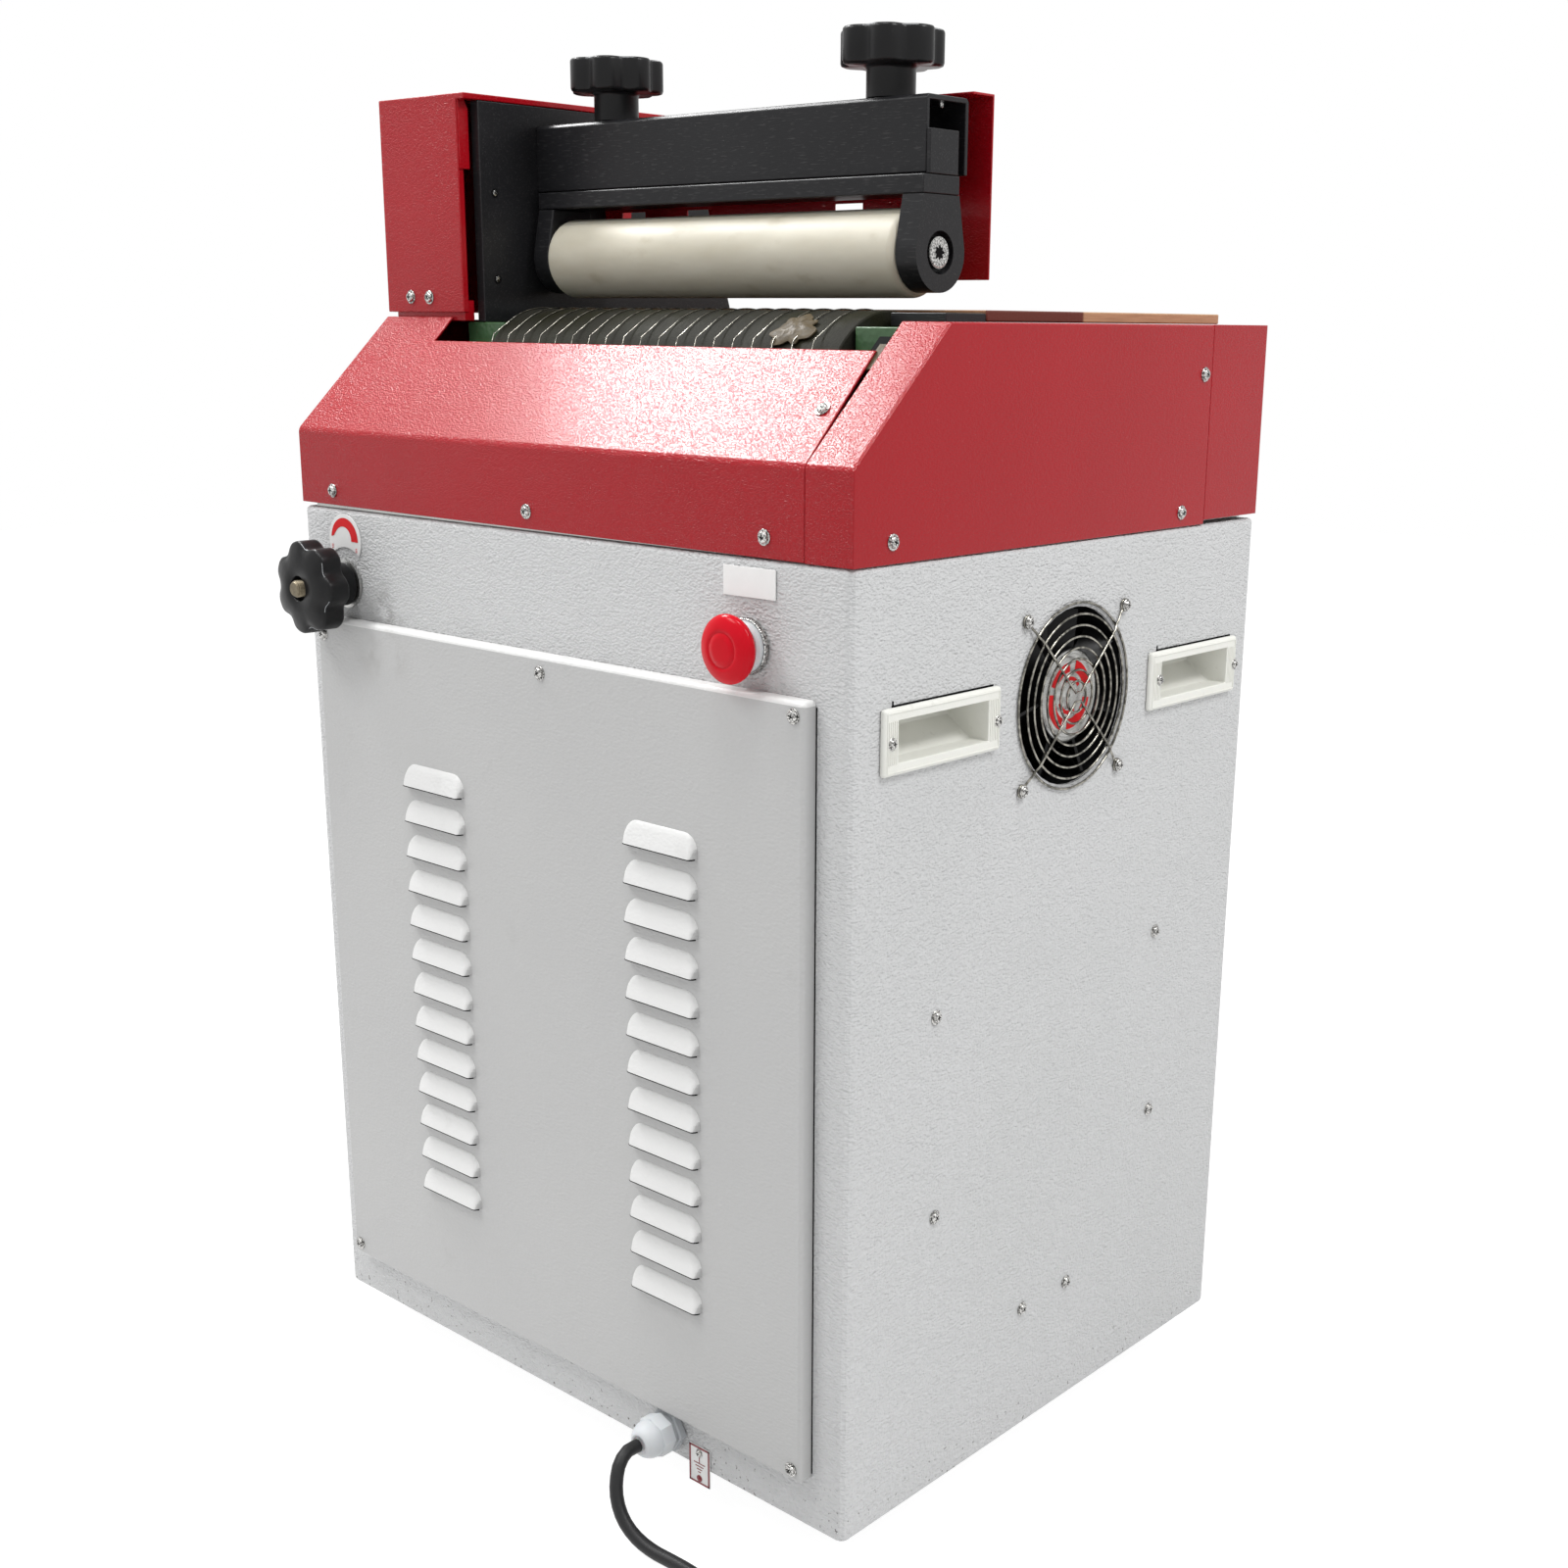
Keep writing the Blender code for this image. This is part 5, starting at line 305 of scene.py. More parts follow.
def cabinet_paint():
    """Light grey wrinkled powder coat, with a grey smudge beside the star knob and small chips low down."""
    material, shader, point = new_finish("wrinkled_grey_powder_coat", Specular_IOR_Level=0.35)
    tone = noise(point, 6.0, 3.0)
    base = mixed(tone, srgb(196, 197, 197), srgb(205, 205, 206))
    smudge = near(point, (-0.166, 0.0, 0.536), 0.006, 0.028) * rise(noise(point, 70.0, 4.0), 0.35, 0.60)
    base = mixed(smudge * 0.40, base, srgb(112, 110, 108))
    low = rise(part_of(point, "Z"), 0.085, 0.034)
    chips = rise(noise(point, 300.0, 3.0), 0.66, 0.69) * low
    base = mixed(chips * 0.85, base, srgb(84, 80, 74))
    scuffs = rise(noise(scaled(point, (1.0, 1.0, 3.0)), 35.0, 5.0), 0.68, 0.80)
    base = mixed(scuffs * 0.12, base, srgb(140, 138, 136))
    grain = leather_grain(point, 560.0)
    feed(shader, Base_Color=base, Roughness=0.36 + tone * 0.10, Normal=bumped(grain, 0.00095))
    return material


def door_paint():
    """Smoother light grey paint with a faint grain, some handling marks, a smudge at the top left and a
    painted highlight on faces that look up.
    """
    material, shader, point = new_finish("smooth_grey_paint", Specular_IOR_Level=0.35)
    tone = noise(point, 5.0, 3.0)
    base = mixed(tone, srgb(180, 180, 180), srgb(189, 189, 188))
    # Painted highlight: faces that look up, such as the louvres' tilted faces and rounded tops, are painted a
    # lighter grey.
    upward = part_of(point.node("ShaderNodeNewGeometry", {}, output="True Normal"), "Z")
    base = mixed(rise(upward, 0.06, 0.22), base, srgb(224, 224, 223))
    marks = rise(noise(point, 26.0, 6.0, 0.6), 0.62, 0.75)
    base = mixed(marks * 0.10, base, srgb(150, 148, 145))
    smudge = near(point, (-0.158, -0.010, 0.512), 0.010, 0.038) * rise(noise(point, 40.0, 3.0), 0.36, 0.60)
    base = mixed(smudge * 0.30, base, srgb(140, 136, 132))
    grain = leather_grain(point, 420.0)
    waves = noise(point, 28.0, 1.0)
    height = grain * 0.42 + waves * 0.6
    feed(shader, Base_Color=base, Roughness=0.34 + tone * 0.08, Normal=bumped(height, 0.00055))
    return material


def red_paint():
    """Deep red powder coat with a fine leather grain, a little dusty in its creases."""
    material, shader, point = new_finish("red_grained_powder_coat", Specular_IOR_Level=0.27)
    tone = noise(point, 9.0, 4.0)
    base = mixed(tone, srgb(148, 8, 19), srgb(160, 11, 25))
    dust = rise(noise(point, 420.0, 4.0, 0.6), 0.66, 0.74)
    base = mixed(dust * 0.10, base, srgb(205, 120, 122))
    aside = abs(part_of(point.node("ShaderNodeNewGeometry", {}, output="Normal"), "X"))
    grain = rise(leather_grain(point, 760.0), -0.06, 0.24) * (1.0 - rise(aside, 0.5, 0.9) * 0.70)
    feed(shader, Base_Color=base, Roughness=0.15 + tone * 0.06, Normal=bumped(grain, 0.00018))
    return material


def arm_paint():
    """Satin black over machined steel: fine lengthwise strokes and light specks."""
    material, shader, point = new_finish("satin_black_over_steel", Specular_IOR_Level=0.22)
    strokes = noise(scaled(point, (120.0, 1200.0, 1200.0)), 1.0, 2.0)
    tone = noise(point, 14.0, 3.0)
    base = mixed(tone, srgb(22, 22, 24), srgb(32, 32, 34))
    flecks = rise(strokes, 0.56, 0.72)
    base = mixed(flecks * 0.10, base, srgb(128, 127, 126))
    specks = rise(noise(point, 900.0, 2.0), 0.74, 0.78)
    base = mixed(specks * 0.28, base, srgb(150, 148, 146))
    feed(shader, Base_Color=base, Roughness=0.28 + tone * 0.14, Normal=bumped(strokes, 0.00007))
    return material


def green_paint():
    """Green hammer paint with dried glue in brown patches."""
    material, shader, point = new_finish("green_hammer_paint")
    tone = noise(point, 30.0, 3.0)
    base = mixed(tone, srgb(48, 84, 52), srgb(72, 104, 66))
    glue = rise(noise(point, 45.0, 4.0), 0.60, 0.66)
    base = mixed(glue * 0.7, base, srgb(98, 80, 52))
    dimples = cells(point, 260.0)
    feed(shader, Base_Color=base, Roughness=0.38 + glue * 0.20, Normal=bumped(dimples, 0.0003))
    return material


def grey_paint():
    """Plain grey machine paint, a little uneven."""
    material, shader, point = new_finish("grey_machine_paint")
    tone = noise(point, 20.0, 4.0)
    base = mixed(tone, srgb(168, 172, 176), srgb(186, 189, 192))
    feed(shader, Base_Color=base, Roughness=0.42 + tone * 0.1, Normal=bumped(noise(point, 500.0), 0.00012))
    return material


def black_plastic():
    """Black phenolic: satin, with faint flow marks and light handling dust."""
    material, shader, point = new_finish("black_phenolic", Specular_IOR_Level=0.20)
    tone = noise(point, 40.0, 4.0)
    base = mixed(tone, srgb(15, 15, 16), srgb(25, 25, 26))
    dust = rise(noise(point, 900.0, 2.0), 0.72, 0.78)
    base = mixed(dust * 0.22, base, srgb(110, 108, 105))
    feed(shader, Base_Color=base, Roughness=0.26 + tone * 0.14, Normal=bumped(noise(point, 260.0), 0.00008))
    return material


def grey_plastic():
    """Near white nylon with a fine moulded grain."""
    material, shader, point = new_finish("near_white_nylon", Subsurface_Weight=0.05, Specular_IOR_Level=0.4)
    tone = noise(point, 60.0, 3.0)
    base = mixed(tone, srgb(206, 209, 212), srgb(222, 224, 226))
    feed(shader, Base_Color=base, Roughness=0.36 + tone * 0.12, Normal=bumped(noise(point, 900.0), 0.00006))
    return material


def ivory_plastic():
    """White moulded plastic, slightly yellowed in places, with grime in its corners."""
    material, shader, point = new_finish("white_moulding", Specular_IOR_Level=0.4)
    tone = noise(point, 35.0, 3.0)
    base = mixed(tone, srgb(222, 222, 214), srgb(232, 232, 227))
    dirt = rise(noise(point, 120.0, 5.0, 0.6), 0.60, 0.76)
    base = mixed(dirt * 0.22, base, srgb(150, 146, 134))
    feed(shader, Base_Color=base, Roughness=0.30 + tone * 0.12, Normal=bumped(noise(point, 700.0), 0.00007))
    return material


def white_plate():
    """White coated plate, glossy, with faint rubbing."""
    material, shader, point = new_finish("white_coated_plate", Specular_IOR_Level=0.4)
    tone = noise(point, 120.0, 4.0)
    base = mixed(tone, srgb(226, 226, 225), srgb(238, 238, 237))
    feed(shader, Base_Color=base, Roughness=0.28 + tone * 0.14, Normal=bumped(noise(point, 1200.0), 0.00002))
    return material


def red_plastic():
    """Clear glossy red with soft moulding waves."""
    material, shader, point = new_finish("glossy_red_moulding", Specular_IOR_Level=0.13)
    tone = noise(point, 90.0, 3.0)
    base = mixed(tone, srgb(186, 4, 22), srgb(202, 9, 32))
    feed(shader, Base_Color=base, Roughness=0.12 + tone * 0.08, Normal=bumped(noise(point, 160.0), 0.00010))
    return material


def nylon():
    """Turned ivory nylon: faint turning rings, warm streaks and a grey bloom from heat."""
    material, shader, point = new_finish(
        "turned_ivory_nylon",
        Subsurface_Weight=0.15,
        Subsurface_Radius=(0.6, 0.45, 0.3),
        Subsurface_Scale=0.003,
    )
    rings = noise(scaled(point, (900.0, 6.0, 6.0)), 1.0, 3.0)
    patches = noise(scaled(point, (1.0, 3.0, 3.0)), 14.0, 4.0, 0.55)
    base = mixed(patches, srgb(168, 161, 141), srgb(208, 204, 190))
    stains = rise(noise(scaled(point, (1.0, 2.0, 2.0)), 34.0, 5.0), 0.56, 0.74)
    base = mixed(stains * 0.35, base, srgb(140, 128, 100))
    feed(shader, Base_Color=base, Roughness=0.42 + rings * 0.12, Normal=bumped(rings, 0.00005))
    return material


def steel():
    """Bright plated steel with fine scratches."""
    material, shader, point = new_finish("bright_plated_steel", Metallic=1.0)
    scratches = noise(scaled(point, (900.0, 160.0, 900.0)), 1.0, 3.0)
    tone = noise(point, 50.0, 3.0)
    base = mixed(tone, srgb(160, 160, 158), srgb(196, 196, 193))
    feed(shader, Base_Color=base, Roughness=0.20 + scratches * 0.18, Normal=bumped(scratches, 0.00002))
    return material


def dark_steel():
    """Steel under a film of dried glue: dark grey, with greenish brown glaze in patches."""
    material, shader, point = new_finish("glue_glazed_steel", Specular_IOR_Level=0.05)
    film = rise(noise(scaled(point, (1.0, 0.6, 0.6)), 38.0, 5.0, 0.55), 0.38, 0.62)
    fine = noise(point, 900.0, 4.0)
    metal = mixed(fine, srgb(25, 25, 22), srgb(48, 47, 41))
    glaze = mixed(fine, srgb(20, 21, 14), srgb(41, 40, 28))
    feed(
        shader,
        Base_Color=mixed(film, metal, glaze),
        Metallic=0.08 - film * 0.07,
        Roughness=0.62 - film * 0.14,
        Normal=bumped(fine + film, 0.00022),
    )
    return material


def board():
    """Brown hardboard: fibres, a darker band where the work slides in, a pale sawn edge at the right."""
    material, shader, point = new_finish("brown_hardboard", Specular_IOR_Level=0.35)
    fibres = noise(scaled(point, (60.0, 500.0, 500.0)), 1.0, 4.0)
    tone = noise(point, 18.0, 4.0)
    base = mixed(tone, srgb(140, 100, 70), srgb(166, 126, 94))
    base = mixed(rise(fibres, 0.55, 0.75) * 0.5, base, srgb(112, 74, 48))
    y = part_of(point, "Y")
    band = abs(y - (0.257 + PLACE.y))
    base = mixed(rise(band, 0.010, 0.006) * 0.6, base, srgb(70, 44, 32))
    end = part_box("table_board")[1][0]
    edge = rise(part_of(point, "X"), end - 0.0014, end - 0.0006)
    grain = noise(scaled(point, (200.0, 40.0, 700.0)), 1.0, 4.0)
    sawn = mixed(grain, srgb(146, 112, 82), srgb(196, 160, 124))
    worn = mixed(rise(y, 0.256 + PLACE.y, 0.259 + PLACE.y), srgb(92, 42, 30), sawn)
    base = mixed(edge, base, worn)
    feed(shader, Base_Color=base, Roughness=0.5 + fibres * 0.2, Normal=bumped(fibres, 0.0001))
    return material


def rubber():
    """Black rubber with a dull bloom and dust."""
    material, shader, point = new_finish("black_rubber", Specular_IOR_Level=0.35)
    tone = noise(point, 70.0, 4.0)
    base = mixed(tone, srgb(20, 20, 21), srgb(32, 32, 33))
    dust = rise(noise(point, 600.0, 3.0), 0.66, 0.76)
    base = mixed(dust * 0.16, base, srgb(104, 101, 97))
    feed(shader, Base_Color=base, Roughness=0.38 + tone * 0.14, Normal=bumped(noise(point, 700.0), 0.00010))
    return material


def chrome():
    """Nickel plated screws and small parts, mottled dull and dark in spots: partly tarnish, partly painted
    reflection.
    """
    material, shader, point = new_finish("nickel_plating", Metallic=1.0)
    spots = noise(point, 900.0, 3.0)
    # Painted reflection, partly tarnish: the spots mottle the base colour light and dark, as bright and dark
    # surroundings would show on real plating.
    base = mixed(rise(spots, 0.36, 0.62), srgb(92, 91, 90), srgb(212, 211, 208))
    feed(shader, Base_Color=base, Roughness=0.14 + spots * 0.16, Normal=bumped(spots, 0.00003))
    return material


def wire_plating():
    """Bright drawn wire, darker in patches."""
    material, shader, point = new_finish("bright_drawn_wire", Metallic=1.0)
    tone = noise(point, 240.0, 2.0)
    base = mixed(rise(tone, 0.35, 0.65), srgb(92, 90, 84), srgb(160, 157, 148))
    feed(shader, Base_Color=base, Roughness=0.16 + tone * 0.12, Normal=bumped(tone, 0.00003))
    return material


def brass():
    """Dull brownish plating on a threaded rod."""
    material, shader, point = new_finish("dull_chromate", Metallic=0.8)
    tone = noise(point, 500.0, 3.0)
    base = mixed(tone, srgb(84, 76, 60), srgb(142, 132, 112))
    feed(shader, Base_Color=base, Roughness=0.30 + tone * 0.2, Normal=bumped(tone, 0.00006))
    return material


def gap_black():
    """Painted shade for unlit gaps and recesses, also the black of the back panel's tick marks: dull black
    with faint lint.
    """
    material, shader, point = new_finish("unlit_gap", Specular_IOR_Level=0.1)
    lint = rise(noise(point, 500.0, 4.0), 0.62, 0.75)
    feed(shader, Base_Color=mixed(lint * 0.3, srgb(10, 10, 11), srgb(48, 47, 46)), Roughness=0.8 + lint * 0.1)
    return material


def print_red():
    """Thin red print on a plate, slightly uneven in its ink."""
    material, shader, point = new_finish("red_ink", Specular_IOR_Level=0.15)
    tone = noise(point, 500.0, 3.0)
    feed(shader, Base_Color=mixed(tone, srgb(204, 12, 20), srgb(218, 26, 32)), Roughness=0.34 + tone * 0.1)
    return material


def print_dark_red():
    """Thin brownish red print on a tag, a little rubbed."""
    material, shader, point = new_finish("brown_red_ink")
    tone = noise(point, 500.0, 3.0)
    feed(shader, Base_Color=mixed(tone, srgb(112, 34, 42), srgb(146, 54, 60)), Roughness=0.4 + tone * 0.1)
    return material


def glue():
    """Dried brown glue, glossy and stringy."""
    material, shader, point = new_finish("dried_glue", Coat_Weight=0.05, Specular_IOR_Level=0.15)
    tone = noise(point, 300.0, 4.0)
    base = mixed(tone, srgb(44, 38, 27), srgb(96, 83, 60))
    feed(shader, Base_Color=base, Roughness=0.38 + tone * 0.2, Normal=bumped(tone, 0.0003))
    return material


FINISHES = {
    maker.__name__: maker()
    for maker in (
        cabinet_paint,
        door_paint,
        red_paint,
        arm_paint,
        green_paint,
        grey_paint,
        black_plastic,
        grey_plastic,
        ivory_plastic,
        white_plate,
        red_plastic,
        nylon,
        steel,
        dark_steel,
        board,
        rubber,
        chrome,
        wire_plating,
        brass,
        gap_black,
        print_red,
        print_dark_red,
        glue,
    )
}


# Drawing


def crisp(shape, angle):
    """Smooth faces, with the edges that turn more than angle degrees kept sharp."""
    for face in shape.faces:
        face.smooth = True
    for edge in shape.edges:
        edge.smooth = edge.is_manifold and edge.calc_face_angle(0.0) < radians(angle)


def outward(shape):
    """Turns every face to look out of its body."""
    bmesh.ops.recalc_face_normals(shape, faces=shape.faces)


def round_edges(shape, edges, radius, segments, clamped=True):
    bmesh.ops.bevel(
        shape,
        geom=edges,
        offset=radius,
        segments=segments,
        profile=0.5,
        affect="EDGES",
        clamp_overlap=clamped,
    )


def keep_faces_flat(piece):
    """Shades big faces as flat up to their rounded edges."""
    weighted = piece.modifiers.new("flat_faces", "WEIGHTED_NORMAL")
    weighted.keep_sharp = True


def new_object(name, data):
    made = bpy.data.objects.new(name, data)
    bpy.context.scene.collection.objects.link(made)
    return made


def new_piece(name, shape, body, slot, finish=None, angle=32, replaces=()):
    """A piece from a shape in the cabinet's frame, riding on a body."""
    crisp(shape, angle)
    mesh = bpy.data.meshes.new(name)
    shape.to_mesh(mesh)
    shape.free()
    mesh.transform(Matrix.Translation(PLACE))
    mesh.materials.append(FINISHES[finish or slot])
    piece = new_object(name, mesh)
    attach(piece, body)
    if replaces:
        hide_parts(*replaces)
    return piece


def loft(shape, rings, closed=True, caps=True):
    """Faces between rings of points of equal length."""
    rows = [[shape.verts.new(point) for point in ring] for ring in rings]
    count = len(rings[0])
    last = count if closed else count - 1
    for lower, upper in zip(rows, rows[1:]):
        for index in range(last):
            after = (index + 1) % count
            shape.faces.new((lower[index], lower[after], upper[after], upper[index]))
    if caps:
        shape.faces.new(rows[0][::-1])
        shape.faces.new(rows[-1])
    return rows


def frame_of(axis):
    """Two directions square to an axis and to each other."""
    axis = Vector(axis).normalized()
    side = axis.orthogonal().normalized() if abs(axis.z) > 0.9 else Vector((0, 0, 1)).cross(axis).normalized()
    return side, axis.cross(side)


def turned(shape, centre, axis, profile, count=48, outline=None, bored=False):
    """A body turned about an axis: profile holds (radius, distance along the axis).

    The profile of a bored body comes back to where it starts.
    """
    centre = Vector(centre)
    axis = Vector(axis).normalized()
    side, up = frame_of(axis)
    rings = []
    for radius, along in profile:
        ring = []
        for index in range(count):
            angle = 2 * pi * index / count
            reach = radius * (outline(angle) if outline else 1.0)
            ring.append(centre + axis * along + side * (reach * cos(angle)) + up * (reach * sin(angle)))
        rings.append(ring)
    loft(shape, rings, caps=not bored)
    if bored:
        bmesh.ops.remove_doubles(shape, verts=shape.verts, dist=1e-7)


def tube(shape, points, radius, sides=10, closed=False):
    """A round wire along points."""
    points = [Vector(point) for point in points]
    count = len(points)
    rings = []
    up = None
    for index, point in enumerate(points):
        if closed:
            heading = points[(index + 1) % count] - points[index - 1]
        else:
            heading = points[min(index + 1, count - 1)] - points[max(index - 1, 0)]
        heading.normalize()
        if up is None:
            up = heading.orthogonal()
        up = (up - heading * up.dot(heading)).normalized()
        side = heading.cross(up)
        angles = [2 * pi * k / sides for k in range(sides)]
        rings.append([point + up * (radius * cos(a)) + side * (radius * sin(a)) for a in angles])
    if closed:
        rings.append(rings[0])
        loft(shape, rings, caps=False)
        bmesh.ops.remove_doubles(shape, verts=shape.verts, dist=1e-7)
    else:
        loft(shape, rings)


def merge(shape, other):
    """Adds another shape's faces to this one."""
    mesh = bpy.data.meshes.new("merge")
    other.to_mesh(mesh)
    shape.from_mesh(mesh)
    bpy.data.meshes.remove(mesh)
    other.free()


def block(shape, low, high, radius=0.0, segments=2):
    """A box between two corners, with rounded edges."""
    low, high = Vector(low), Vector(high)
    made = set(bmesh.ops.create_cube(shape, size=1.0)["verts"])
    for vert in made:
        vert.co = Vector((low[i] + (vert.co[i] + 0.5) * (high[i] - low[i]) for i in range(3)))
    if radius:
        edges = [edge for edge in shape.edges if edge.verts[0] in made]
        round_edges(shape, edges, radius, segments)


def refine(name, slot, width=0.0005, segments=2, folds=None, fold_radius=0.0015, shift=None):
    """The model's own solid with rounded edges.

    folds picks the edges that are bent sheet, and are rounder. shift gives a point's new place.
    """
    node = frame["nodes"][name]
    shape = bmesh.new()
    shape.from_mesh(node.data)
    bmesh.ops.translate(shape, verts=shape.verts, vec=-PLACE)
    bmesh.ops.remove_doubles(shape, verts=shape.verts, dist=1e-6)
    bmesh.ops.dissolve_limit(shape, angle_limit=radians(1.0), verts=shape.verts, edges=shape.edges)
    if shift:
        for vert in shape.verts:
            vert.co = shift(vert.co)
    if folds:
        picked = [edge for edge in shape.edges if edge.calc_face_angle(0.0) > radians(30) and folds(edge)]
        round_edges(shape, picked, fold_radius, 4, clamped=False)
    body = body_of(node)[0]
    piece = new_piece(name + "_shown", shape, body, slot, replaces=(name,))
    bevel = piece.modifiers.new("rounded_edges", "BEVEL")
    bevel.width = width
    bevel.segments = segments
    bevel.limit_method = "ANGLE"
    bevel.angle_limit = radians(30)
    bevel.use_clamp_overlap = True
    bevel.harden_normals = True
    keep_faces_flat(piece)


def dress(name, slot):
    """The model's own solid as it is, with its finish."""
    node = frame["nodes"][name]
    for holder in node.material_slots:
        holder.material = FINISHES[slot]
    if not node.material_slots:
        node.data.materials.append(FINISHES[slot])


# Camera and cord


def set_camera():
    data = bpy.data.cameras.new("photo_camera")
    data.sensor_width = 36.0
    data.lens = CAMERA_LENS
    data.shift_x, data.shift_y = CAMERA_SHIFT
    camera = new_object("photo_camera", data)
    camera.location = CAMERA_PLACE
    camera.rotation_euler = [radians(turn) for turn in CAMERA_TURN]
    bpy.context.scene.camera = camera


def smooth_route(points, step):
    """Points a step apart along a smooth curve through points."""
    points = [Vector(point) for point in points]
    padded = [points[0] * 2 - points[1], *points, points[-1] * 2 - points[-2]]
    dense = [points[0]]
    for a, b, c, d in zip(padded, padded[1:], padded[2:], padded[3:]):
        for index in range(1, 13):
            t = index / 12
            place = b * 2 + (c - a) * t
            place += (a * 2 - b * 5 + c * 4 - d) * t**2
            place += (b * 3 - a - c * 3 + d) * t**3
            dense.append(place / 2)
    marks = [0.0]
    for first, second in zip(dense, dense[1:]):
        marks.append(marks[-1] + (second - first).length)
    count = round(marks[-1] / step)
    route = []
    at = 0
    for index in range(count + 1):
        wanted = marks[-1] * index / count
        while at < len(marks) - 2 and marks[at + 1] < wanted:
            at += 1
        share = (wanted - marks[at]) / (marks[at + 1] - marks[at])
        route.append(dense[at].lerp(dense[at + 1], share))
    return route


def coil_points():
    """Three turns inwards, a short climb, three turns outwards on top of them."""
    end = Vector(CORD_ROUTE[-1])
    swing = COIL_PITCH * COIL_TURNS / 2
    outer = COIL_OUTER + swing / 2
    centre = Vector((end.x - outer, end.y - 2 * CORD_RADIUS, end.z))
    points = []
    for index in range(COIL_TURNS * COIL_STEPS + 1):
        done = index / COIL_STEPS
        radius = outer - swing + COIL_PITCH * abs(done - COIL_TURNS / 2)
        share = min(max((done - COIL_TURNS / 2 + 0.25) / 0.5, 0.0), 1.0)
        lift = COIL_PITCH * (0.5 - 0.5 * cos(pi * share))
        angle = -2 * pi * done
        points.append(centre + Vector((radius * cos(angle), radius * sin(angle), lift)))
    return points


def add_plug(start):
    """The moulded plug, its ribbed neck towards start, and its three pins."""
    shape = bmesh.new()
    half = start.z + 0.030
    sections = [(0.0, 0.0075, 0.0075)]
    for rib in range(4):
        sections += [
            (0.0030 + rib * 0.0036, 0.0075, 0.0075),
            (0.0036 + rib * 0.0036, 0.0064, 0.0064),
            (0.0054 + rib * 0.0036, 0.0064, 0.0064),
            (0.0060 + rib * 0.0036, 0.0075, 0.0075),
        ]
    sections += [
        (0.0195, 0.0120, min(half, 0.0120)),
        (0.0215, 0.0162, half * 0.92),
        (0.0240, 0.0178, half),
        (0.0560, 0.0180, half),
        (0.0590, 0.0174, half * 0.96),
        (0.0600, 0.0160, half * 0.86),
    ]
    rings = []
    for along, wide, high in sections:
        ring = []
        for index in range(32):
            angle = 2 * pi * index / 32
            across, up = cos(angle), sin(angle)
            square = max(abs(across), abs(up)) ** -0.6 if wide > 0.008 else 1.0
            x = wide * across * min(square, 1 / max(abs(across), 1e-6))
            z = high * up * min(square, 1 / max(abs(up), 1e-6))
            ring.append(start + Vector((x, -along, z)))
        rings.append(ring)
    loft(shape, rings)
    outward(shape)
    plug = new_piece("plug_moulding", shape, "machine", "rubber", replaces=("mains_plug",))
    pins = bmesh.new()
    for across, lean, up in ((-0.0079, 30.0, 0.35), (0.0079, -30.0, 0.35), (0.0, 0.0, -0.5)):
        pin = bmesh.new()
        block(pin, (-0.0008, -0.078, -0.00315), (0.0008, -0.0595, 0.00315), 0.0005)
        bmesh.ops.rotate(pin, verts=pin.verts, matrix=Matrix.Rotation(radians(lean), 3, "Y"))
        bmesh.ops.translate(pin, verts=pin.verts, vec=start + Vector((across, 0.0, half * up)))
        merge(pins, pin)
    return plug, new_piece("plug_pins", pins, "machine", "steel")


def add_cord():
    hanging = smooth_route(CORD_ROUTE[1:], 0.006)
    coil = coil_points()
    tail = coil[-1] + Vector((0.0, -0.048, 0.0))
    points = [Vector(CORD_ROUTE[0]), *hanging[:-1], *coil, tail]
    curve = bpy.data.curves.new("mains_lead", "CURVE")
    curve.dimensions = "3D"
    curve.bevel_depth = CORD_RADIUS
    curve.bevel_resolution = 5
    curve.use_fill_caps = True
    spline = curve.splines.new("POLY")
    spline.points.add(len(points) - 1)
    for point, place in zip(spline.points, points):
        point.co = (*(place + PLACE), 1.0)
    spline.use_smooth = True
    curve.materials.append(FINISHES["rubber"])
    lead = new_object("mains_lead", curve)
    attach(lead, "machine")
    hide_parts("mains_cord", "cord_coil")
    length = sum((b - a).length for a, b in zip(points, points[1:]))
    plug, pins = add_plug(tail)
    points[0] + PLACE


# Cabinet


def add_door():
    """The door: a panel with rounded front edges and two columns of pressed louvres."""
    panel = bmesh.new()
    block(panel, (DOOR_LEFT, DOOR_FRONT, DOOR_BOTTOM), (DOOR_RIGHT, DOOR_BACK, DOOR_TOP))
    front = [edge for edge in panel.edges if all(vert.co.y < DOOR_FRONT + 1e-5 for vert in edge.verts)]
    upright = [edge for edge in panel.edges if abs(edge.verts[0].co.y - edge.verts[1].co.y) > 0.005]
    round_edges(panel, front + upright, DOOR_EDGE_RADIUS, 4)
    for column, bottom in louvre_places():
        add_louvre(panel, column, bottom)
    door = new_piece("door_panel", panel, "machine", "door_paint", replaces=("louvre_door",))
    keep_faces_flat(door)
    # Painted shade: black sheets in the louvres' mouths, black rods under their lips and a black strip in the
    # door's right seam.
    shade_parts = bmesh.new()
    for column, bottom in louvre_places():
        add_louvre_shade(shade_parts, column, bottom)
    # Painted shade: a thin black strip along the door's right edge.
    seam_shade_x = DOOR_RIGHT + 0.0001
    low = (seam_shade_x, DOOR_BACK, DOOR_BOTTOM + 0.004)
    block(shade_parts, low, (seam_shade_x + 0.0008, -0.0001, DOOR_TOP - 0.004))
    new_piece("louvre_mouth_shade", shade_parts, "machine", "door_paint", "gap_black")


def louvre_places():
    """The middle and the lower edge of each louvre."""
    rows = [LOUVRE_FIRST + LOUVRE_PITCH * row for row in range(LOUVRE_COUNT)]
    return [(column, bottom) for column in LOUVRE_COLUMNS for bottom in rows]


def louvre_front(up, share):
    """How far forward a louvre stands, up from its lower edge: its face leans back to the top."""
    return DOOR_FRONT - share * (LOUVRE_PROUD + (LOUVRE_TOP_PROUD - LOUVRE_PROUD) * up / LOUVRE_HEIGHT)


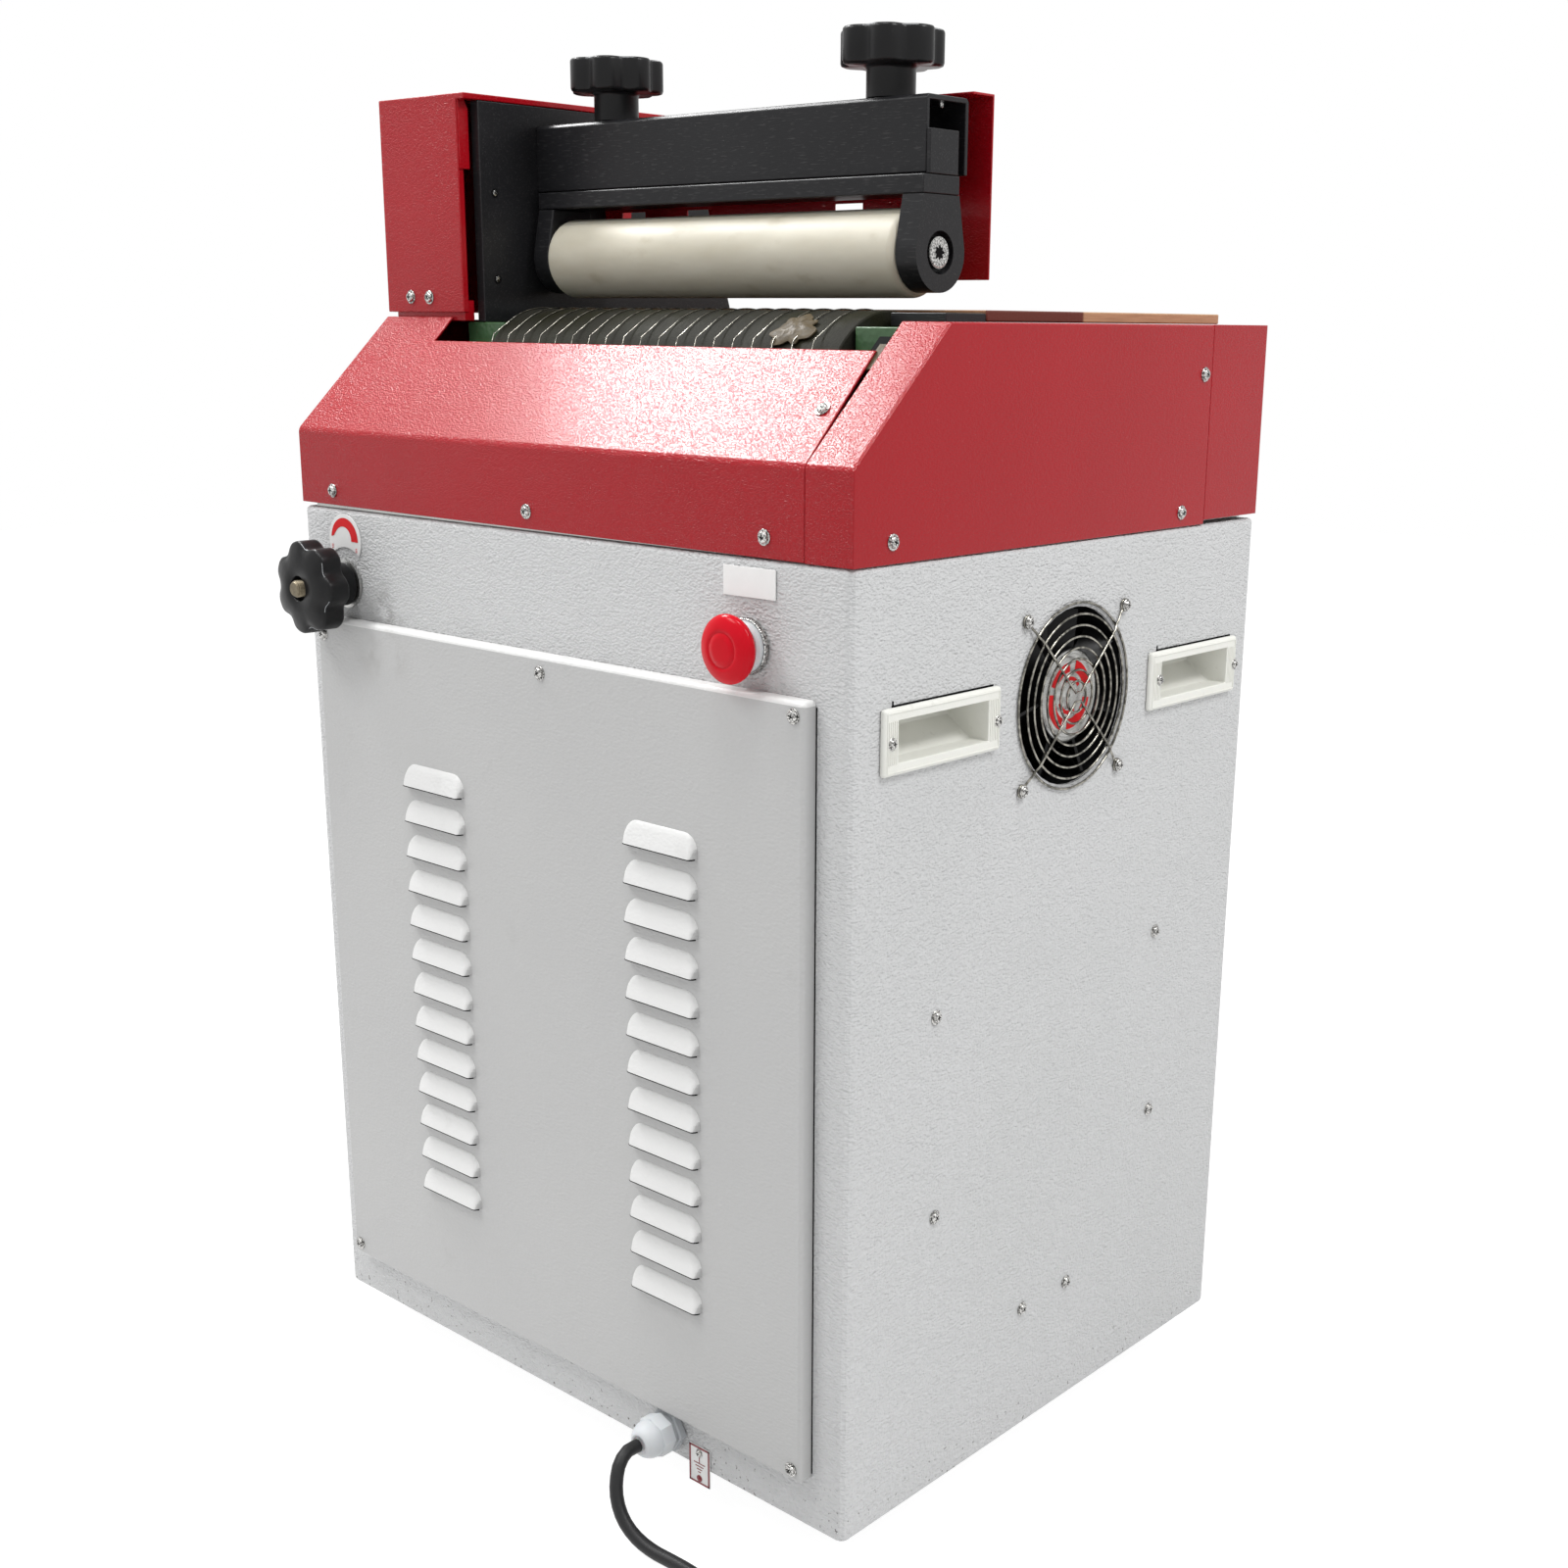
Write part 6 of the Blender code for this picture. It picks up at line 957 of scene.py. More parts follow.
def louvre_line(column, bottom, inset, share):
    """The louvre's outline, pulled in by inset: up the left side, over the top and down the right side."""
    reach = LOUVRE_WIDTH / 2 - inset
    top = bottom + LOUVRE_HEIGHT - inset
    corner = max(LOUVRE_CORNER - inset, 0.0004)
    points = [(column - reach, bottom)]
    for index in range(9):
        angle = pi / 2 * index / 8
        points.append((column - reach + corner * (1 - cos(angle)), top - corner * (1 - sin(angle))))
    points = [(x, louvre_front(z - bottom, share), z) for x, z in points]
    mirrored = [(2 * column - x, y, z) for x, y, z in reversed(points)]
    return points + mirrored


def add_louvre(shape, column, bottom):
    """One pressed louvre, open at its straight lower edge, with the thickness of its sheet."""
    rings = [louvre_line(column, bottom, inset, share) for inset, share in LOUVRE_LEVELS]
    rings[0] = [(x, y + 0.00002, z) for x, y, z in rings[0]]
    rows = loft(shape, rings, closed=False, caps=False)
    shape.faces.new(rows[-1])
    lip = [row[0] for row in rows] + [row[-1] for row in reversed(rows)]
    inner = []
    for vert in lip:
        y = min(vert.co.y + LOUVRE_SHEET, DOOR_FRONT)
        inner.append(shape.verts.new((vert.co.x, y, vert.co.z + 0.0003)))
    for a, b, c, d in zip(lip, lip[1:], inner[1:], inner):
        shape.faces.new((a, b, c, d))


def add_louvre_shade(shade_parts, column, bottom):
    """Painted shade: a black sheet across the open mouth under a louvre, and a black rod just under its lip
    as painted shadow.
    """
    z = bottom + 0.0005
    reach = LOUVRE_WIDTH / 2
    outline = [(-reach + inset, share) for inset, share in LOUVRE_LEVELS[1:]]
    outline += [(reach - inset, share) for inset, share in LOUVRE_LEVELS[:0:-1]]
    # The black sheet across the mouth is painted shade.
    front_line = []
    back_line = []
    for x, share in outline:
        proud = max(share * LOUVRE_PROUD - LOUVRE_SHEET, 0.0001)
        front_line.append(shade_parts.verts.new((column + x, DOOR_FRONT - proud, z)))
        back_line.append(shade_parts.verts.new((column + x, DOOR_FRONT - 0.00005, z)))
    shade_parts.faces.new(front_line + back_line[::-1])
    # Painted shadow: a thin black rod just under the lip.
    rim = [(column + x, DOOR_FRONT - share * LOUVRE_PROUD * 0.94, z - 0.0007) for x, share in outline]
    tube(shade_parts, rim, LOUVRE_LIP_SHADOW_RADIUS, 6)


def add_cabinet():
    def outside(place):
        return abs(place.x) > RIM_SIDE or place.y < RIM_BAND or place.y > CABINET_DEPTH - RIM_BAND

    def rim(edge):
        a, b = (vert.co for vert in edge.verts)
        if abs(a.z - b.z) > 1e-4 or min(abs(a.z), abs(a.z - CABINET_HEIGHT)) > 1e-4:
            return False
        return outside(a) and outside(b)

    refine("cabinet_shell", "cabinet_paint", folds=rim, fold_radius=RIM_RADIUS)
    for name in ("foot_front_left", "foot_front_right", "foot_rear_left", "foot_rear_right"):
        refine(name, "rubber", 0.0010, 3)
    dress("base_plate", "cabinet_paint")


def add_covers():
    def front_bend(edge):
        return all(abs(v.co.z - BEND_HEIGHT) < 0.002 and v.co.y < 0.001 for v in edge.verts)

    def outer_bend(edge):
        a, b = (v.co for v in edge.verts)
        on_front = a.y < 0.001 and b.y < 0.001 and a.z > 0.604 and b.z > 0.604
        on_slope = abs(a.y - b.y) > 0.05 and abs(a.z - b.z) > 0.05
        on_top = min(a.z, b.z) > COVER_TOP - 0.0005
        on_side = abs(a.x) > HALF_WIDTH - 0.0005 and abs(b.x) > HALF_WIDTH - 0.0005
        return on_side and (on_front or on_slope or on_top) or front_bend(edge)

    def gaping(place):
        """The front cover's right edge leaves the right cover towards its top."""
        if place.x < SEAM_X - 0.006 or place.z < BEND_HEIGHT + 0.002:
            return place
        return place - Vector((COVER_GAP * (place.z - BEND_HEIGHT) / (COVER_TOP - BEND_HEIGHT), 0, 0))

    refine("front_cover", "red_paint", 0.0004, folds=front_bend, fold_radius=0.0026, shift=gaping)
    refine("right_cover", "red_paint", 0.0004, folds=outer_bend, fold_radius=0.0018)
    refine("left_cover", "red_paint", 0.0004, folds=outer_bend, fold_radius=0.0018)
    refine("rear_cover", "red_paint", 0.0004)
    refine("column_cover", "red_paint", 0.0008, 3)
    refine("rear_guard", "red_paint", 0.0005)


def add_strip(name, ends, outline, slot, finish=None):
    """A straight piece along X between its ends, its outline given as (y, z)."""
    shape = bmesh.new()
    loft(shape, [[(x, y, z) for y, z in outline] for x in ends])
    outward(shape)
    new_piece(name, shape, "machine", slot, finish)


def add_cover_strips():
    """What shows in the seam of the front cover, a black sheet of painted shade and a small clip, and the
    small bent parts at the foot of the column.
    """
    # Painted shade: a black sheet just under the seam.
    shade_outline = ((0.0040, 0.6505), (0.0790, 0.7217), (0.0787, 0.7226), (0.0037, 0.6514))
    add_strip("seam_shade_sheet", (0.2070, 0.2235), shade_outline, "red_paint", "gap_black")
    clip = ((0.0560, 0.7045), (0.0700, 0.7178), (0.0695, 0.7186), (0.0555, 0.7053))
    add_strip("seam_clip", (0.2150, 0.2215), clip, "steel", "glue")
    foot = bmesh.new()
    block(foot, (-0.2480, 0.0818, 0.7285), (-0.1712, 0.0900, 0.7420), 0.0004)
    new_piece("column_foot", foot, "machine", "red_paint")
    tab = ((0.0810, 0.8277), (0.0890, 0.8277), (0.0890, 0.8660), (0.0850, 0.8740), (0.0810, 0.8750))
    add_strip("column_tab", (COLUMN_FACE + 0.0001, COLUMN_FACE + 0.0012), tab, "red_paint")


# Screws

SCREW_RINGS = ((4.7, 0.0), (4.7, 0.6), (4.5, 0.8), (3.5, 0.8), (3.45, 1.5), (3.1, 2.2), (2.6, 2.5))
CROSS_REACH = 1.75
CROSS_HALF_WIDTH = 0.42


def cross_radius(angle):
    """The reach of the driver's cross at an angle, in millimetres."""
    lean = abs((angle + pi / 4) % (pi / 2) - pi / 4)
    if tan(lean) * CROSS_REACH <= CROSS_HALF_WIDTH * 1.02:
        return CROSS_REACH / cos(lean)
    return CROSS_HALF_WIDTH / sin(lean)


def add_screw(shape, dark, place, axis, size=1.0, turn=0.0):
    """A pan head screw on its washer, which sits at the place, with its cross recess lined by a black shell
    of painted shade in the dark shape.
    """
    place = Vector(place)
    axis = Vector(axis)
    side, up = frame_of(axis)
    corner = atan2(CROSS_HALF_WIDTH, CROSS_REACH)
    quarter = (0.0, corner, corner + 0.16, pi / 4, pi / 2 - corner - 0.16, pi / 2 - corner)
    angles = [step + pi / 2 * index for index in range(4) for step in quarter]
    unit = 0.001 * size

    def ring(radii, height):
        points = []
        for angle, radius in zip(angles, radii):
            spot = angle + turn
            points.append(place + axis * height * unit + (side * cos(spot) + up * sin(spot)) * radius * unit)
        return points

    rings = [ring([radius] * len(angles), height) for radius, height in SCREW_RINGS]
    cross = [cross_radius(angle) for angle in angles]
    rings.append(ring(cross, 2.6))
    rings.append(ring([radius * 0.8 for radius in cross], 1.2))
    loft(shape, rings)
    # Painted shade: a black shell lines the cross recess.
    recess = [radius * 0.97 for radius in cross]
    loft(dark, [ring(recess, 1.3), ring(recess, 2.2)])


PANEL_SCREWS = (
    ((-0.2201, 0.0, 0.6144), (0, -1, 0)),
    ((-0.0132, 0.0, 0.6144), (0, -1, 0)),
    ((0.1917, 0.0, 0.6144), (0, -1, 0)),
    ((0.2079, 0.0299, 0.6836), (0, -0.6887, 0.7250)),
    ((HALF_WIDTH, 0.0328, 0.6144), (1, 0, 0)),
    ((HALF_WIDTH, 0.3275, 0.6118), (1, 0, 0)),
    ((HALF_WIDTH, 0.3475, 0.6996), (1, 0, 0)),
    ((HALF_WIDTH, 0.0809, 0.3257), (1, 0, 0)),
    ((HALF_WIDTH, 0.3234, 0.3242), (1, 0, 0)),
    ((HALF_WIDTH, 0.3275, 0.1900), (1, 0, 0)),
    ((HALF_WIDTH, 0.0839, 0.1926), (1, 0, 0)),
    ((HALF_WIDTH, 0.2325, 0.0906), (1, 0, 0)),
    ((HALF_WIDTH, 0.1813, 0.0904), (1, 0, 0)),
    ((0.2235, DOOR_FRONT, 0.5190), (0, -1, 0)),
    ((0.0067, DOOR_FRONT, 0.5162), (0, -1, 0)),
    ((-0.2270, DOOR_FRONT, 0.5153), (0, -1, 0)),
    ((-0.2270, DOOR_FRONT, 0.0450), (0, -1, 0)),
    ((0.2235, DOOR_FRONT, 0.0440), (0, -1, 0)),
    ((-0.2288, 0.0800, 0.7442), (0, -1, 0)),
    ((-0.2077, 0.0800, 0.7439), (0, -1, 0)),
    ((-HALF_WIDTH, 0.0328, 0.6144), (-1, 0, 0)),
    ((-HALF_WIDTH, 0.3275, 0.6118), (-1, 0, 0)),
    ((-HALF_WIDTH, 0.3475, 0.6996), (-1, 0, 0)),
    ((-HALF_WIDTH, 0.0809, 0.3257), (-1, 0, 0)),
    ((-HALF_WIDTH, 0.3234, 0.3242), (-1, 0, 0)),
    ((-HALF_WIDTH, 0.3275, 0.1900), (-1, 0, 0)),
    ((-HALF_WIDTH, 0.0839, 0.1926), (-1, 0, 0)),
)
HANDLE_SCREWS = ((0.0305, 0.5026), (0.1287, 0.5016), (0.3059, 0.5037), (0.4017, 0.5026))
HANDLE_PROUD = 0.0040
HANDLE_Y = (0.078, 0.350)
HANDLE_Z = 0.503
HANDLE_HALF_WIDE = 0.054
HANDLE_HALF_HIGH = 0.0195


def add_screws():
    shape = bmesh.new()
    dark = bmesh.new()
    for index, (place, axis) in enumerate(PANEL_SCREWS):
        add_screw(shape, dark, place, axis, 1.0, index * 0.7)
    for side in (1, -1):
        for index, (y, z) in enumerate(HANDLE_SCREWS):
            place = (side * (HALF_WIDTH + HANDLE_PROUD), y, z)
            add_screw(shape, dark, place, (side, 0, 0), 0.78, index * 0.9)
    for quarter in range(4):
        eye = on_fan(HALF_WIDTH + 0.0024, GUARD_EYE, pi / 4 + quarter * pi / 2)
        add_screw(shape, dark, eye, (1, 0, 0), 0.84, quarter)
    add_screw(shape, dark, (TAG_X, -0.0012, 0.0123), (0, -1, 0), 0.62)
    for x in (-0.142, 0.142):
        for z in (0.408, 0.552):
            add_screw(shape, dark, (x, PANEL_REAR, z), (0, 1, 0), 0.8, x + z)
    for x in (-0.225, 0.0, 0.225):
        add_screw(shape, dark, (x, CABINET_DEPTH, 0.6144), (0, 1, 0), 1.0, x)
    # The black recess shells are painted shade.
    for piece, name, finish in ((shape, "screws", "chrome"), (dark, "screw_recess_shade", "gap_black")):
        outward(piece)
        new_piece(name, piece, "machine", "steel", finish, 40)


def add_handles():
    """The four recessed handles, with the stepped line round each mouth and the fine ribs beside it."""

    def corner(edge):
        a, b = (v.co for v in edge.verts)
        if abs(a.x - b.x) < 0.002 or min(abs(a.x), abs(b.x)) < HALF_WIDTH - 0.001:
            return False
        off_top = abs(abs(a.z - HANDLE_Z) - HANDLE_HALF_HIGH)
        off_end = min(abs(abs(a.y - y) - HANDLE_HALF_WIDE) for y in HANDLE_Y)
        return off_top < 0.0006 and off_end < 0.0006

    for name in ("handle_left_front", "handle_left_rear", "handle_right_front", "handle_right_rear"):
        refine(name, "ivory_plastic", 0.0007, 3, folds=corner, fold_radius=0.0024)
    trim = bmesh.new()
    shade_parts = bmesh.new()
    for side in (1, -1):
        face = side * (HALF_WIDTH + HANDLE_PROUD)
        for middle in HANDLE_Y:
            for shift in (-1, 1):
                for index in range(5):
                    y = middle + shift * (0.0434 + index * 0.0017)
                    add_bar(trim, (face, y, HANDLE_Z), 0.0005, 0.00045, 0.0125, side)
            add_frame(trim, face, middle, HANDLE_Z, 0.0516, 0.0171, 0.0008, side)
            # Painted shade: thin black bars in the gap along each handle's top edge, and a short one at its
            # end.
            add_bar(shade_parts, (side * HALF_WIDTH, middle + 0.003, 0.5229), 0.0004, 0.0470, 0.0006, side)
            add_bar(shade_parts, (side * HALF_WIDTH, middle - 0.0430, 0.5241), 0.0004, 0.0006, 0.0018, side)
    new_piece("handle_trim", trim, "machine", "ivory_plastic")
    new_piece("handle_edge_shade", shade_parts, "machine", "ivory_plastic", "gap_black")


def add_bar(shape, centre, proud, half_y, half_z, side):
    x, y, z = centre
    low = (min(x - side * 0.0002, x + side * proud), y - half_y, z - half_z)
    high = (max(x - side * 0.0002, x + side * proud), y + half_y, z + half_z)
    block(shape, low, high, 0.00015, 1)


def add_frame(shape, face, y, z, half_y, half_z, width, side):
    """A raised line round a rectangle."""
    for up in (-1, 1):
        add_bar(shape, (face, y, z + up * half_z), 0.0005, half_y, width / 2, side)
        add_bar(shape, (face, y + up * half_y, z), 0.0005, width / 2, half_z, side)


# Fan

FAN_CENTRE = (0.2118, 0.5050)
FAN_ROTOR_FACE = 0.2543
GUARD_RADII = (0.0100, 0.0170, 0.0240, 0.0310, 0.0380, 0.0450, 0.0520, 0.0590)
GUARD_WIRE = 0.0008
GUARD_CROWN = 0.2617
GUARD_RIM = 0.2602
GUARD_EYE = 0.0741
GUARD_CROSS = 0.0040
HUB_RADIUS = 0.0290
HUB_ARCS = (
    (0.0150, 0.0225, 15, 74),
    (0.0150, 0.0212, 92, 158),
    (0.0152, 0.0228, 172, 246),
    (0.0150, 0.0215, 264, 350),
    (0.0095, 0.0120, 30, 120),
    (0.0095, 0.0120, 200, 300),
)


def on_fan(x, radius, angle):
    return Vector((x, FAN_CENTRE[0] + radius * cos(angle), FAN_CENTRE[1] + radius * sin(angle)))


def add_guard():
    """The wire guard: rings, with two bent wires over them."""
    guard = bmesh.new()
    for index, radius in enumerate(GUARD_RADII):
        x = GUARD_CROWN - 1.85 * GUARD_WIRE if radius < GUARD_RADII[-1] else GUARD_RIM - 1.85 * GUARD_WIRE
        tube(guard, [on_fan(x, radius, 2 * pi * k / 72) for k in range(72)], GUARD_WIRE, 8, closed=True)
    stops = (
        (GUARD_EYE - 0.0036, 0.2587),
        (GUARD_EYE - 0.0075, 0.2590),
        (GUARD_RADII[-1] + 0.0040, 0.2600),
        (GUARD_RADII[-1], GUARD_RIM),
        (GUARD_RADII[-2] + 0.0020, GUARD_CROWN),
        (GUARD_RADII[1], GUARD_CROWN),
        (GUARD_CROSS, GUARD_CROWN),
    )
    for start in (pi / 4, 5 * pi / 4):
        path = [on_fan(x, radius, start) for radius, x in stops]
        path.append(on_fan(GUARD_CROWN, GUARD_CROSS * 0.75, start + pi / 4))
        path += [on_fan(x, radius, start + pi / 2) for radius, x in reversed(stops)]
        tube(guard, path, GUARD_WIRE, 8)
    for quarter in range(4):
        eye = on_fan(0.2586, GUARD_EYE, pi / 4 + quarter * pi / 2)
        turns = [2 * pi * k / 28 for k in range(28)]
        ring = [eye + Vector((0.0, cos(turn) * 0.0036, sin(turn) * 0.0036)) for turn in turns]
        tube(guard, ring, GUARD_WIRE, 8, closed=True)
    outward(guard)
    new_piece("wire_guard", guard, "machine", "steel", "wire_plating", 60, replaces=("fan_guard",))


def add_rotor():
    """The fan's frame and rotor, and the printed disc on the rotor's hub."""
    disc = bmesh.new()
    face = FAN_ROTOR_FACE
    profile = [(0.0001, face - 0.0002)]
    for radius in (0.0040, 0.0075, 0.0130, 0.0225, 0.0262):
        for away, proud in ((0.0, 0.0004), (0.0003, 0.0002), (0.0006, 0.0004)):
            profile.append((radius + away, face + proud))
    profile += [(HUB_RADIUS - 0.0006, face + 0.0004), (HUB_RADIUS, face)]
    turned(disc, (0.0, *FAN_CENTRE), (1, 0, 0), profile, 64)
    outward(disc)
    new_piece("hub_disc", disc, "fan_rotor", "steel")
    marks = bmesh.new()
    for inner, outer, start, stop in HUB_ARCS:
        add_arc(marks, face + 0.00045, inner, outer, radians(start), radians(stop))
    new_piece("hub_rings", marks, "fan_rotor", "red_plastic", "print_red")
    dress("fan_frame", "black_plastic")
    dress("fan_rotor", "black_plastic")


def add_arc(shape, x, inner, outer, start, stop):
    """A thin flat arc on the hub's disc."""
    steps = 24
    angles = [start + (stop - start) * k / steps for k in range(steps + 1)]
    rows = []
    for lift in (0.0, 0.0001):
        for radius in (inner, outer):
            rows.append([on_fan(x + lift, radius, angle) for angle in angles])
    loft(shape, [rows[0], rows[1], rows[3], rows[2], rows[0]], closed=False, caps=False)
    bmesh.ops.remove_doubles(shape, verts=shape.verts, dist=1e-8)
    outward(shape)


# Controls on the front

KNOB_LOBES = 7
KNOB_LOBE_DEPTH = 0.15
THICKNESS_CENTRE = (-0.2080, 0.0, 0.5515)
BUTTON_CENTRE = (0.1800, 0.0, 0.5523)
DIAL_CENTRE = (-0.2080, 0.5812)
GLAND_CENTRE = (0.1059, 0.0, 0.0203)
TAG_X = 0.1331
PRINT_FACE = -0.0012


def lobes(angle):
    """The outline of a star knob's head, as a share of its radius."""
    hollow = (0.5 - 0.5 * cos(KNOB_LOBES * angle)) ** 1.7
    return 1.0 - KNOB_LOBE_DEPTH * hollow


def add_star_knob(name, node, place, axis, hub, head, recess, dome=0.0):
    """A star knob in place of a node: round hub, lobed head with rounded edges.

    Sizes are (radius, height) from the seat. dome is how far the middle of its face stands above the edge.
    """
    shape = bmesh.new()
    count = KNOB_LOBES * 16
    place, axis = Vector(place), Vector(axis)
    side, up = frame_of(axis)

    def ring(radius, height, lobed):
        points = []
        for index in range(count):
            angle = 2 * pi * index / count
            reach = radius * (1.0 + (lobes(angle) - 1.0) * lobed)
            points.append(place + axis * height + side * (reach * cos(angle)) + up * (reach * sin(angle)))
        return points

    top = hub[1] + head[1]
    edge = 0.0022
    rings = [
        ring(hub[0] * 0.93, 0.0, False),
        ring(hub[0], 0.0008, False),
        ring(hub[0], hub[1] - 0.0020, False),
        ring(hub[0] + 0.0008, hub[1] - 0.0006, False),
        ring(hub[0] + 0.0022, hub[1], False),
        ring(head[0] - edge, hub[1], True),
        ring(head[0] - edge * 0.29, hub[1] + edge * 0.29, True),
        ring(head[0], hub[1] + edge, True),
        ring(head[0], top - edge, True),
        ring(head[0] - edge * 0.13, top - edge * 0.5, True),
        ring(head[0] - edge * 0.5, top - edge * 0.13, True),
        ring(head[0] - edge, top, True),
    ]
    if recess:
        for radius_share, rise_share in ((0.84, 0.30), (0.70, 0.64), (0.54, 0.88)):
            rings.append(ring(head[0] * radius_share, top + dome * rise_share, radius_share - 0.3))
        face = top + dome
        rings += [
            ring(recess[0] + 0.0006, face, False),
            ring(recess[0], face - 0.0006, False),
            ring(recess[0], face - recess[1], False),
        ]
    loft(shape, rings)
    outward(shape)
    new_piece(name, shape, node, "black_plastic", angle=50, replaces=(node,))
    worn = bmesh.new()
    for index in range(KNOB_LOBES):
        line = []
        for step in range(9):
            angle = 2 * pi * (index + 0.40 + 0.045 * step) / KNOB_LOBES
            reach = (head[0] - edge * 0.20) * lobes(angle)
            flat = side * (reach * cos(angle)) + up * (reach * sin(angle))
            line.append(place + axis * (top - edge * 0.34) + flat)
        tube(worn, line, 0.00016, 6)
    outward(worn)
    new_piece(name + "_worn_edges", worn, node, "black_plastic", "grey_paint")


def add_thickness_knob():
    """The front star knob, the threaded end of its spindle and the light washer behind it."""
    x, y, z = THICKNESS_CENTRE
    add_star_knob(
        "thickness_star",
        "thickness_knob",
        (x, -0.003, z),
        (0, -1, 0),
        hub=(0.0148, 0.0175),
        head=(0.0320, 0.0165),
        recess=(0.0085, 0.0070),
        dome=0.0038,
    )
    dress("thickness_spindle", "steel")
    rod = bmesh.new()
    profile = [(0.0040, 0.0334)]
    for index in range(9):
        profile += [(0.0058, 0.0340 + index * 0.0010), (0.0052, 0.0345 + index * 0.0010)]
    profile += [(0.0053, 0.0430), (0.0044, 0.0442), (0.0012, 0.0443)]
    turned(rod, THICKNESS_CENTRE, (0, -1, 0), profile, 32)
    outward(rod)
    new_piece("spindle_end", rod, "thickness_knob", "steel", "brass")
    washer = bmesh.new()
    profile = [(0.0162, 0.0003), (0.0166, 0.0006), (0.0166, 0.0026), (0.0160, 0.0029)]
    turned(washer, THICKNESS_CENTRE, (0, -1, 0), profile)
    outward(washer)
    new_piece("knob_washer", washer, "thickness_knob", "steel")


def add_button():
    """The red push button: domed head with a groove round its middle, on its collar."""
    head = bmesh.new()
    profile = [
        (0.0073, 0.0078), (0.0073, 0.0130), (0.0160, 0.0130), (0.0184, 0.0139), (0.0195, 0.0155),
        (0.0200, 0.0173), (0.01995, 0.0183), (0.0195, 0.0193), (0.0186, 0.0203), (0.0172, 0.0212),
        (0.0150, 0.0221), (0.0126, 0.0227), (0.0107, 0.0230), (0.0103, 0.0226), (0.0099, 0.0226),
        (0.0095, 0.0231), (0.0060, 0.0234), (0.0010, 0.0235),
    ]
    turned(head, BUTTON_CENTRE, (0, -1, 0), profile, 72)
    outward(head)
    new_piece("button_dome", head, "stop_button", "red_plastic", angle=60, replaces=("button_head",))
    dress("button_body", "grey_plastic")
    ring = bmesh.new()

    def knurl(angle):
        return 1.0 if int(angle * 72 / pi + 0.5) % 2 else 0.984

    profile = [(0.0154, 0.0005), (0.0160, 0.0004), (0.0164, 0.0008), (0.0164, 0.0038), (0.0160, 0.0043)]
    profile += [(0.0154, 0.0042), (0.0154, 0.0005)]
    turned(ring, BUTTON_CENTRE, (0, -1, 0), profile, 144, knurl, bored=True)
    outward(ring)
    new_piece("button_ring", ring, "machine", "steel", "chrome")


def add_plates():
    """The bare label plate, the dial and the earth tag."""
    refine("label_plate", "white_plate", 0.0002)
    refine("dial_plate", "white_plate", 0.0002)
    refine("earth_tag", "white_plate", 0.0002)


def add_dial_print():
    """The dial's red wedge and its short bars."""
    face = PRINT_FACE
    wedge = bmesh.new()
    rows = [[], []]
    steps = 36
    for index in range(steps + 1):
        share = index / steps
        angle = radians(172 - 174 * share)
        thick = 0.0008 + 0.0069 * share ** 0.35
        for row, reach in zip(rows, (0.0154, 0.0154 - thick)):
            row.append((DIAL_CENTRE[0] + reach * cos(angle), DIAL_CENTRE[1] + reach * sin(angle)))
    for face_y in (face, face - 0.0001):
        lines = [[wedge.verts.new((x, face_y, z)) for x, z in row] for row in rows]
        for a, b, c, d in zip(lines[0], lines[0][1:], lines[1][1:], lines[1]):
            wedge.faces.new((a, b, c, d))
    for x, z in ((-0.0152, -0.0060), (0.0122, -0.0074)):
        for step in range(3):
            low = Vector((DIAL_CENTRE[0] + x, face - 0.0001, DIAL_CENTRE[1] + z + step * 0.0011))
            block(wedge, low, low + Vector((0.0018, 0.0002, 0.0004)))
    new_piece("dial_wedge", wedge, "machine", "red_plastic", "print_red")


def add_tag_print():
    """The earth tag's border, its lower ring and the bars of its symbol."""
    face = PRINT_FACE
    border = bmesh.new()
    low, high = (TAG_X - 0.0093, -0.0106), (TAG_X + 0.0093, 0.0168)
    for x0, z0, x1, z1 in (
        (low[0], low[1], low[0] + 0.0013, high[1]),
        (high[0] - 0.0013, low[1], high[0], high[1]),
        (low[0], low[1], high[0], low[1] + 0.0013),
        (low[0], high[1] - 0.0013, high[0], high[1]),
    ):
        block(border, (x0, face - 0.0001, z0), (x1, face + 0.0001, z1))
    for reach in (0.0024, 0.0010):
        turned(border, (TAG_X, 0, -0.0066), (0, -1, 0), [(reach, -face), (reach, 0.0026 - reach * 0.5)], 24)
    new_piece("tag_border", border, "machine", "red_plastic", "print_dark_red")
    bars = bmesh.new()
    for z, half in ((0.0042, 0.0052), (0.0020, 0.0037), (-0.0002, 0.0024), (-0.0022, 0.0012)):
        block(bars, (TAG_X - half, face - 0.0001, z), (TAG_X + half, face + 0.0001, z + 0.0006))
    block(bars, (TAG_X - 0.0003, face - 0.0001, 0.0042), (TAG_X + 0.0003, face + 0.0001, 0.0090))
    new_piece("tag_bars", bars, "machine", "red_plastic", "print_dark_red")


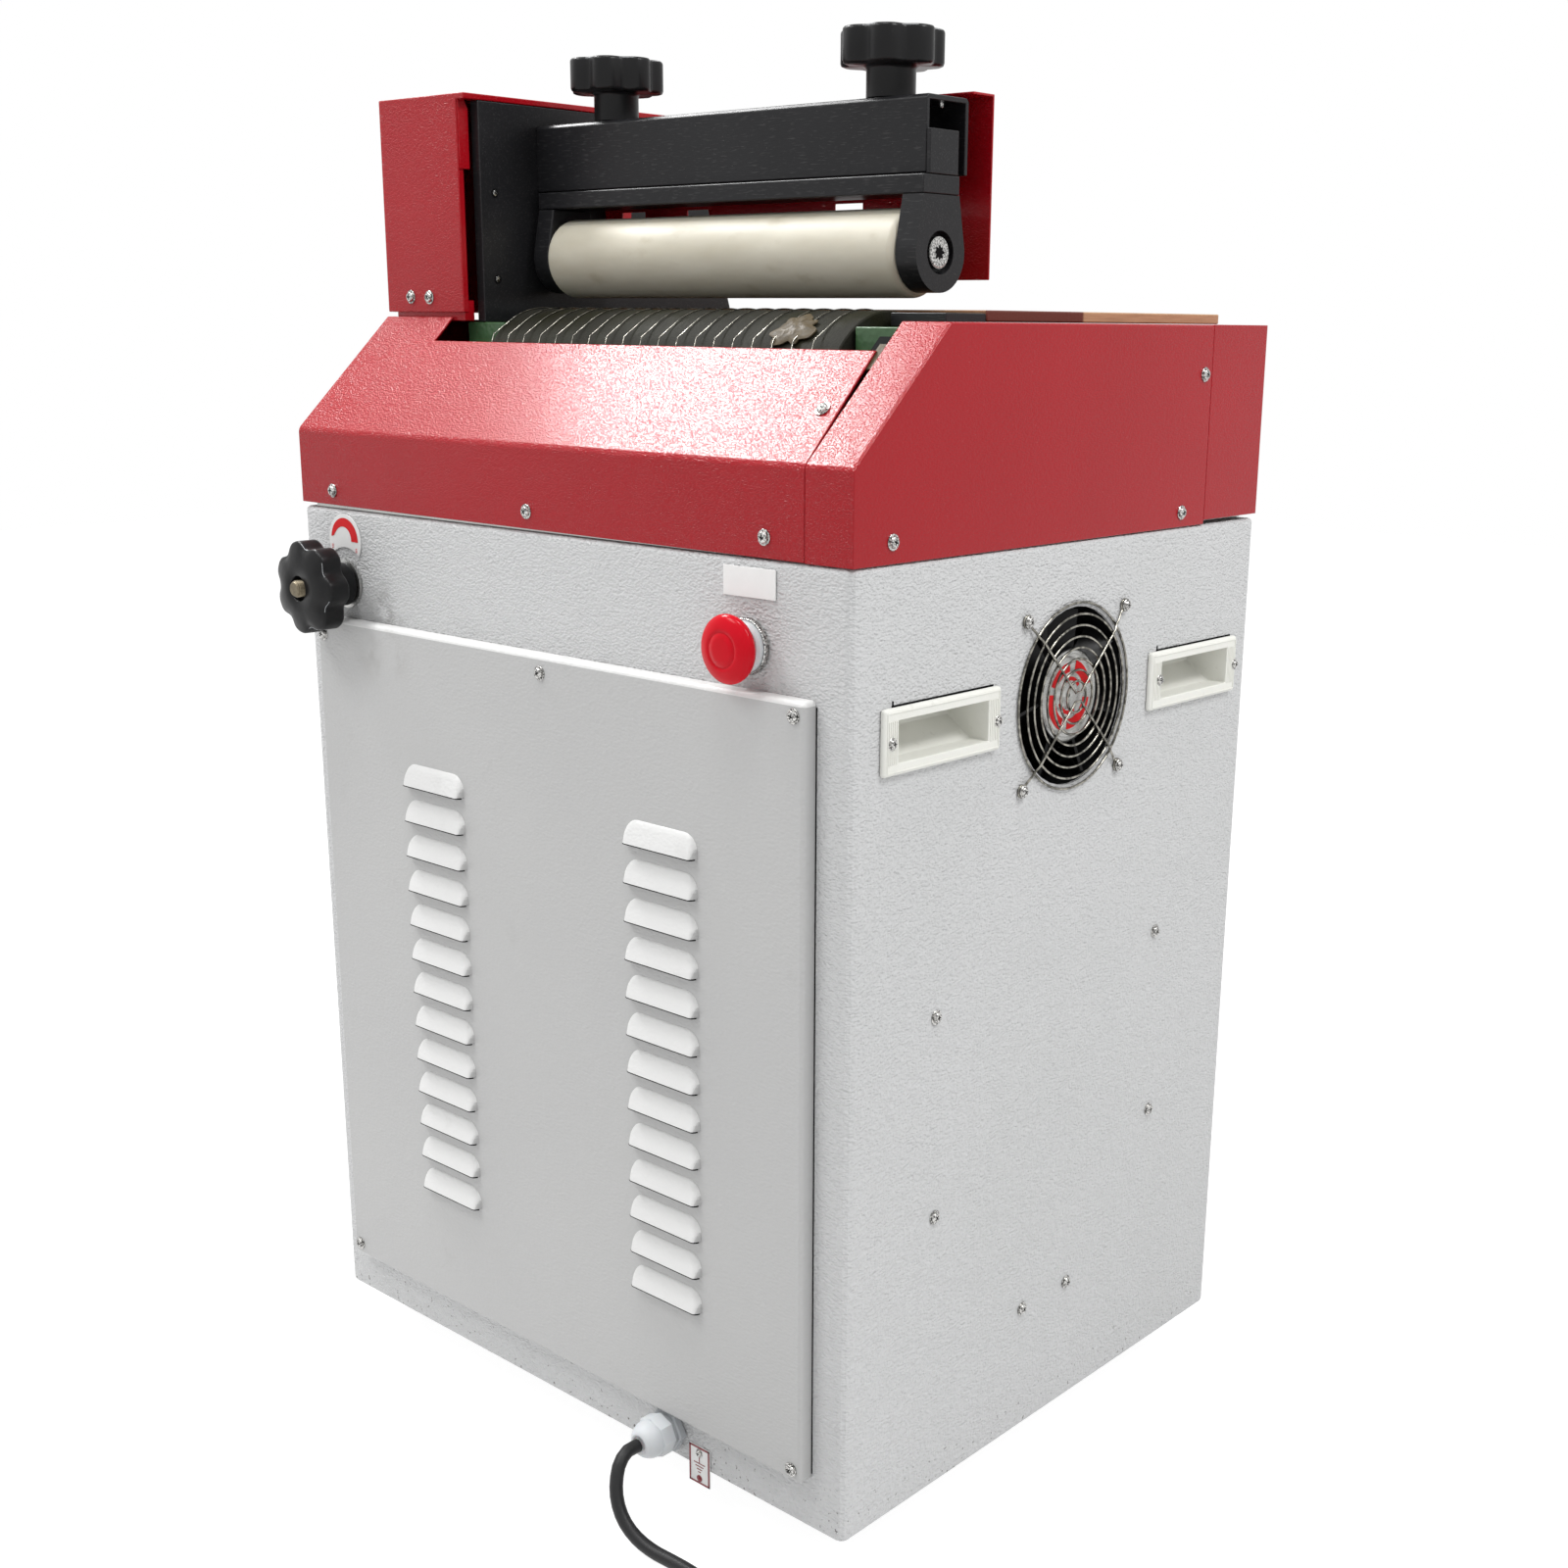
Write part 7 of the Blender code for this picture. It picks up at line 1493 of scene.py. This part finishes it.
def add_gland():
    """The cable gland: grey locknut, near white faceted nut with its rounded mouth."""
    six = 2 * pi / 6
    nut = bmesh.new()

    def hexagon(angle):
        return cos(pi / 6) / cos((angle % six) - pi / 6)

    def facets(angle):
        return cos(pi / 8) / cos((angle % (pi / 4)) - pi / 8)

    profile = [(0.0140, 0.0004), (0.0153, 0.0010), (0.0153, 0.0054), (0.0143, 0.0063)]
    turned(nut, GLAND_CENTRE, (0, -1, 0), profile, 48, hexagon)
    turned(nut, GLAND_CENTRE, (0, -1, 0), [(0.0118, 0.0060), (0.0126, 0.0064), (0.0126, 0.0086)], 48)
    outward(nut)
    new_piece("gland_nut", nut, "machine", "grey_plastic", "grey_paint", 26)
    dome = bmesh.new()
    profile = [(0.0126, 0.0086), (0.0141, 0.0092), (0.0143, 0.0100), (0.0143, 0.0178), (0.0138, 0.0190)]
    turned(dome, GLAND_CENTRE, (0, -1, 0), profile, 64, facets)
    profile = [
        (0.0126, 0.0180), (0.0127, 0.0196), (0.0124, 0.0222), (0.0116, 0.0248), (0.0104, 0.0270),
        (0.0090, 0.0286), (0.0076, 0.0296), (0.0066, 0.0298), (0.0056, 0.0294), (0.0050, 0.0284),
    ]
    turned(dome, GLAND_CENTRE, (0, -1, 0), profile, 64)
    outward(dome)
    new_piece("gland_dome", dome, "machine", "grey_plastic", angle=26, replaces=("cord_gland",))


# Rollers


def add_glue_roller():
    """The glue roller on its journals."""
    shape = bmesh.new()
    y, z = GLUE_AXIS
    profile = [(GLUE_JOURNAL_RADIUS, GLUE_JOURNAL_ENDS[0]), (GLUE_JOURNAL_RADIUS, GLUE_ENDS[0])]
    profile += [(GLUE_RADIUS - 0.0008, GLUE_ENDS[0]), (GLUE_RADIUS, GLUE_ENDS[0] + 0.0008)]
    profile += [(GLUE_RADIUS, GLUE_ENDS[1] - 0.0008), (GLUE_RADIUS - 0.0008, GLUE_ENDS[1])]
    profile += [(GLUE_JOURNAL_RADIUS, GLUE_ENDS[1]), (GLUE_JOURNAL_RADIUS, GLUE_JOURNAL_ENDS[1])]
    turned(shape, (0.0, y, z), (1, 0, 0), profile, 96)
    outward(shape)
    new_piece("knurled_roller", shape, "glue_roller", "dark_steel", angle=20, replaces=("glue_roller",))


def wire_path(x):
    """One wire: from the front rail over the roller to the rear rail."""
    y, z = GLUE_AXIS
    ride = GLUE_RADIUS / cos(pi / 48) + WIRE_CLEAR + WIRE_RADIUS
    dy, dz = y - WIRE_KINK[0], z - WIRE_KINK[1]
    front = atan2(dz, dy) + asin(ride / hypot(dy, dz))
    ry, rz = WIRE_REAR_RAIL[0] - y, WIRE_REAR_RAIL[1] - z
    rear = atan2(ry, rz) - acos(ride / hypot(ry, rz))
    points = [(x, *WIRE_FRONT_RAIL), (x, *WIRE_FOOT), (x, *WIRE_KINK)]
    for index in range(21):
        angle = -front + (rear + front) * index / 20
        points.append((x, y + ride * sin(angle), z + ride * cos(angle)))
    points.append((x, *WIRE_REAR_RAIL))
    return points


def add_wires():
    wires = bmesh.new()
    ends = (WIRE_FIRST - 0.003, WIRE_FIRST + WIRE_PITCH * (WIRE_COUNT - 1) + 0.003)
    for index in range(WIRE_COUNT):
        tube(wires, wire_path(WIRE_FIRST + WIRE_PITCH * index), WIRE_RADIUS, 8)
    y, z = WIRE_FRONT_RAIL
    block(wires, (ends[0], y - 0.0020, z - 0.0030), (ends[1], y + 0.0020, z + 0.0030), 0.0004)
    y, z = WIRE_REAR_RAIL
    block(wires, (ends[0], y - 0.0040, z - 0.0030), (ends[1], y + 0.0040, z + 0.0030), 0.0004)
    outward(wires)
    new_piece("wires_shown", wires, "machine", "steel", "wire_plating", 60, replaces=("wire_comb",))


def add_glue_lump():
    """Dried glue stuck on the wires near the right end, thin at its ragged rim."""
    shape = bmesh.new()
    y, z = GLUE_AXIS
    floor = GLUE_RADIUS / cos(pi / 48) + WIRE_CLEAR + 0.0002
    rows = []
    for row in range(17):
        line = []
        for column in range(17):
            u, v = row / 8 - 1, column / 8 - 1
            turn = atan2(v, u)
            ragged = 0.80 + 0.12 * sin(3 * turn + 0.6) + 0.08 * sin(7 * turn) + 0.05 * sin(11 * turn + 2.0)
            reach = max(abs(u), abs(v)) * ragged
            x = LUMP_PLACE[0] + reach * cos(turn) * LUMP_SIZE[0]
            angle = radians(LUMP_PLACE[1] + reach * sin(turn) * LUMP_SIZE[1])
            thick = LUMP_THICK * (1 - max(abs(u), abs(v)) ** 2) * (0.8 + 0.2 * sin(9 * u + 2) * cos(8 * v))
            radius = floor + 0.0012 + max(thick, 0.0)
            line.append((x, y - radius * sin(angle), z + radius * cos(angle)))
        rows.append(line)
    loft(shape, rows, closed=False, caps=False)
    under = []
    for line in rows:
        under.append([(x, y + (b - y) * LUMP_UNDER, z + (c - z) * LUMP_UNDER) for x, b, c in line])
    loft(shape, under, closed=False, caps=False)
    rim = [rows[0], [line[-1] for line in rows], rows[-1][::-1], [line[0] for line in rows][::-1]]
    lower = [under[0], [line[-1] for line in under], under[-1][::-1], [line[0] for line in under][::-1]]
    for top, bottom in zip(rim, lower):
        loft(shape, [top, bottom], closed=False, caps=False)
    bmesh.ops.remove_doubles(shape, verts=shape.verts, dist=1e-6)
    outward(shape)
    new_piece("glue_lump", shape, "machine", "dark_steel", "glue", 60)


def add_press_roller():
    """The nylon roller, its edges well rounded."""
    shape = bmesh.new()
    left, right = PRESS_ENDS
    angles = [pi / 2 * index / 8 for index in range(1, 8)]
    corner = [(PRESS_RADIUS - PRESS_EDGE * (1 - sin(a)), PRESS_EDGE * (1 - cos(a))) for a in angles]
    profile = [(PRESS_BORE_RADIUS, left), (PRESS_RADIUS - PRESS_EDGE, left)]
    profile += [(radius, left + inward) for radius, inward in corner]
    profile += [(PRESS_RADIUS, left + PRESS_EDGE), (PRESS_RADIUS, right - PRESS_EDGE)]
    profile += [(radius, right - inward) for radius, inward in reversed(corner)]
    profile += [(PRESS_RADIUS - PRESS_EDGE, right), (PRESS_BORE_RADIUS, right), (PRESS_BORE_RADIUS, left)]
    turned(shape, (0.0, *PRESS_AXIS), (1, 0, 0), profile, 96, bored=True)
    outward(shape)
    new_piece("nylon_roller", shape, "press_roller", "nylon", angle=40, replaces=("press_roller",))


# Column, arm and carriage

ARM_TOP = 0.8585
ARM_Y = (0.1421, 0.1818)
PLATE_FACE = -0.1620
PLATE_REAR = 0.330
PLATE_BOTTOM = 0.728
PLATE_TOP = 0.8714
PLATE_PINS = ((0.104, 0.8128), (0.104, 0.7563))
AXLE_FACE = 0.1885


def add_column():
    """The side plate with its screws, the arm with its knobs, and the carriage under it."""

    def on_top_edge(place):
        return place.z > ARM_TOP - 0.0004 and min(abs(place.y - y) for y in ARM_Y) < 0.0004

    def top_edges(edge):
        return all(on_top_edge(vert.co) for vert in edge.verts)

    def raked(place):
        """The side plate's rear edge leans forward to its top."""
        if place.y < PLATE_REAR - 0.005:
            return place
        share = (place.z - PLATE_BOTTOM) / (PLATE_TOP - PLATE_BOTTOM)
        return place + Vector((0, 0.006 - 0.046 * share, 0))

    refine("side_plate", "arm_paint", 0.0006, shift=raked)
    refine("arm_channel", "arm_paint", 0.0006, folds=top_edges, fold_radius=0.0026)
    refine("guide_block", "arm_paint", 0.0006)
    refine("pressure_bar", "arm_paint", 0.0007)
    refine("ear_left", "arm_paint", 0.0010, 3)
    refine("ear_right", "arm_paint", 0.0010, 3)
    for name in ("press_axle", "pressure_screw_left", "pressure_screw_right"):
        dress(name, "steel")
    for side, x in (("left", -0.1010), ("right", 0.1421)):
        add_star_knob(
            "pressure_star_" + side,
            "pressure_knob_" + side,
            (x, 0.16195, 0.8588),
            (0, 0, 1),
            hub=(0.015, 0.0185),
            head=(0.0318, 0.021),
            recess=None,
        )
    pins = bmesh.new()
    # Painted shade: a black disc round each pin stands for the dark of its hole.
    shade_discs = bmesh.new()
    hole = [(0.0030, 0.0001), (0.0030, 0.0003)]
    pin = [(0.0019, 0.0003), (0.0019, 0.0008), (0.0012, 0.0011)]
    for y, z in PLATE_PINS:
        turned(shade_discs, (PLATE_FACE, y, z), (1, 0, 0), hole, 24)
        turned(pins, (PLATE_FACE, y, z), (1, 0, 0), pin, 24)
    stud = [(0.0014, 0.0), (0.0017, 0.0004), (0.0017, 0.0030)]
    turned(pins, (0.1790, 0.1640, ARM_TOP - 0.0062), (0, 0, 1), stud, 16)
    outward(pins)
    new_piece("plate_pins", pins, "machine", "steel", "chrome")
    outward(shade_discs)
    new_piece("plate_pin_shade", shade_discs, "machine", "arm_paint", "gap_black")
    add_axle_head()


def add_axle_head():
    """The worn end of the axle, its edge turned down, with a ragged driver's socket drawn as a thin black
    star of painted shade.
    """
    cap = bmesh.new()
    profile = [(0.0088, 0.0), (0.0087, 0.0003), (0.0082, 0.0005)]
    profile += [(0.0064, 0.0005), (0.0062, 0.0004), (0.0048, 0.0004)]
    turned(cap, (AXLE_FACE, *PRESS_AXIS), (1, 0, 0), profile)
    outward(cap)
    new_piece("axle_cap", cap, "press_carriage", "steel", "chrome")

    def star(angle):
        return 0.80 + 0.16 * cos(8 * angle) + 0.07 * sin(5 * angle + 1.0)

    # Painted shade: the socket is a thin black star on the cap, not a hole.
    socket = bmesh.new()
    turned(socket, (AXLE_FACE, *PRESS_AXIS), (1, 0, 0), [(0.0046, 0.0003), (0.0046, 0.00055)], 64, star)
    outward(socket)
    new_piece("axle_socket_shade", socket, "press_carriage", "steel", "gap_black")


# Frames, table and back

PANEL_REAR = 0.4283
PANEL_KNOB_Z = 0.470
PANEL_KNOBS = ((-0.090, 0.0120, (0, 90, 180)), (0.090, 0.0150, range(-45, 226, 30)))
DISPLAY_PROUD = 0.005

def add_panel():
    """The back panel's display window and keys, and the marks round its two knobs."""
    face = PANEL_REAR + DISPLAY_PROUD
    glass = bmesh.new()
    block(glass, (-0.0195, face - 0.0002, 0.4975), (0.0195, face + 0.0005, 0.5195), 0.0004)
    new_piece("display_glass", glass, "machine", "grey_paint", "black_plastic")
    keys = bmesh.new()
    for x in (-0.0135, 0.0, 0.0135):
        block(keys, (x - 0.0045, face - 0.0002, 0.4825), (x + 0.0045, face + 0.0012, 0.4895), 0.0006)
    new_piece("display_keys", keys, "machine", "grey_paint", "grey_plastic")
    marks = bmesh.new()
    for x, radius, angles in PANEL_KNOBS:
        for angle in angles:
            across, up = cos(radians(angle)), sin(radians(angle))
            line = [
                (x + across * (radius + away), PANEL_REAR + 0.0002, PANEL_KNOB_Z + up * (radius + away))
                for away in (0.0035, 0.0070)
            ]
            tube(marks, line, 0.0005, 8)
    outward(marks)
    new_piece("knob_marks", marks, "machine", "grey_paint", "gap_black")


def add_rest():
    for name in ("side_frame_left", "side_frame_right"):
        refine(name, "green_paint", 0.0008)
    refine("table_board", "board", 0.0008)
    refine("side_rail", "arm_paint", 0.0006)
    refine("control_panel", "grey_paint", 0.0006)
    refine("power_switch", "black_plastic", 0.0005)
    refine("speed_knob", "black_plastic", 0.0008)
    for name, slot in (
        ("deck_plate", "steel"),
        ("glue_trough", "dark_steel"),
        ("doctor_blade", "steel"),
        ("gear_motor", "grey_paint"),
        ("motor_bracket", "steel"),
        ("motor_sprocket", "steel"),
        ("roller_sprocket", "steel"),
        ("drive_chain", "dark_steel"),
    ):
        dress(name, slot)


# Studio

FLOOR_REACH = 6.0


def set_world():
    """White where it is seen or mirrored, and a soft light on the object."""
    world = bpy.data.worlds.new("studio")
    bpy.context.scene.world = world
    world.use_nodes = True
    tree = world.node_tree
    background = tree.nodes["Background"]
    start = Tone(tree, None)
    seen = start.node("ShaderNodeLightPath", {}, output="Is Camera Ray")
    glossy = start.node("ShaderNodeLightPath", {}, output="Is Glossy Ray")
    through = start.node("ShaderNodeLightPath", {}, output="Is Transmission Ray")
    plain = seen.math("MAXIMUM", seen.math("MAXIMUM", seen, glossy), through)
    background.inputs["Color"].default_value = (1.0, 1.0, 1.0, 1.0)
    tree.links.new((0.58 + plain * 0.42).socket, background.inputs["Strength"])


def add_floor():
    """A pale floor that keeps the object's shadow."""
    floor_mesh = bpy.data.meshes.new("floor")
    reach = FLOOR_REACH
    corners = [(-reach, -reach, 0), (reach, -reach, 0), (reach, reach, 0), (-reach, reach, 0)]
    floor_mesh.from_pydata(corners, [], [(0, 1, 2, 3)])
    floor = new_object("floor", floor_mesh)
    material, shader, point = new_finish("pale_floor", Roughness=0.9, Specular_IOR_Level=0.0)
    shader.inputs["Base Color"].default_value = (0.8, 0.8, 0.8, 1.0)
    seen = point.node("ShaderNodeLightPath", {}, output="Is Camera Ray")
    glossy = point.node("ShaderNodeLightPath", {}, output="Is Glossy Ray")
    glow = point.node("ShaderNodeEmission", {"Color": (1, 1, 1, 1), "Strength": 1.30})
    lit = Tone(point.tree, shader.outputs[0])
    share = seen.math("MAXIMUM", seen, glossy) * 0.72
    both = point.node("ShaderNodeMixShader", {0: share, 1: lit, 2: glow})
    output = material.node_tree.nodes["Material Output"]
    material.node_tree.links.new(both.socket, output.inputs["Surface"])
    floor_mesh.materials.append(material)


def add_lamps():
    slope = Vector((0.0, -0.16, 0.72))
    add_lamp("glare_panel", slope + Vector((-0.679, 0.0, 0.734)) * 2.3, slope, (0.9, 0.54), 46.0)
    middle = Vector((0.0, 0.0, 0.5))
    add_lamp("top_strip", middle + Vector((0.10, -0.24, 0.97)) * 2.6, middle, (0.8, 0.4), 19.0)
    add_lamp("front_key", middle + Vector((-0.30, -0.56, 0.77)) * 2.6, middle, (0.9, 0.7), 19.5)
    add_lamp("side_key", middle + Vector((0.64, 0.10, 0.76)) * 2.6, middle, (0.9, 0.7), 34.0)


def add_lamp(name, place, target, size, power):
    data = bpy.data.lights.new(name, "AREA")
    data.shape = "RECTANGLE"
    data.size, data.size_y = size
    data.energy = power
    lamp = new_object(name, data)
    lamp.location = place
    lamp.rotation_euler = (target - place).to_track_quat("-Z", "Y").to_euler()


set_camera()
add_cord()
add_cabinet()
add_door()
add_covers()
add_cover_strips()
add_handles()
add_guard()
add_rotor()
add_thickness_knob()
add_button()
add_plates()
add_dial_print()
add_tag_print()
add_gland()
add_glue_roller()
add_wires()
add_glue_lump()
add_press_roller()
add_column()
add_panel()
add_rest()
add_screws()
set_world()
add_floor()
add_lamps()
bpy.context.scene.view_settings.view_transform = "Standard"
